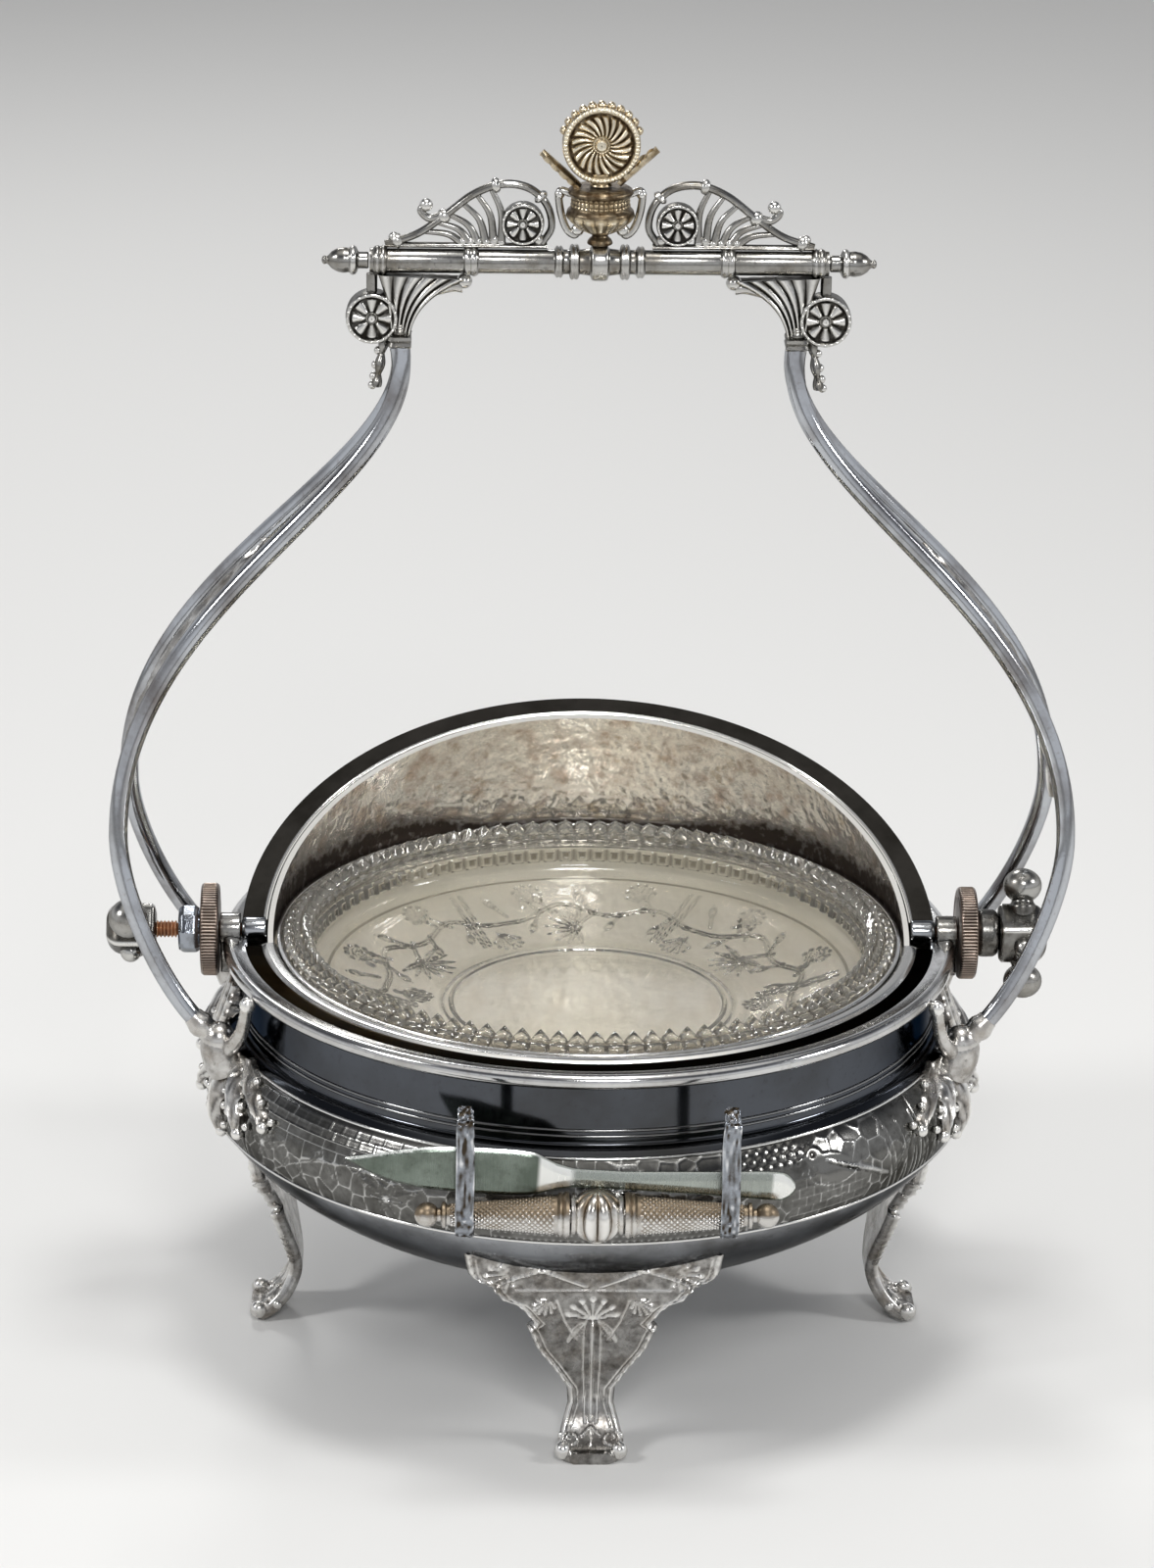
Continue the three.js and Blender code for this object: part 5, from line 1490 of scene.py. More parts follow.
            # Painted shade along each petal's cut.
            sheet.stroke(
                [middle, middle + ray * 5.0, middle + ray * 10.5], [1.2, 3.0, 0.4], -self.carving, 0.7,
            )
            sheet.stroke([middle + ray * 1.5, middle + ray * 8.4], [0.6, 0.9], self.carving, 0.0)
        sheet.blob(middle, (2.2, 2.2), 0.0, self.carving * 1.4, 0.1, 0.5)


# Lid and its spindles


def turn_x(degrees: float) -> Array:
    """Returns the rotation about X as a 3 by 3 array."""
    c, s = math.cos(math.radians(degrees)), math.sin(math.radians(degrees))
    return np.array([[1.0, 0.0, 0.0], [0.0, c, -s], [0.0, s, c]])


@dataclass
class Lid(Assembly):
    """The domed lid, rolled back under the dish, with its flat flange and two lugs."""

    open_angle: float = 157.0
    shell_inner: float = 94.2
    wall: float = 1.6
    flange_width: float = 7.5
    flange_thickness: float = 1.3
    lug_radius: float = 3.75

    def build(self) -> None:
        """Builds the dome, the flange and the lugs."""
        self._dome()
        self._flange()
        for side in Side:
            self._lug(side)

    def _place(self, forge: Forge) -> None:
        """Rolls the patches open and lifts them to the pivot."""
        forge.move(turn_x(-self.open_angle), self.plan.pivot_point)

    def _dome(self) -> None:
        """Builds the hollow half ball."""
        inner, outer = self.shell_inner, self.shell_inner + self.wall
        polar = np.linspace(0.006, math.pi / 2, 110)
        forge = Forge()
        hollow = np.stack([inner * np.sin(polar), inner * np.cos(polar)], -1)
        skin = np.stack([outer * np.sin(polar), outer * np.cos(polar)], -1)[::-1]
        lip = [(inner + 0.1, 0.0), (inner + 0.5, -0.0), (outer - 0.4, 0.0)]

        def sheet(line: Array) -> Array:
            """Turns a line about Z."""
            return around_z(line[:, :1], circle(320), line[:, 1:2])

        inside = sheet(hollow)
        # Painted dark band: shade and dark reflection on the inside just above the glass rim, thin in the
        # middle and wide to the sides. Below the dish the inside takes the bright polish colour, a painted
        # pool of light.
        level = (inside.reshape(-1, 3) @ turn_x(-self.open_angle).T)[:, 2].reshape(inside.shape[:2])
        aside = smoothstep((np.abs(inside[..., 0]) - 24.0) / 36.0)
        painted_shade_band = 0.95 * smoothstep((2.2 + 10.0 * aside - level) / (2.4 + 7.0 * aside))
        tone = np.where(level < -5.0, -smoothstep((-5.0 - level) / 5.0), painted_shade_band)
        forge.grid(inside, tone, wrap_columns=True, away_from=(0, 0, 4000.0))
        forge.grid(sheet(skin), wrap_columns=True, away_from=(0, 0, 0.0), slot=1)
        edge = sheet(np.array([hollow[-1], *lip, skin[0]]))
        forge.grid(edge, -0.8, wrap_columns=True, away_from=(0, 0, 400.0), slot=1)
        self._place(forge)
        self.close(
            forge, "lid_dome_shell", [self.wear.inside, self.wear.silver], "silver", ["lid_dome"], "lid",
        )

    def _flange(self) -> None:
        """Builds the flat half ring with a bright inner edge."""
        inner = self.shell_inner + self.wall + 0.3
        outer = inner + self.flange_width
        top = self.flange_thickness
        section = rounded([
            (inner, top), (outer, top), (outer, 0.0), (outer - 0.6, 0.0), (inner + 1.9, 0.0),
            (inner + 1.2, 0.0), (inner + 0.9, 0.3), (inner + 0.6, 0.0), (inner, 0.0), (inner, top),
        ], 0.2)[:-1]
        shade = np.where(section[:, 0] < inner + 1.28, -1.0, 0.1)
        lean = math.asin((self.lug_radius + 0.4) / inner)
        angle = np.linspace(math.pi + lean, 2 * math.pi - lean, 240)
        points = around_z(section[:, 0], angle[:, None], section[:, 1])
        forge = Forge()
        forge.grid(points, shade, wrap_columns=True, cap=True)
        self._place(forge)
        self.close(forge, "lid_flange_band", self.wear.flange, "dark_silver", ["lid_flange"], "lid")

    def _lug(self, side: Side) -> None:
        """Builds the lug that joins the rim of the lid to its axle."""
        start = self.shell_inner + self.wall + 0.5
        end = self.plan.neck_radius
        r = self.lug_radius
        profile = rounded([(0.1, start), (r, start), (r, end - 1.2), (r - 0.8, end), (0.1, end)], 0.6)
        forge = Forge()
        forge.turned(profile * np.array([1.0, side.value]), self.plan.pivot_point, Axis.X, 40)
        name = f"lid_lug_{side.word}"
        self.close(forge, f"{name}_end", self.wear.belly, "dark_silver", [name], "lid")


@dataclass
class Spindle(Assembly):
    """One spindle: bearing with its prop, threaded axle, knurled nut, collar and ball-ended knob."""

    side: Side = Side.LEFT
    bearing_radius: float = 5.0
    bearing_start: float = 103.9
    bearing_length: float = 6.1
    bearing_drop: float = 12.0
    nut_start: float = 110.3
    nut_radius: float = 13.8
    nut_width: float = 5.2
    nut_teeth: int = 84
    collar_start: float = 115.8
    collar_width: float = 6.5
    collar_radius: float = 7.1
    knob_start: float = 122.6
    knob_length: float = 14.6
    knob_side: float = 13.3
    knob_round: float = 4.5
    bar_reach: float = 14.2
    ball_radius: float = 5.8
    stud_radius: float = 3.1
    turn: float = 56.0
    bar_turn: float = 0.0
    bared: float = 6.6
    axle_start: float = 99.1
    axle_radius: float = 2.05
    bared_radius: float = 2.3
    thread_pitch: float = 1.1
    thread_depth: float = 0.26

    def build(self) -> None:
        """Builds the pieces from the bowl outwards."""
        self._bearing()
        self._prop()
        self._axle()
        self._nut()
        self._collar()
        self._knob()

    def _turned(self, forge: Forge, profile: Array, segments: int, **options: object) -> None:
        """Adds a turned body to this side, from radii and distances along the lid's axis."""
        mirrored = profile * np.array([1.0, self.side.value])
        forge.turned(mirrored, self.plan.pivot_point, Axis.X, segments, **options)

    def _name(self, word: str) -> str:
        """Returns the CAD name of a piece on this side."""
        return f"{word}_{self.side.word}"

    def _bearing(self) -> None:
        """Builds the bearing eye on its upright lug."""
        near, far = self.bearing_start, self.bearing_start + self.bearing_length
        r = self.bearing_radius
        forge = Forge()
        ring = rounded([(2.4, near), (r, near), (r, far), (2.4, far), (2.4, near)], 0.5)[:-1]
        self._turned(forge, ring, 48, closed=True)
        half = r - 1
        outline = rounded(
            [(near + 0.2, -half), (far - 0.2, -half), (far - 0.2, half), (near + 0.2, half)], 0.6,
        )
        levels = np.linspace(-self.bearing_drop, -2.4, 14)
        swell = 1 + 0.12 * np.cos((levels + self.bearing_drop) * 0.9)
        way, pivot = self.side.value, self.plan.pivot
        sheet = [[(way * x, y * s, z + pivot) for x, y in outline] for z, s in zip(levels, swell)]
        forge.grid(sheet, 0.15, wrap_columns=True, cap=True)
        self.close(forge, self._name("bearing_eye"), self.wear.crown, "dark_silver", [self._name("bearing")])

    def _prop(self) -> None:
        """Builds the ribbed leaf that props the bearing from the shoulder."""
        plan, forge = self.plan, Forge()
        top = plan.pivot - self.bearing_drop - 0.3
        foot = plan.shoulder_height - 5
        way, inner = self.side.value, plan.neck_radius + 0.45
        across = np.linspace(-1.0, 1.0, 25)
        rib = np.abs(np.cos(across * math.pi * 2.5)) * 0.9
        front, back, tone = [], [], []
        for t in np.linspace(0.0, 1.0, 28):
            half = (2.4 + 7.2 * math.sin(t * math.pi * 0.55)) * (1 - 0.16 * abs(math.sin(t * math.pi * 4)))
            outer = plan.neck_radius + 3.0 + 6.0 * t
            face = outer - 2.6 * across**2 + rib * 0.8 - 0.6
            level = top + (foot - top) * t
            front.append([(way * x, half * a, level) for a, x in zip(across, face)])
            back.append([(way * inner, half * a, level) for a in across])
            tone.append(0.7 - 1.5 * rib)
        forge.slab(front, back, tone)
        self.close(
            forge, self._name("bearing_leaf"), self.wear.cast, "dark_silver", [self._name("bearing_prop")],
        )

    def _axle(self) -> None:
        """Builds the screwed spindle."""
        start, end = self.axle_start, self.knob_start + self.bared + 3.7
        stations = np.linspace(start, end, 560)
        open_part = (stations > self.knob_start + 0.3) & (stations < self.knob_start + self.bared - 0.3)
        thread = np.cos(2 * math.pi * stations / self.thread_pitch)
        radius = np.where(open_part, self.bared_radius, self.axle_radius) + self.thread_depth * thread
        profile = np.vstack([[0.05, start], np.stack([radius, stations], -1), [0.05, end]])
        tone = np.concatenate([[0.0], -0.5 * thread, [0.0]])
        forge = Forge()
        self._turned(forge, profile, 32, tone=tone)
        self.close(forge, self._name("axle_thread"), self.wear.copper, "copper", [self._name("axle")], "lid")

    def _nut(self) -> None:
        """Builds the friction nut with fine knurling between two plain edges."""
        start, end = self.nut_start, self.nut_start + self.nut_width
        r = self.nut_radius
        profile = rounded([
            (2.4, start), (r - 3.2, start), (r - 2.8, start + 0.4), (r - 2.0, start), (r - 0.5, start),
            (r, start + 0.7), (r, end - 0.7), (r - 0.5, end), (r - 2.0, end), (r - 2.8, end - 0.4),
            (r - 3.2, end), (2.4, end), (2.4, start),
        ], 0.3)[:-1]
        line = []
        for a, b in zip(profile, np.roll(profile, -1, 0)):
            line.append(a)
            if abs(a[1] - b[1]) > 3:
                line.extend(a + (b - a) * t for t in np.linspace(0.1, 0.9, 7))
        line = np.array(line)

        def knurl(angle: Array, station: Array) -> Array:
            """Cuts the teeth into the outer face."""
            inside = np.abs(np.abs(station) - (start + end) / 2) < self.nut_width / 2 - 0.75
            teeth = -0.34 * (0.5 + 0.5 * np.cos(angle * self.nut_teeth))
            return np.where(inside & (radii > r - 0.2), teeth, 0.0)

        radii, columns = line[:, :1], self.nut_teeth * 8
        tone = np.where(radii > r - 0.2, 0.7 * np.cos(circle(columns) * self.nut_teeth), 0.15)
        forge = Forge()
        self._turned(forge, line, columns, tone=tone, closed=True, ripple=knurl)
        self.close(
            forge, self._name("nut_knurled"), self.wear.nut, "nut_brown", [self._name("friction_nut")],
            f"nut_{self.side.word}",
        )

    def _collar(self) -> None:
        """Builds the collar: a plain barrel, or with flats on the side of the screwed-out knob."""
        s, r, w = self.collar_start, self.collar_radius, self.collar_width
        line = [
            (2.4, s), (r - 0.9, s), (r, s + 1.3), (r, s + w - 1.3), (r - 0.9, s + w), (2.4, s + w), (2.4, s),
        ]
        profile = spaced(rounded(line, 0.6), 70)[:-1]

        def facet(angle: Array, station: Array) -> Array:
            """Cuts flats into the collar of the screwed-out knob."""
            near = np.abs((angle + 0.2) % (math.pi / 4) - math.pi / 8)
            depth = r * (math.cos(math.pi / 8) / np.cos(near) - 1) if self.bared else 0.0 * near
            return np.where(profile[:, :1] > r - 0.8, depth, 0.0)

        forge = Forge()
        tone = 0.1 if self.bared else 0.55
        self._turned(forge, profile, 96, tone=tone, closed=True, ripple=facet)
        finish = self.wear.hook if self.bared else self.wear.crown
        self.close(forge, self._name("collar_turned"), finish, "silver", [self._name("collar")], "lid")

    def _knob(self) -> None:
        """Builds the block, its ball-ended bar and two studs."""
        half = self.knob_side / 2
        near, far = self.knob_start + self.bared, self.knob_start + self.bared + self.knob_length
        spin, pivot = turn_x(self.turn), self.plan.pivot_point
        x = self.side.value * (near + self.knob_length / 2)
        bend = self.knob_round
        stations = np.concatenate([
            [near, near + 0.3, near + 0.9], np.linspace(near + 1.6, far - bend, 8),
            far - bend + bend * np.sin(np.linspace(0.1, 1.0, 9) * math.pi / 2),
        ])
        turn, power = circle(96), 11.0
        outline = (np.abs(np.cos(turn)) ** power + np.abs(np.sin(turn)) ** power) ** (1 / power)
        rows = []
        for station in stations:
            size = half
            if station > far - bend:
                size = half - bend + bend * math.cos(math.asin(min(1.0, (station - far + bend) / bend)))
            if station < near + 1.0:
                size = half - 0.9 * (1 - (station - near)) ** 2
            scale = size / outline
            rows.append(np.roll(around_z(scale, turn, self.side.value * station), 1, -1))
        block = Forge()
        corner = np.abs(np.abs(np.cos(turn)) - np.abs(np.sin(turn))) < 0.12
        block.grid(rows, np.where(corner, -0.7, 0.45), wrap_columns=True, cap=True)
        block.move(spin, pivot)
        self.close(block, self._name("knob_block"), self.wear.crown, "silver", [self._name("knob")], "lid")
        bar = Forge()
        for end in (-1, 1):
            stem = [(0.05, 2.4), (4.0, 2.4), (4.1, half + 1.6), (3.2, half + 2.8), (3.4, 13.0), (0.05, 14.0)]
            stem = rounded(stem, 0.8)
            bar.turned(stem * np.array([1.0, end]), (x, 0, 0), Axis.Z, 32, tone=0.5)
            bar.ball((x, 0, end * self.bar_reach), (self.ball_radius, self.ball_radius, 5.2), 40, tone=-0.2)
        bar.move(turn_x(self.turn + self.bar_turn), pivot)
        self.close(
            bar, self._name("knob_bar_balls"), self.wear.crown, "silver", [self._name("knob_bar")], "lid",
        )
        for end in End:
            stud = Forge()
            stud.ball((x, end.value * (half + 0.4), 0), self.stud_radius, 28, tone=-0.4)
            stud.move(spin, pivot)
            name = f"knob_stud_{end.word}_{self.side.word}"
            self.close(stud, f"{name}_ball", self.wear.crown, "silver", [name], "lid")


# Bail handle


@dataclass
class Bail(Assembly):
    """The four-wire handle with its sockets on the shoulder and a leaf between each pair of wires."""

    wire_radius: float = 2.75
    socket_spread: float = 36.0
    socket_height: float = 105.5
    half_width: float = 138.0
    bail_height: float = 205.0
    foliage_top: float = 101.5

    @property
    def socket_x(self) -> float:
        """Distance of a wire's foot from the middle plane."""
        return math.sqrt((self.plan.belly_radius - 0.3) ** 2 - self.socket_spread**2)

    def _spread(self, level: Array) -> Array:
        """Returns how far a wire stands from the middle plane at heights."""
        share = (level - self.socket_height) / (self.plan.bracket_foot - self.socket_height)
        return self.socket_spread + (self.wire_radius + 0.3 - self.socket_spread) * share

    def curves(self) -> tuple[Array, Array]:
        """Returns distance out and height of a wire, below and above its widest place."""
        pull = self.bail_height * 0.193
        waist = self.plan.pivot + pull
        top = self.plan.bracket_foot - 0.3
        lower = bezier([
            (self.socket_x, self.socket_height), (self.socket_x + 12.1, self.socket_height + 5.3),
            (self.half_width, waist - 19.9), (self.half_width, waist),
        ], 40)
        upper = bezier([
            (self.half_width, waist), (self.half_width, waist + self.bail_height * 0.34),
            (self.plan.bracket_x - 7.8, top - pull), (self.plan.bracket_x, top),
        ], 90)
        return lower, upper

    def build(self) -> None:
        """Builds wires, sockets and leaves."""
        lower, upper = self.curves()
        flat = np.vstack([lower, upper[1:]])
        for side in Side:
            for end in End:
                spread = self._spread(flat[:, 1])
                path = np.stack([side.value * flat[:, 0], end.value * spread, flat[:, 1]], -1)
                forge = Forge()
                forge.tube(path, self.wire_radius, 28)
                name = f"bail_wire_{end.word}_{side.word}"
                self.close(forge, f"{name}_rod", self.wear.wire, "silver", [name])
                self._socket(side, end, path)
            self._leaf(side, upper)

    def _on_bowl(self, side: Side, end: End, radius: float, turn: float, level: float) -> Array:
        """Returns a point near the bowl, turned from the socket's own direction."""
        angle = math.atan2(self.socket_spread, self.socket_x) + turn
        return np.array([side.value * radius * math.cos(angle), end.value * radius * math.sin(angle), level])

    def _socket(self, side: Side, end: End, path: Array) -> None:
        """Builds the cast socket: bulb, prong to the rim and foliage on the shoulder."""
        plan, forge = self.plan, Forge()

        def place(radius: float, turn: float, level: float) -> Array:
            """Returns a point round the bowl from this socket."""
            return self._on_bowl(side, end, radius, turn, level)

        centre = place(plan.belly_radius - 0.3, 0.0, self.socket_height - 1)
        forge.tube(path[1:9], [4.3, 4.0, 3.5, 3.4, 3.9, 3.9, 3.3, 3.0], 20, tone=-0.2)
        forge.ball(centre, (5.2, 5.2, 5.6), 24)
        stem = bezier(
            [centre, place(plan.belly_radius + 0.6, 0, 102), place(plan.belly_radius - 3, 0, 96)], 10,
        )
        forge.tube(stem, np.linspace(5.0, 6.4, 11), 20, tone=0.2)
        prong = spline([
            place(plan.belly_radius - 2, 0.03, self.socket_height - 3),
            place(plan.bead_centre + 4.4, 0.09, self.socket_height + 4),
            place(plan.bead_centre + 3.8, 0.12, plan.rim_top - 5.6),
        ], 14)
        forge.tube(prong, np.linspace(2.6, 1.7, 15), 14, tone=-0.1)
        forge.ball(place(plan.bead_centre + 3.6, 0.12, plan.rim_top - 4.6), (2.3, 2.3, 2.5), 20, tone=-0.8)
        self._foliage(forge, side, end)
        name = f"bail_socket_{end.word}_{side.word}"
        self.close(forge, f"{name}_cast", self.wear.cast, "dark_silver", [name])

    def _foliage(self, forge: Forge, side: Side, end: End) -> None:
        """Adds scalloped leaves with ball-ended lobes, laid over the shoulder and the band."""
        plan = self.plan
        profile = Bowl(self.plan, self.wear).outside()
        levels = np.linspace(74.0, 100.0, 40)
        order = np.argsort(profile[-45:, 1])
        radii = np.interp(levels, profile[-45:, 1][order], profile[-45:, 0][order])
        for turn, low, width, bow in (
            (0.0, 75.0, 9.0, 0.0), (-0.115, 82.0, 7.0, -0.05), (0.115, 82.0, 7.0, 0.05),
            (-0.215, 89.0, 5.6, -0.07), (0.215, 89.0, 5.6, 0.07),
        ):
            share = np.linspace(0.0, 1.0, 34)
            level = self.foliage_top + (low - self.foliage_top) * share
            radius = np.interp(level, levels, radii) + 0.2
            front, back, tone = [], [], []
            across = np.linspace(-1.0, 1.0, 19)
            for t, z, r in zip(share, level, radius):
                half = width * (0.45 + 0.55 * math.sin(math.pi * min(1.0, 0.25 + 0.85 * t)))
                half *= 1 - 0.24 * abs(math.sin(t * math.pi * 4.5))
                half *= min(1.0, (1.02 - t) * 5)
                swing = turn * min(1.0, 0.25 + t) + bow * t * t
                rib = np.exp(-((across / 0.16) ** 2)) + 0.55 * np.abs(np.cos(across * math.pi * 1.5 + t * 9))
                lift = 0.4 + (2.3 - 1.5 * across**2) * (0.6 + 0.4 * math.sin(math.pi * t)) + 0.55 * rib
                turns = swing + half * across / r
                front.append([self._on_bowl(side, end, r + h, a, z) for a, h in zip(turns, lift)])
                back.append([self._on_bowl(side, end, r - 0.6, a, z) for a in turns])
                tone.append(0.8 - 1.3 * rib)
            forge.slab(front, back, tone)
            tip = self._on_bowl(side, end, float(radius[-1]) + 1.2, turn + bow, low + 0.6)
            forge.ball(tip, 1.9, 16, tone=-0.7)
            for k in (0.3, 0.55, 0.78):
                for way in (-1, 1):
                    z = self.foliage_top + (low - self.foliage_top) * k
                    r = float(np.interp(z, levels, radii))
                    lobe = turn * (0.25 + k) + bow * k * k + way * width * 0.86 / r
                    forge.ball(self._on_bowl(side, end, r + 1.0, lobe, z), 1.25, 12, tone=-0.6)
        forge.ball(
            self._on_bowl(side, end, plan.neck_radius + 6.4, 0.0, 101.6), (3.4, 3.4, 2.4), 18, tone=-0.3,
        )

    def _leaf(self, side: Side, upper: Array) -> None:
        """Builds the acanthus leaf between two wires of one side."""
        path = np.stack([side.value * upper[:, 0], np.zeros(len(upper)), upper[:, 1]], -1)
        rows = np.linspace(0.02, 0.5, 90)
        at = rows * (len(upper) - 1)
        middle = np.stack([np.interp(at, np.arange(len(path)), path[:, k]) for k in range(3)], -1)
        tangents, _, _ = frames_along(middle, (0.0, 1.0, 0.0))
        through = np.stack([-tangents[:, 2], np.zeros(len(middle)), tangents[:, 0]], -1) * side.value
        across = np.linspace(-1.0, 1.0, 41)
        front, back, tone = [], [], []
        spread = self._spread(middle[:, 2]) - self.wire_radius - 0.4
        for i, (point, out, room) in enumerate(zip(middle, through, spread)):
            share = i / (len(middle) - 1)
            lobes = 1 - 0.16 * abs(math.sin(share * math.pi * 5))
            half = room * min(1.0, 0.05 + share * 2) * lobes * math.sqrt(min(1.0, 0.02 + (1.0 - share) / 0.16))
            vein = np.abs(np.sin(np.abs(across) * 5.2 + share * 26))
            rib = np.exp(-((across / 0.07) ** 2))
            lift = 0.35 + 0.75 * (1 - np.abs(across)) + 0.7 * vein * (1 - np.abs(across) ** 3) + 0.9 * rib
            sink = 0.4 + 0.25 * (1 - np.abs(across)) + 0.6 * vein * (1 - np.abs(across) ** 3) + 0.7 * rib
            aside = across[:, None] * np.array([0, half, 0])
            front.append(point + out * lift[:, None] + aside)
            back.append(point - out * sink[:, None] + aside)
            tone.append(0.8 - 1.2 * vein - 0.8 * rib)
        forge = Forge()
        forge.slab(front, back, tone)
        for i in range(6, 58, 9):
            for way in (-1, 1):
                aside = way * spread[i] * min(1.0, 0.05 + i / 45) * 0.9
                forge.ball(middle[i] + through[i] * 0.9 + np.array([0, aside, 0]), 1.2, 12, tone=-0.5)
        name = f"bail_leaf_{side.word}"
        self.close(forge, f"{name}_acanthus", self.wear.cast, "dark_silver", [name])


# Crown


def rosette(
    forge: Forge, x: float, z: float, radius: float, thickness: float, petals: int, swirl: float = 0.0
) -> None:
    """Adds a round boss that faces front and back, with petals, a raised edge and a button.

    Args:
        forge: The patches of the piece.
        x: Its middle along X.
        z: Its middle height.
        radius: Its radius.
        thickness: Its thickness along Y.
        petals: Number of petals.
        swirl: How far the petals turn as they go out, in radians.
    """
    half = thickness / 2
    columns = petals * 12
    angle = circle(columns)
    share = np.linspace(0.02, 1.0, 40)
    for face in (-1, 1):
        ring = share[:, None] * radius
        bend = angle[None, :] + swirl * share[:, None] * face
        petal = np.abs(np.cos(bend * petals / 2))
        body = smoothstep((share - 0.2) / 0.1) * smoothstep((0.80 - share) / 0.06)
        tip = smoothstep((petal - (share[:, None] * 1.25 - 0.55)) / 0.25)
        height = half - 1.1 + 0.9 * body[:, None] * petal * tip
        height = height + (1.3 * smoothstep((0.2 - share) / 0.09))[:, None]
        edge = 1.2 * smoothstep((share - 0.82) / 0.05) * smoothstep((1.04 - share) / 0.08)
        height = height + edge[:, None]
        tone = 0.85 - 1.6 * body[:, None] * petal * tip
        tone = np.where(share[:, None] < 0.2, -0.8, tone)
        tone = np.where(share[:, None] > 0.83, -0.5, tone)
        points = np.stack([x + ring * np.cos(angle), face * height, z + ring * np.sin(angle)], -1)
        forge.grid(points, tone, wrap_columns=True, away_from=(x, -face * 400.0, z))
    wall = [(radius, -half + 0.9), (radius + 0.15, 0.0), (radius, half - 0.9)]
    sheet = [[(x + r * math.cos(a), y, z + r * math.sin(a)) for a in angle] for r, y in wall]
    forge.grid(sheet, 0.1, wrap_columns=True, away_from=(x, 0.0, z))
    for a in circle(petals * 3):
        for face in (-1, 1):
            edge = (x + radius * 0.93 * math.cos(a), face * (half - 0.1), z + radius * 0.93 * math.sin(a))
            forge.ball(edge, radius * 0.06, 8, tone=-0.7)


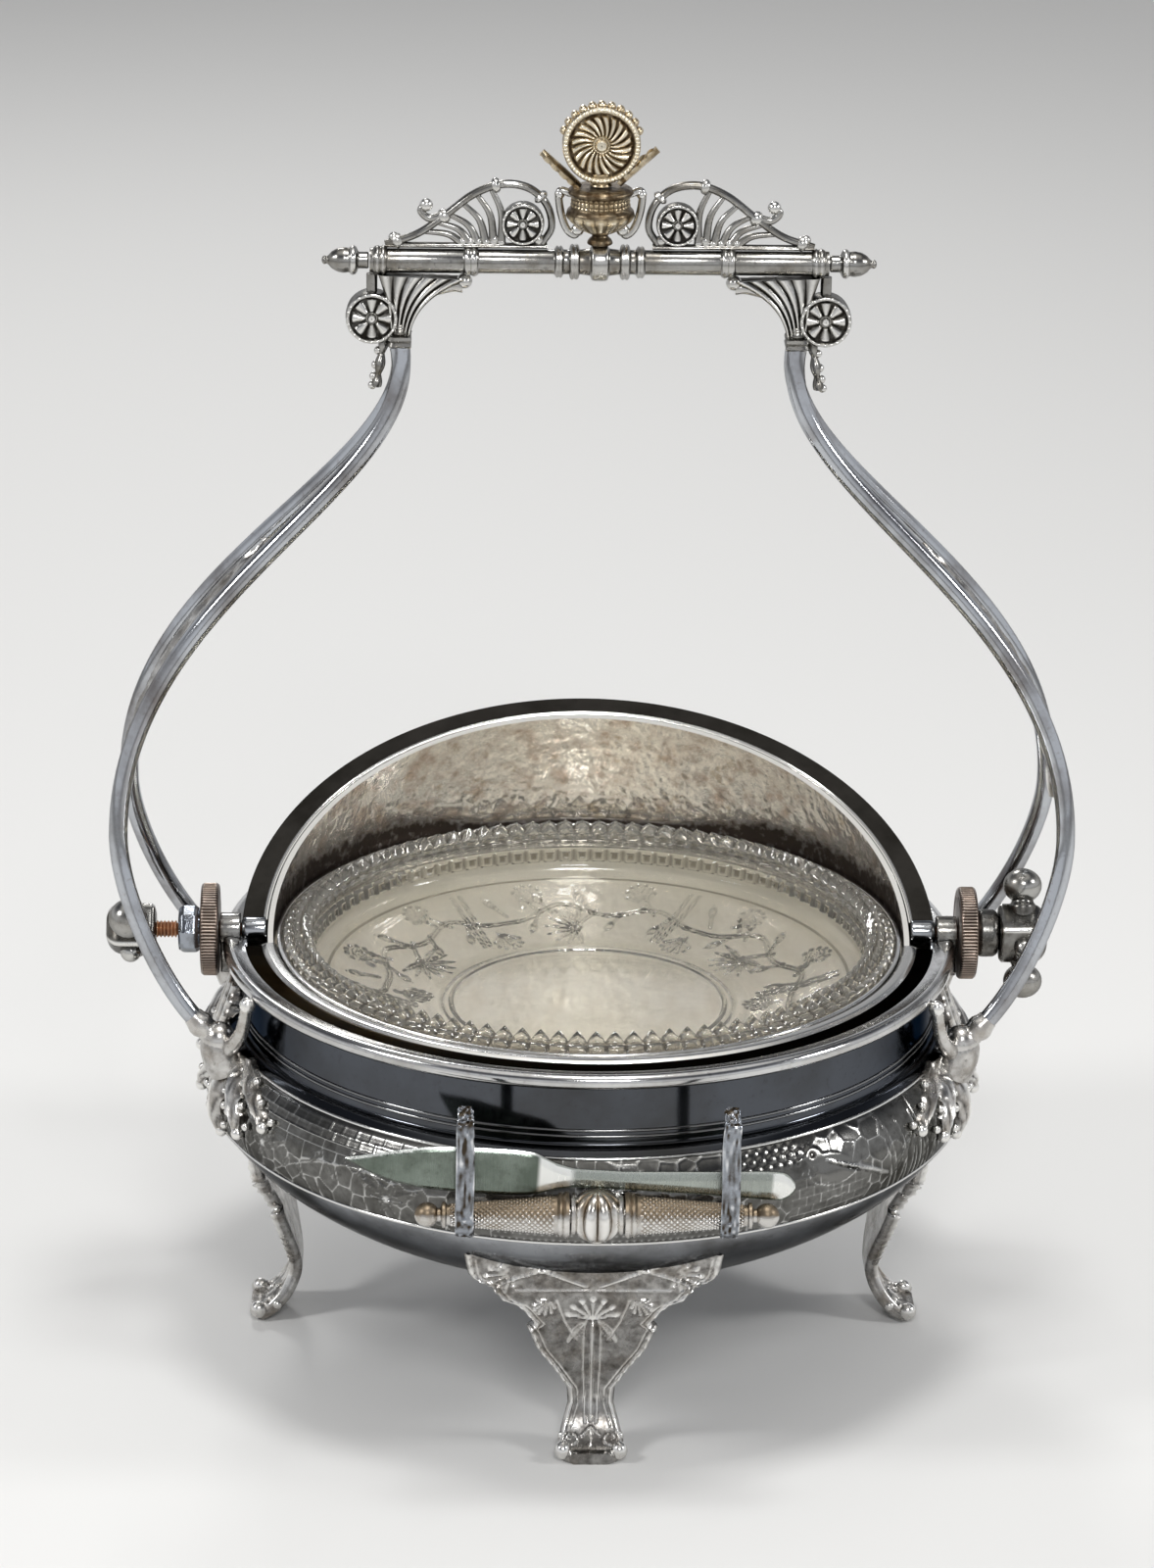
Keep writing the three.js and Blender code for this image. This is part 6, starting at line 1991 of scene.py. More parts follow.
@dataclass
class Crown(Assembly):
    """The cast crown of the handle: brackets, crossbar, acorns, spandrels, urn and finial."""

    bar_height: float = 330.0
    bar_radius: float = 3.5
    bar_end: float = 65.4
    volute_x: float = 64.8
    volute_drop: float = 16.3
    volute_radius: float = 7.4
    acorn_length: float = 13.4
    urn_radius: float = 9.8
    finial_radius: float = 11.0

    @property
    def base(self) -> float:
        """Height at which the spandrels stand on the bar."""
        return self.bar_height + self.bar_radius + 0.3

    @property
    def volute_height(self) -> float:
        """Height of the middle of the volutes."""
        return self.bar_height - self.volute_drop

    @property
    def urn_base(self) -> float:
        """Height of the urn's foot."""
        return self.bar_height + 5.3

    @property
    def urn_top(self) -> float:
        """Height of the urn's mouth."""
        return self.urn_base + 16.6

    def _spots(self, side: Side, level: float, spots: Sequence[Pair]) -> list[Point]:
        """Returns points of the middle plane from distances out and heights above a level."""
        return [(side.value * out, 0, level + rise) for out, rise in spots]

    def build(self) -> None:
        """Builds every piece of the crown."""
        self._bar()
        for side in Side:
            self._acorn(side)
            self._bracket(side)
            self._spandrel(side)
            self._finial_leaf(side)
        self._urn()
        self._finial()

    def _bar(self) -> None:
        """Builds the crossbar with its ring collars."""
        r = self.bar_radius
        half = [(1.4, 5.4), (2.2, 5.2), (2.7, 3.9)]
        for centre, radius, width in ((7.2, 5.2, 3.0), (11.6, 4.7, 2.6), (36.6, 4.5, 4.2), (62.4, 4.4, 4.0)):
            w, groove = width / 2, radius - 0.5
            half += [(centre - w, r), (centre - w + 0.3, groove), (centre - w * 0.4, radius), (centre, groove)]
            half += [(centre + w * 0.4, radius), (centre + w - 0.3, groove), (centre + w, r)]
        half.append((self.bar_end, r))
        profile = np.array([(-s, q) for s, q in reversed(half)] + half)
        line = np.stack([profile[:, 1], profile[:, 0]], -1)
        line = rounded([tuple(p) for p in line], 0.25, 2)
        line = np.vstack([[0.05, -self.bar_end], line, [0.05, self.bar_end]])
        tone = np.where(line[:, 0] > r + 0.6, -0.35, 0.05)
        forge = Forge()
        forge.turned(line, (0, 0, self.bar_height), Axis.X, 48, tone=tone)
        self.close(forge, "crossbar_turned", self.wear.crown, "silver", ["crossbar"])

    def _acorn(self, side: Side) -> None:
        """Builds an acorn at one end of the bar."""
        profile = [
            (0.05, 0.0), (2.4, 0.0), (2.4, 3.0), (3.3, 3.3), (4.2, 3.9), (4.2, 5.0), (3.4, 5.5), (3.7, 7.0),
            (3.3, 9.0), (2.4, 10.6), (1.3, 11.5), (1.0, 12.0), (1.35, 12.6), (0.9, 13.2),
            (0.05, self.acorn_length),
        ]
        line = rounded(profile, 0.5, 3)
        line = np.stack([line[:, 0], side.value * (self.bar_end + 0.3 + line[:, 1])], -1)
        forge = Forge()
        forge.turned(line, (0, 0, self.bar_height), Axis.X, 36, tone=np.where(line[:, 0] > 3.8, -0.5, 0.0))
        self.close(forge, f"acorn_{side.word}", self.wear.crown, "silver", [f"bar_acorn_{side.word}"])

    def _bracket(self, side: Side) -> None:
        """Builds the fluted fan with its volute, cap, post and hanging leaf."""
        s, x, foot = side.value, self.plan.bracket_x, self.plan.bracket_foot
        top = self.bar_height - self.bar_radius - 0.3
        inner = bezier([(x - 2.7, foot), (x - 3, foot + 7), (x - 6, foot + 14), (x - 19, top - 1.2)], 44)
        outer = bezier([(x + 2.7, foot), (x + 2.4, foot + 8), (x + 4, top - 6), (x + 6, top)], 44)
        across = np.linspace(0.0, 1.0, 73)
        ribs = np.abs(np.sin(across * math.pi * 6))
        forge, skin = Forge(), []
        for i, (a, b) in enumerate(zip(inner, outer)):
            share = i / (len(inner) - 1)
            depth = 2.1 + (1.0 - 0.3 * share) * ribs * smoothstep(np.array(share * 4)) + 0.2
            spot = a + (b - a) * across[:, None]
            rows = [
                np.stack([s * spot[:, 0], way * depth, np.minimum(top, spot[:, 1])], -1) for way in (-1, 1)
            ]
            skin.append(np.concatenate([rows[0], rows[1][::-1]]))
        shade = 0.9 - 1.7 * ribs
        forge.grid(skin, np.concatenate([shade, shade[::-1]]), wrap_columns=True, cap=True)
        rosette(forge, s * self.volute_x, self.volute_height, self.volute_radius, 7.4, 8)
        cap = [(x - 3.4, -6.1), (x + 3.4, -6.1), (x + 3.4, 6.1), (x - 3.4, 6.1), (x - 3.4, -6.1)]
        cap = rounded(cap, 2.4, 6)[:-1]
        levels = ((0.0, 0.94), (0.5, 1.0), (1.4, 0.9), (2.2, 1.0), (3.0, 0.9))
        sheet = [[(s * (x + (a - x) * grow), b * grow, foot + rise) for a, b in cap] for rise, grow in levels]
        forge.grid(sheet, -0.2, wrap_columns=True, cap=True)
        post = [(s * self.volute_x, 0, z) for z in np.linspace(self.volute_height, top, 12)]
        forge.tube(post, 1.6, 14)
        forge.ball((s * (x - 18.4), 0, top - 2.0), (2.3, 2.6, 2.2), 18, tone=-0.5)
        curl = spline(self._spots(side, top, [(x - 10, -5), (x - 15, -3.6), (x - 18, -3.6)]), 10)
        forge.tube(curl, np.linspace(1.4, 1.9, 11), 14, tone=-0.4)
        path = spline(self._spots(side, foot, [(x + 4, 3), (x + 5.4, -5), (x + 6.6, -12.4)]), 22)
        width = 1.4 + 1.4 * np.abs(np.sin(np.linspace(0.2, 2.6 * math.pi, 23)))
        forge.tube(path, width, 16, tone=0.1, flat=0.55)
        for k in (7, 13, 18, 22):
            forge.ball(path[k] + np.array([s * 1.2, 0, 0]), 1.25, 12, tone=-0.6)
        collar = [(s * x, 0, z) for z in np.linspace(foot + 3, foot + 6, 7)]
        forge.tube(collar, [3.2, 3.6, 3.2, 3.0, 3.4, 3.2, 2.6], 20, tone=-0.1)
        self.close(forge, f"bracket_{side.word}_cast", self.wear.crown, "silver", [f"bracket_{side.word}"])

    def _spandrel(self, side: Side) -> None:
        """Builds the arched strap with its rosette, fingers and curls."""
        s, base = side.value, self.base
        marks = [
            (61, 1), (52, 4), (44, 9.5), (36, 15.6), (28, 18.6), (20.5, 17.6), (15.4, 13), (13.8, 6.5),
            (16.4, 1.6),
        ]
        steps = 96
        arch = spline(self._spots(side, base, marks), steps)
        forge = Forge()
        girth = np.interp(np.linspace(0, 1, steps + 1), [0, 0.5, 1], [1.5, 1.7, 1.5])
        forge.tube(arch, girth, 18, tone=-0.1, flat=0.7)
        for k in (3, 22, 44, 66):
            forge.tube(arch[k : k + 4], [1.7, 2.2, 2.2, 1.7], 18, tone=-0.5)
        sill = [(s * a, 0, base + 0.8) for a in np.linspace(15, 61, 30)]
        forge.tube(sill, 1.5, 14, tone=0.3, flat=0.55)
        rosette(forge, s * 22, base + 7.4, 6.0, 4.8, 8)
        for k, share in enumerate((0.15, 0.21, 0.27, 0.33, 0.39, 0.45)):
            root = np.array([s * (39 - k * 2.2), 0, base + 1.2])
            tip = arch[int(share * steps)]
            bend = (root + tip) / 2 + np.array([-1.5 * s, 0, 1.0])
            forge.tube(spline([root, bend, tip], 12), np.linspace(1.25, 0.75, 13), 12, tone=-0.2)
            forge.ball(root + np.array([0, 0, 0.6]), 1.35, 12, tone=-0.6)
        tail = spline(self._spots(side, base, [(44, 9.5), (48.5, 8.6), (51, 10.8), (49.6, 12.6)]), 18)
        forge.tube(tail, np.linspace(1.3, 0.9, 19), 14, tone=-0.2)
        forge.ball((s * 49.4, 0, base + 12.4), 1.9, 16, tone=-0.6)
        for a, b, r in ((17.4, 2.6, 1.7), (58.6, 3.0, 1.5), (30, 2.6, 1.4)):
            forge.ball((s * a, 0, base + b), r, 14, tone=-0.5)
        self.close(forge, f"spandrel_{side.word}_cast", self.wear.crown, "silver", [f"spandrel_{side.word}"])

    def _urn(self) -> None:
        """Builds the urn with gadroons, a granular collar and two scroll handles."""
        base, r = self.urn_base, self.urn_radius
        profile = rounded([
            (0.05, base), (3.8, base), (3.4, base + 1.3), (1.9, base + 2.6), (4.8, base + 4),
            (r - 0.8, base + 7.4), (r, base + 9.6), (r - 1.4, base + 10.8), (r - 1.8, base + 13.6),
            (r - 0.3, base + 15.0), (r - 0.6, base + 15.9), (r - 1.8, base + 16.6), (0.05, base + 16.6),
        ], 0.8)
        line = spaced(profile, 110)

        def gadroon(angle: Array, station: Array) -> Array:
            """Swells the lower half into lobes and roughens the collar."""
            low = smoothstep((station - base - 3.0) / 1.5) * smoothstep((base + 9.4 - station) / 1.2)
            high = smoothstep((station - base - 11.0) / 0.6) * smoothstep((base + 14.6 - station) / 0.6)
            lobes = 0.5 * np.abs(np.cos(angle * 8)) * low
            return lobes + 0.35 * np.abs(np.cos(angle * 18)) * np.abs(np.cos(station * 2.6)) * high

        forge, columns = Forge(), 288
        tone = 0.75 - 2.6 * gadroon(circle(columns), line[:, 1:2])
        forge.turned(line, segments=columns, tone=tone, ripple=gadroon)
        for side in Side:
            s = side.value
            marks = [(8.4, 14.6), (11.6, 15.2), (11.5, 10.4), (9.8, 4.8), (7.4, 2.6), (6, 4.2)]
            path = spline(self._spots(side, base, marks), 40)
            forge.tube(path, 1.15, 14, tone=-0.4, slot=1)
            forge.ball((s * 6.4, 0, base + 4.1), 1.9, 16, tone=-0.6, slot=1)
            forge.ball((s * 11.6, 0, base + 14.4), 1.5, 14, tone=-0.6, slot=1)
        self.close(forge, "urn_gadrooned", [self.wear.gilt, self.wear.crown], "worn_gilt", ["urn"])

    def _finial(self) -> None:
        """Builds the finial disc on its neck."""
        forge = Forge()
        centre = self.urn_top + 1.3 + self.finial_radius
        rosette(forge, 0.0, centre, self.finial_radius, 6.0, 20, 0.7)
        top, r = self.urn_top, self.finial_radius
        neck = [(0.05, top + 0.3), (3.4, top + 0.3), (2.6, top + 1.6), (3.0, top + 4), (0.05, top + 4)]
        forge.turned(rounded(neck, 0.5), segments=32, tone=0.2)
        for a in np.linspace(0.35, math.pi - 0.35, 11):
            spot = (r * math.cos(a) * 1.02, 0.0, centre + r * math.sin(a) * 1.02)
            forge.ball(spot, (1.3, 2.2, 1.3), 12, tone=-0.2)
        self.close(forge, "finial_rosette", self.wear.gilt, "worn_gilt", ["finial_disc"])

    def _finial_leaf(self, side: Side) -> None:
        """Builds a golden leaf that curls out beside the disc."""
        top = self.urn_top
        path = spline(self._spots(side, top, [(5.6, 0.6), (8.6, 3.4), (12.6, 7), (16.4, 10.4)]), 34)
        tangents, _, _ = frames_along(path, (0, 1, 0))
        across = np.linspace(-1, 1, 21)
        front, back, tone = [], [], []
        for i, (point, along) in enumerate(zip(path, tangents)):
            share = i / (len(path) - 1)
            out = np.array([-along[2], 0, along[0]])
            half = 0.6 + 3.3 * math.sin(math.pi * (0.22 + share * 0.74))
            half *= 1 - 0.12 * abs(math.sin(share * 14))
            vein = np.abs(np.cos(np.abs(across) * 4.2 - share * 16))
            lift = 0.5 + 0.4 * vein + 0.7 * np.exp(-((across / 0.14) ** 2)) + 0.9 * np.abs(across) ** 2
            aside = across[:, None] * np.array([0, half, 0])
            front.append(point + out * lift[:, None] + aside)
            back.append(point + out * (0.9 * across * across - 0.4)[:, None] + aside)
            tone.append(0.6 - 1.2 * vein)
        forge = Forge()
        forge.slab(front, back, tone)
        name = f"finial_leaf_{side.word}"
        self.close(forge, f"{name}_curled", self.wear.gilt, "worn_gilt", [name])


# Feet, rack and knife


@dataclass
class Feet(Assembly):
    """The four cast feet, each a relief plate that runs from winged top to scrolled toe."""

    width: float = 70.0
    thickness: float = 3.4
    ankle_inset: float = 27.5
    rows: tuple[tuple[float, float, float], ...] = (
        (11, 1.08, 1.06), (9.8, 0.96, 1.02), (9.2, 0.91, 0.86), (8.2, 0.83, 0.76), (7.6, 0.79, 0.62),
        (5.4, 0.68, 0.47), (4.8, 0.65, 0.54), (2.8, 0.53, 0.46), (1.2, 0.42, 0.33), (0, 0.3, 0.2),
        (0.5, 0.22, 0.19), (3, 0.135, 0.235), (6.6, 0.068, 0.27), (10.4, 0.024, 0.275), (14, 0.018, 0.18),
    )

    def build(self) -> None:
        """Builds one foot and turns it to the four sides."""
        ankle, steps = self.plan.belly_radius - self.ankle_inset, 150
        profile = Bowl(self.plan, self.wear).outside()
        tall = float(np.interp(ankle + self.rows[1][0], profile[:60, 0], profile[:60, 1])) + 3.0
        spine = spline([(0.0, -(ankle + r), max(h * tall, 1.7)) for r, h, _ in self.rows], steps)
        at = np.linspace(0, len(self.rows) - 1, steps + 1)
        half = np.interp(at, np.arange(len(self.rows)), [w / 2 for *_, w in self.rows]) * self.width
        length = np.concatenate([[0.0], np.cumsum(np.linalg.norm(np.diff(spine, axis=0), axis=1))])
        sheet = self._relief(float(length[-1]), length, half)
        along = directions(spine)
        through = np.stack([np.zeros(len(spine)), along[:, 2], -along[:, 1]], -1)
        across = np.linspace(-1.0, 1.0, 171)
        reach = half[:, None] * across[None, :]
        rise, tone = sheet.sample(reach, np.repeat(length[:, None], len(across), 1))
        edge = 1 - np.clip((np.abs(reach) - half[:, None] + 1.6) / 1.6, 0, 1) ** 2
        depth = self.thickness / 2 * (0.35 + 0.65 * edge) + rise * edge
        middle = spine[:, None, :] + reach[..., None] * np.array([1.0, 0.0, 0.0])
        front = middle + through[:, None, :] * depth[..., None]
        back = middle - through[:, None, :] * (self.thickness / 2 * (0.3 + 0.7 * edge))[..., None]
        for sheet_points in (front, back):
            np.clip(sheet_points[..., 2], 0.0, None, out=sheet_points[..., 2])
        for k, place in enumerate(("front", "right", "rear", "left")):
            forge = Forge()
            forge.slab(front, back, tone)
            for way in (-1, 1):
                for y, z, r in ((-(ankle + 11.6), 3.4, 2.7), (-(ankle + 6.0), 5.2, 1.6)):
                    forge.ball((way * 8.2, y, z), (r * 0.9, r, r), 18, tone=-0.5)
            c, s = math.cos(k * math.pi / 2), math.sin(k * math.pi / 2)
            forge.move(np.array([[c, -s, 0.0], [s, c, 0.0], [0.0, 0.0, 1.0]]), (0.0, 0.0, 0.0))
            self.close(forge, f"foot_{place}_cast", self.wear.cast, "cast_silver", [f"foot_{place}"])

    def _relief(self, length: float, stations: Array, half: Array) -> Relief:
        """Paints the face of the foot: x across, y down from the wings to the toe."""
        sheet = Relief((-38.0, 0.0), (38.0, length), 0.3)
        sheet.tone[...] = 0.55

        def edge(y: float) -> float:
            """Returns half the width of the foot at a depth."""
            return float(np.interp(y, stations, half))

        for way in (-1, 1):
            rim = [(way * (edge(y) - 1.1), y) for y in np.linspace(0.5, length - 1, 60)]
            sheet.stroke(rim, 1.7, 0.7, -0.5)
            inner = [(way * (edge(y) - 3.0), y) for y in np.linspace(2, length - 12, 50) if edge(y) > 5]
            sheet.stroke(inner, 0.6, 0.35, -0.3)
            for y in np.linspace(3, length * 0.62, 15):
                sheet.blob((way * (edge(y) - 1.1), y), (1.15, 1.15), 0.0, 0.5, -0.8, 0.7)
            sheet.stroke([(way * 2.0, 1.0), (way * 26.0, 9.5)], 1.5, 0.6, -0.55)
            sheet.stroke([(way * 26.0, 0.8), (way * 2.0, 11.0)], 1.5, 0.6, -0.55)
            sheet.stroke([(way * 1.0, 12.4), (way * 22.0, 12.4)], 1.1, 0.5, -0.5)
            sheet.fan((way * 23.0, 6.4), math.radians(90 - way * 62), 2.2, 9.0, 7, 0.5)
            sheet.fan((way * 12.5, 15.5), math.radians(90 - way * 30), 1.9, 6.6, 7, 0.5)
            sheet.stroke([(way * 10.4, 16.0), (way * 8.0, 24.0), (way * 4.6, 31.0)], 0.9, 0.4, -0.4)
            stem = bezier([(way * 1.2, 22), (way * 3.2, 28), (way * 2.6, 36), (way * 1.6, length - 13)], 14)
            sheet.stroke(stem, 0.9, 0.45, -0.5)
            sheet.leaf((way * 1.8, 24.0), (way * 7.0, 32.0), 3.0, 0.4)
            scroll = [
                (way * (6.0 + s * math.cos(t)), length - 8.0 + s * math.sin(t))
                for t, s in zip(np.linspace(0.4, 7.0, 26), np.linspace(3.0, 0.6, 26))
            ]
            sheet.stroke(scroll, 1.0, 0.7, -0.6)
        for k in range(7):
            turn = math.radians(-90 + (k - 3) * 25)
            ray = heading(turn)
            root = np.array([0.0, 23.0])
            sheet.stroke([root, root + ray * 6.6], [0.7, 1.5], 0.55, -0.45)
            sheet.blob(root + ray * 7.4, (1.15, 1.15), 0.0, 0.6, -0.8, 0.7)
        sheet.stroke([(0.0, 24.0), (0.0, length - 14.0)], 1.3, 0.55, -0.5)
        for tip in ((0.0, length - 5.0), (-3.0, length - 8.5), (3.0, length - 8.5)):
            sheet.stroke([(0.0, length - 11.5), tip], [1.5, 0.4], 0.5, -0.6)
        return sheet


@dataclass
class KnifeRack(Assembly):
    """The rack on the front: a knurled rod with a melon boss and two hammered hooks."""

    standoff: float = 3.5
    rise: float = 4.0
    half_length: float = 51.0
    boss_length: float = 15.0
    boss_radius: float = 7.0
    flutes: int = 10
    hook_x: float = 37.0
    hook_width: float = 5.1
    hook_thickness: float = 2.2
    hook_height: float = 39.0
    end_radius: float = 2.9
    inner_radius: float = 5.3

    @property
    def centre(self) -> tuple[float, float, float]:
        """Middle of the rod."""
        return 0.0, -(self.plan.belly_radius + self.standoff), self.plan.belly_height + self.rise

    def build(self) -> None:
        """Builds rod, boss and hooks."""
        self._rod()
        self._boss()
        for side in Side:
            self._hook(side)

    def _rod(self) -> None:
        """Builds the rod: flared collars, knurled tapers, necks and end balls."""
        start, end = self.boss_length / 2 + 0.3, self.half_length
        r, e = self.inner_radius, self.end_radius
        share, turn, size = np.linspace(0, 1, 130), np.linspace(0.6, math.pi - 0.02, 16), 3.5
        taper = [(r + 0.1 - (r + 0.1 - e) * t, start + 4.0 + (end - 13 - start) * t) for t in share]
        ball = [(size * math.sin(t), end - size - size * math.cos(t)) for t in turn]
        line = np.array([
            (2.4, start), (r + 0.9, start), (r + 1.4, start + 0.9), (r + 0.6, start + 1.8),
            (r + 1.1, start + 2.6), (r + 0.2, start + 3.4), *taper, (e + 0.8, end - 8.6), (e + 0.8, end - 7.8),
            (e - 1.0, end - 7.2), (e - 1.0, end - 6.4), *ball
        ])

        def knurl(angle: Array, station: Array) -> Array:
            """Cuts the crossed knurling into the tapers."""
            far = np.abs(station)
            inside = smoothstep((far - start - 4.2) / 0.6) * smoothstep((end - 9.6 - far) / 0.6)
            cross = np.abs(np.sin(angle * 9 + station * 1.9)) * np.abs(np.sin(angle * 9 - station * 1.9))
            return 0.42 * (cross - 0.5) * inside

        forge, columns = Forge(), 144
        angle = circle(columns)
        for side in Side:
            forge_line = line * np.array([1.0, side.value])
            cut = knurl(angle, forge_line[:, 1:2])
            tone = np.where(np.abs(cut) > 1e-4, -cut * 4.2 - 0.25, np.where(line[:, :1] > r + 0.7, -0.5, -0.2))
            tone = tone + 1.5 * smoothstep((np.sin(angle) + 0.05) / 0.75)
            forge.turned(forge_line, self.centre, Axis.X, columns, tone=tone, ripple=knurl)
        forge.tube([(x, *self.centre[1:]) for x in np.linspace(-start - 0.5, start + 0.5, 6)], 2.3, 16)
        self.close(forge, "rack_rod_knurled", self.wear.rack, "dark_silver", ["rack_rod"])

    def _boss(self) -> None:
        """Builds the upright melon boss, its lobes drawn together at a button below."""
        turn = np.linspace(0.0, math.pi, 56)
        angle = circle(200)
        swell = 1.06 * self.boss_radius * np.maximum(np.sin(turn), 0.02) ** 0.75
        lobe = np.abs(np.cos(angle * self.flutes / 2)) ** 0.6
        radius = swell[:, None] * (0.84 + 0.19 * lobe[None, :] * np.sin(turn)[:, None] ** 0.5)
        level = -1.06 * self.boss_radius * np.cos(turn)[:, None]
        points = around_z(radius, angle, level) + np.array(self.centre)
        forge = Forge()
        top = smoothstep((level / self.boss_radius - 0.35) / 0.4)
        forge.grid(points, 0.9 - 1.7 * lobe[None, :] + 0.9 * top, wrap_columns=True, cap=True)
        forge.ball(
            np.array(self.centre) - np.array([0, 1.2, self.boss_radius]), (1.7, 1.7, 1.3), 16, tone=-0.5,
        )
        for end in (-1, 1):
            ring = [
                (4.9 + 0.8 * math.cos(t), end * (self.boss_length / 2 - 0.8) + 0.8 * math.sin(t))
                for t in np.linspace(0, 2 * math.pi, 10)[:-1]
            ]
            forge.turned(ring, self.centre, Axis.X, 48, closed=True, tone=-0.4)
        self.close(forge, "rack_boss_melon", self.wear.rack, "silver", ["rack_boss"])

    def _hook(self, side: Side) -> None:
        """Builds one hammered strap hook with a bent top."""
        x = side.value * self.hook_x
        _, axis_y, axis_z = self.centre
        front = axis_y - self.end_radius - 1 - self.hook_thickness / 2
        low = axis_z - self.end_radius - 1 - self.hook_thickness / 2
        top, steps = low + self.hook_height, 110
        path = spline([
            (x, axis_y + 2.5, low + 0.4), (x, axis_y - 1.5, low), (x, front, axis_z - 1.5),
            (x, front, axis_z + 6), (x, front, top - 8), (x, front + 0.8, top - 3),
            (x, front + 2.8, top - 0.2),
        ], steps)
        tangents, _, _ = frames_along(path, (1, 0, 0))
        across = np.linspace(-1, 1, 23)
        rng = np.random.default_rng(11 + side.value)
        marks = np.arange(steps + 1)
        left = np.interp(marks, np.arange(0, 121, 10), rng.uniform(-0.22, 0.22, 13))
        coarse = np.array([np.interp(marks, np.arange(0, 112, 3), rng.normal(0.0, 0.6, 38)) for _ in range(9)])
        dents = np.array([np.interp(across, np.linspace(-1, 1, 9), row) for row in coarse.T])
        front_face, back_face, tone = [], [], []
        for i, (point, along) in enumerate(zip(path, tangents)):
            share = i / steps
            out = np.array([0.0, -along[2], along[1]])
            out = out if out[1] < 0 or share < 0.2 else -out
            half = self.hook_width / 2 * (0.8 if share > 0.97 else 1.0)
            half *= 1 - 0.14 * smoothstep((share - 0.6) / 0.3)
            edge = np.abs(across) ** 5
            upper = smoothstep((share - 0.70) / 0.06)
            rough = 0.30 + 0.20 * upper
            lift = self.hook_thickness / 2 * (1.0 - 0.3 * edge) - 0.12 * across**2 + dents[i] * rough
            shift, aside = np.array([left[i], 0, 0]), across[:, None] * np.array([half, 0, 0])
            front_face.append(point + out * lift[:, None] + shift + aside)
            back_face.append(point - out * self.hook_thickness / 2 + shift + aside)
            tone.append(0.25 + 0.4 * upper - 0.9 * dents[i] - 0.8 * np.abs(across) ** 9)
        forge = Forge()
        forge.slab(front_face, back_face, tone)
        name = f"rack_hook_{side.word}"
        self.close(forge, f"{name}_hammered", self.wear.hook, "dark_silver", [name])


@dataclass
class Knife(Assembly):
    """The knife on the rack: a scratched blade with a bevelled edge and a spatulate handle."""

    length: float = 126.0
    blade_height: float = 13.8
    thickness: float = 1.7
    tilt: float = 3.2
    clearance: float = 0.8
    rack: KnifeRack | None = None
    rows: tuple[tuple[float, float, float], ...] = (
        (0, 0.02, 0.12), (0.05, 0.36, 0.04), (0.11, 0.69, 0), (0.18, 0.92, 0), (0.26, 1, 0), (0.375, 1, 0),
        (0.42, 0.93, 0), (0.465, 0.58, -0.03), (0.51, 0.39, -0.04), (0.62, 0.39, -0.04), (0.8, 0.5, 0),
        (0.93, 0.62, 0.02), (0.985, 0.6, 0.02), (1, 0.4, 0.02),
    )

    def build(self) -> None:
        """Builds the knife."""
        rack = self.rack
        _, axis_y, axis_z = rack.centre
        stations = np.array([r[0] for r in self.rows])
        count, columns = 260, 33
        at, across = np.linspace(0, 1, count), np.linspace(-1, 1, columns)
        height = np.interp(at, stations, [r[1] for r in self.rows]) * self.blade_height / 2
        lift = np.interp(at, stations, [r[2] for r in self.rows]) * self.blade_height
        kernel = np.ones(7) / 7
        height = np.convolve(np.pad(height, 3, mode="edge"), kernel, mode="valid")
        height[-10:] *= np.sqrt(np.clip(1 - (np.arange(10) / 9.4) ** 2, 0.0, 1))
        height = np.maximum(height, 0.12)
        blade = smoothstep((0.44 - at) / 0.03)
        facet = smoothstep((at - 0.425) / 0.012) * smoothstep((0.515 - at) / 0.02)
        tip = smoothstep((at - 0.945) / 0.01)
        tone, half = np.zeros((count, columns)), np.zeros((count, columns))
        for i in range(count):
            gap = (1 - np.abs(across)) * height[i]
            bevel = np.clip(gap / 1.1, 0.06, 1.0)
            ridge = np.clip(gap / 2.6, 0.1, 1.0) ** 0.6
            half[i] = self.thickness / 2 * (bevel * blade[i] + ridge * (1 - blade[i]))
            # Painted highlight along the upper edges and painted shade along the lower edges, on the blade and
            # on the handle alike.
            bright = np.where(gap < 0.7, np.where(across > 0, -0.6, 0.55), 0.12)
            grip = np.where(gap < 0.6, np.where(across > 0, -0.4, 0.5), -0.3)
            plain = bright * blade[i] + (1 - blade[i]) * grip
            polished = plain * (1 - facet[i] - tip[i]) - 0.95 * (facet[i] + tip[i])
            tone[i] = np.where(gap > 0.5, polished, plain)
        x = (at - 0.56) * self.length
        z = lift[:, None] + height[:, None] * across[None, :]
        xx = np.repeat(x[:, None], columns, 1)
        forge = Forge()
        forge.slab(np.stack([xx, -half, z], -1), np.stack([xx, half, z], -1), tone)
        c, s = math.cos(math.radians(self.tilt)), math.sin(math.radians(self.tilt))
        height = axis_z + rack.boss_radius + self.clearance + self.blade_height * 0.19
        place = (0.0, 1 + axis_y + self.thickness, height)
        forge.move(np.array([[c, 0, s], [0, 1, 0], [-s, 0, c]]), place)
        self.close(forge, "knife_blade_handle", self.wear.blade, "silver", ["knife"], "knife", sharp=18.0)


# Studio


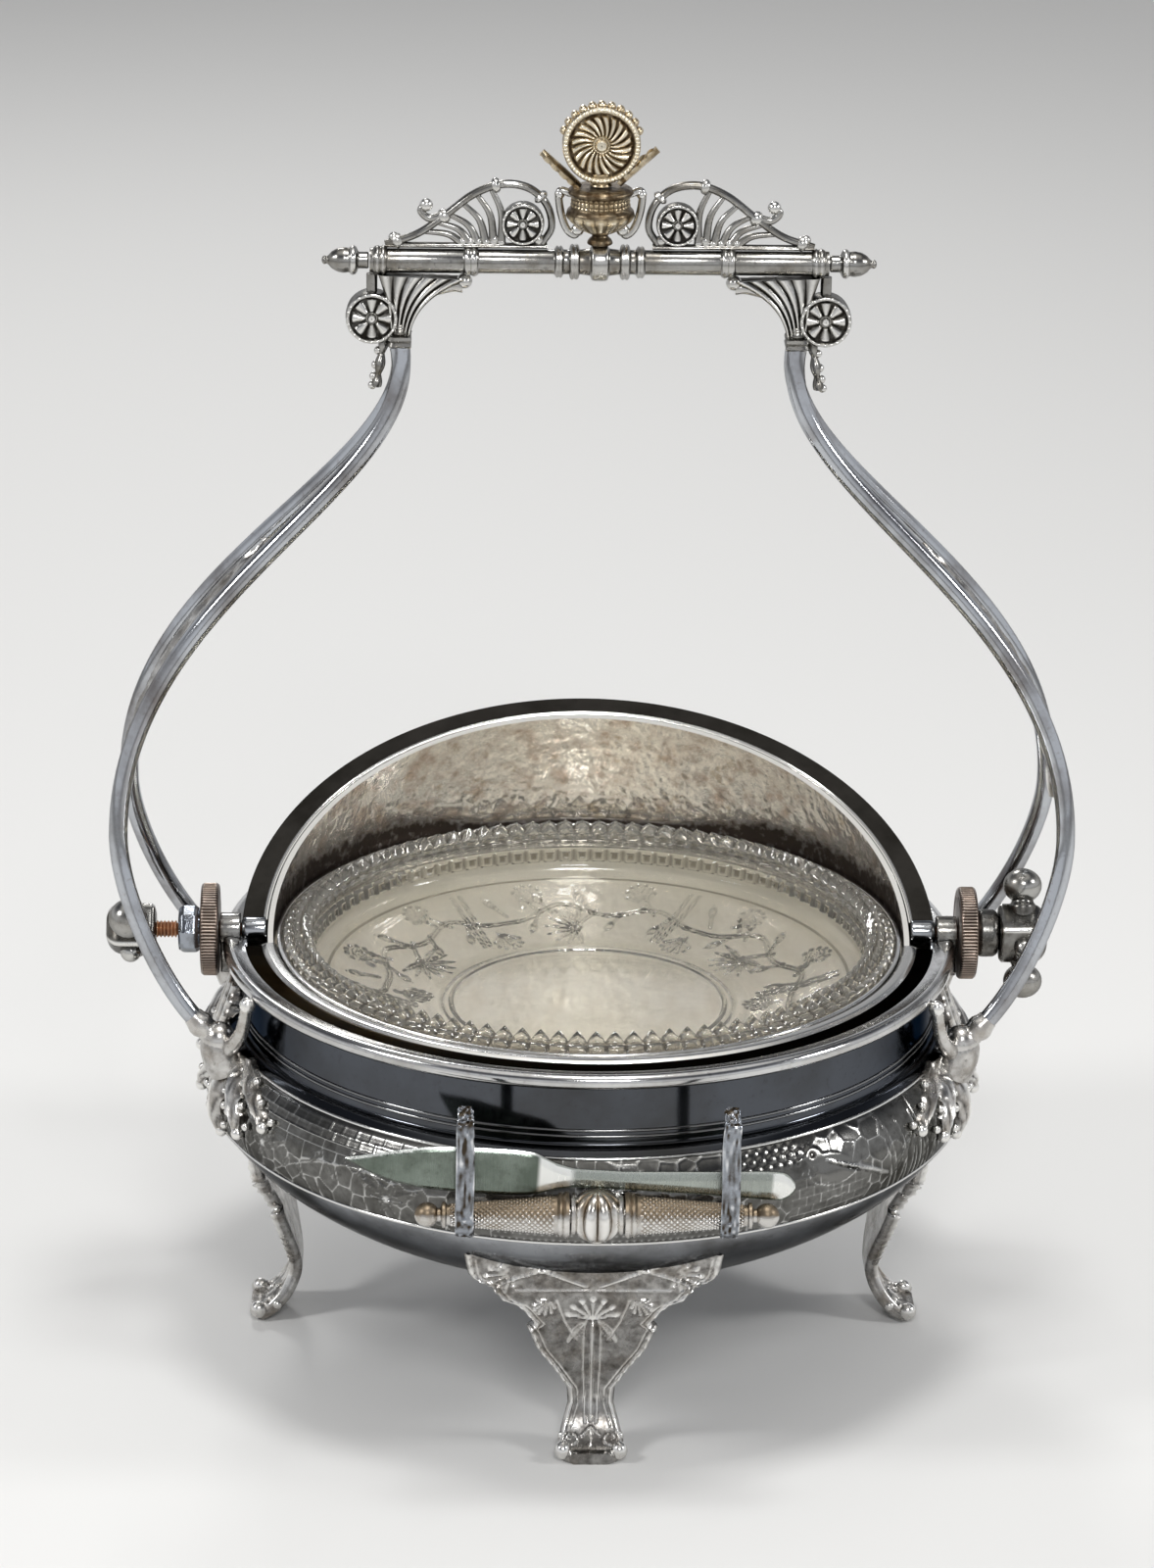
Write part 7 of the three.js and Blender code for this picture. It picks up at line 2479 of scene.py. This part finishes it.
@dataclass
class Studio:
    """A plain pale floor, soft lamps, a pale surround and the camera of the photograph."""

    axis: Pair
    floor_colour: Colour = (0.72, 0.715, 0.70)
    horizon: Colour = (0.74, 0.75, 0.77)
    overhead: Colour = (0.09, 0.095, 0.11)
    zenith: Colour = (0.85, 0.84, 0.82)
    zenith_fade: Pair = (0.76, 0.95)
    fade: Pair = (0.20, 0.62)
    focal: float = 115.065
    place: Point = (-41.75, -1390.2, 681.1)
    pitch: float = 0.3511
    roll: float = 0.015
    yaw: float = 0.027

    def build(self) -> None:
        """Builds the floor, the world, the lamps and the camera."""
        self._floor()
        self._world()
        self._lamp("front_softbox", (150, -1500, 1350), (0, 0, 120), 330, 9)
        self._lamp("left_softbox", (-1300, -500, 1200), (0, 0, 120), 300, 9)
        self._lamp("right_softbox", (1400, -300, 1000), (0, 0, 100), 260, 7)
        self._lamp("rear_softbox", (-300, 1500, 1200), (0, 0, 150), 320, 7)
        self._lamp("top_softbox", (60, -120, 1500), (0, 0, 100), 300, 7)
        self._camera()

    def _floor(self) -> None:
        """Lays the floor, far enough to fill the picture."""
        mesh = bpy.data.meshes.new("floor")
        reach = 12.0
        corners = [(-reach, -reach, 0), (reach, -reach, 0), (reach, reach, 0), (-reach, reach, 0)]
        mesh.from_pydata(corners, [], [(0, 1, 2, 3)])
        floor = bpy.data.objects.new("floor", mesh)
        bpy.context.scene.collection.objects.link(floor)
        nodes = Nodes("pale_floor")
        mesh.materials.append(
            nodes.finish(Base_Color=self.floor_colour, Roughness=0.7, Specular_IOR_Level=0.2)
        )

    def _world(self) -> None:
        """Sets the surround: pale round the horizon, dim above it and pale again straight overhead."""
        world = bpy.data.worlds.new("studio")
        bpy.context.scene.world = world
        world.use_nodes = True
        tree = world.node_tree
        tree.nodes.clear()
        kinds = ("OutputWorld", "Background", "TexCoord", "SeparateXYZ")
        output, light, place, parts = (tree.nodes.new(f"ShaderNode{kind}") for kind in kinds)
        tree.links.new(place.outputs["Generated"], parts.inputs[0])
        below = (*self.horizon, 1)
        for colour, reach in ((self.overhead, self.fade), (self.zenith, self.zenith_fade)):
            fade, mix = tree.nodes.new("ShaderNodeMapRange"), tree.nodes.new("ShaderNodeMix")
            mix.data_type = "RGBA"
            fade.interpolation_type = "SMOOTHSTEP"
            fade.inputs["From Min"].default_value, fade.inputs["From Max"].default_value = reach
            tree.links.new(parts.outputs["Z"], fade.inputs["Value"])
            tree.links.new(fade.outputs["Result"], mix.inputs["Factor"])
            if isinstance(below, tuple):
                mix.inputs["A"].default_value = below
            else:
                tree.links.new(below, mix.inputs["A"])
            mix.inputs["B"].default_value = (*colour, 1)
            below = mix.outputs["Result"]
        tree.links.new(below, light.inputs["Color"])
        tree.links.new(light.outputs[0], output.inputs["Surface"])

    def _lamp(self, name: str, at: Point, target: Point, size: float, power: float) -> None:
        """Adds a square softbox that looks at a point."""
        light = bpy.data.lights.new(name, "AREA")
        light.shape = "SQUARE"
        light.size = size * MM
        light.energy = power
        lamp = bpy.data.objects.new(name, light)
        bpy.context.scene.collection.objects.link(lamp)
        lamp.location = Vector(at) * MM
        lamp.rotation_euler = (Vector(at) - Vector(target)).to_track_quat("Z", "Y").to_euler()

    def _camera(self) -> None:
        """Places the camera of the photograph."""
        data = bpy.data.cameras.new("camera")
        data.lens = self.focal
        data.sensor_width = 36.0
        data.clip_end = 100.0
        camera = bpy.data.objects.new("camera", data)
        bpy.context.scene.collection.objects.link(camera)
        bpy.context.scene.camera = camera
        right0 = np.array([1.0, 0.0, 0.0])
        up0 = np.array([0.0, math.sin(self.pitch), math.cos(self.pitch)])
        forward = np.array([0.0, math.cos(self.pitch), -math.sin(self.pitch)])
        right = math.cos(self.roll) * right0 + math.sin(self.roll) * up0
        up = -math.sin(self.roll) * right0 + math.cos(self.roll) * up0
        c, s = math.cos(self.yaw), math.sin(self.yaw)
        back = np.array([[c, s, 0.0], [-s, c, 0.0], [0.0, 0.0, 1.0]])
        place = (np.array(self.place) + np.array([*self.axis, 0.0])) * MM
        camera.matrix_world = Matrix([*zip(back @ right, back @ up, back @ -forward, place), (0, 0, 0, 1)])
        bpy.context.scene.view_settings.view_transform = "Standard"


def main() -> None:
    """Builds the whole server in the frame, then the studio."""
    logging.basicConfig(level=logging.INFO, format="%(message)s")
    plan, wear = Plan.from_frame(), Wardrobe()
    LOG.info("plan %s", plan)
    rack = KnifeRack(plan, wear)
    assemblies: list[Assembly] = [
        Bowl(plan, wear), Rim(plan, wear), Ring(plan, wear), GlassDish(plan, wear), Lid(plan, wear),
        Spindle(plan, wear, side=Side.LEFT),
        Spindle(plan, wear, side=Side.RIGHT, turn=17.6, bar_turn=-40.0, bared=0.0), Bail(plan, wear),
        Crown(plan, wear), Feet(plan, wear), rack, Knife(plan, wear, rack=rack),
    ]
    for assembly in assemblies:
        assembly.build()
        LOG.info("%s done", type(assembly).__name__)
    Studio(plan.axis).build()


if __name__ == "__main__":
    main()
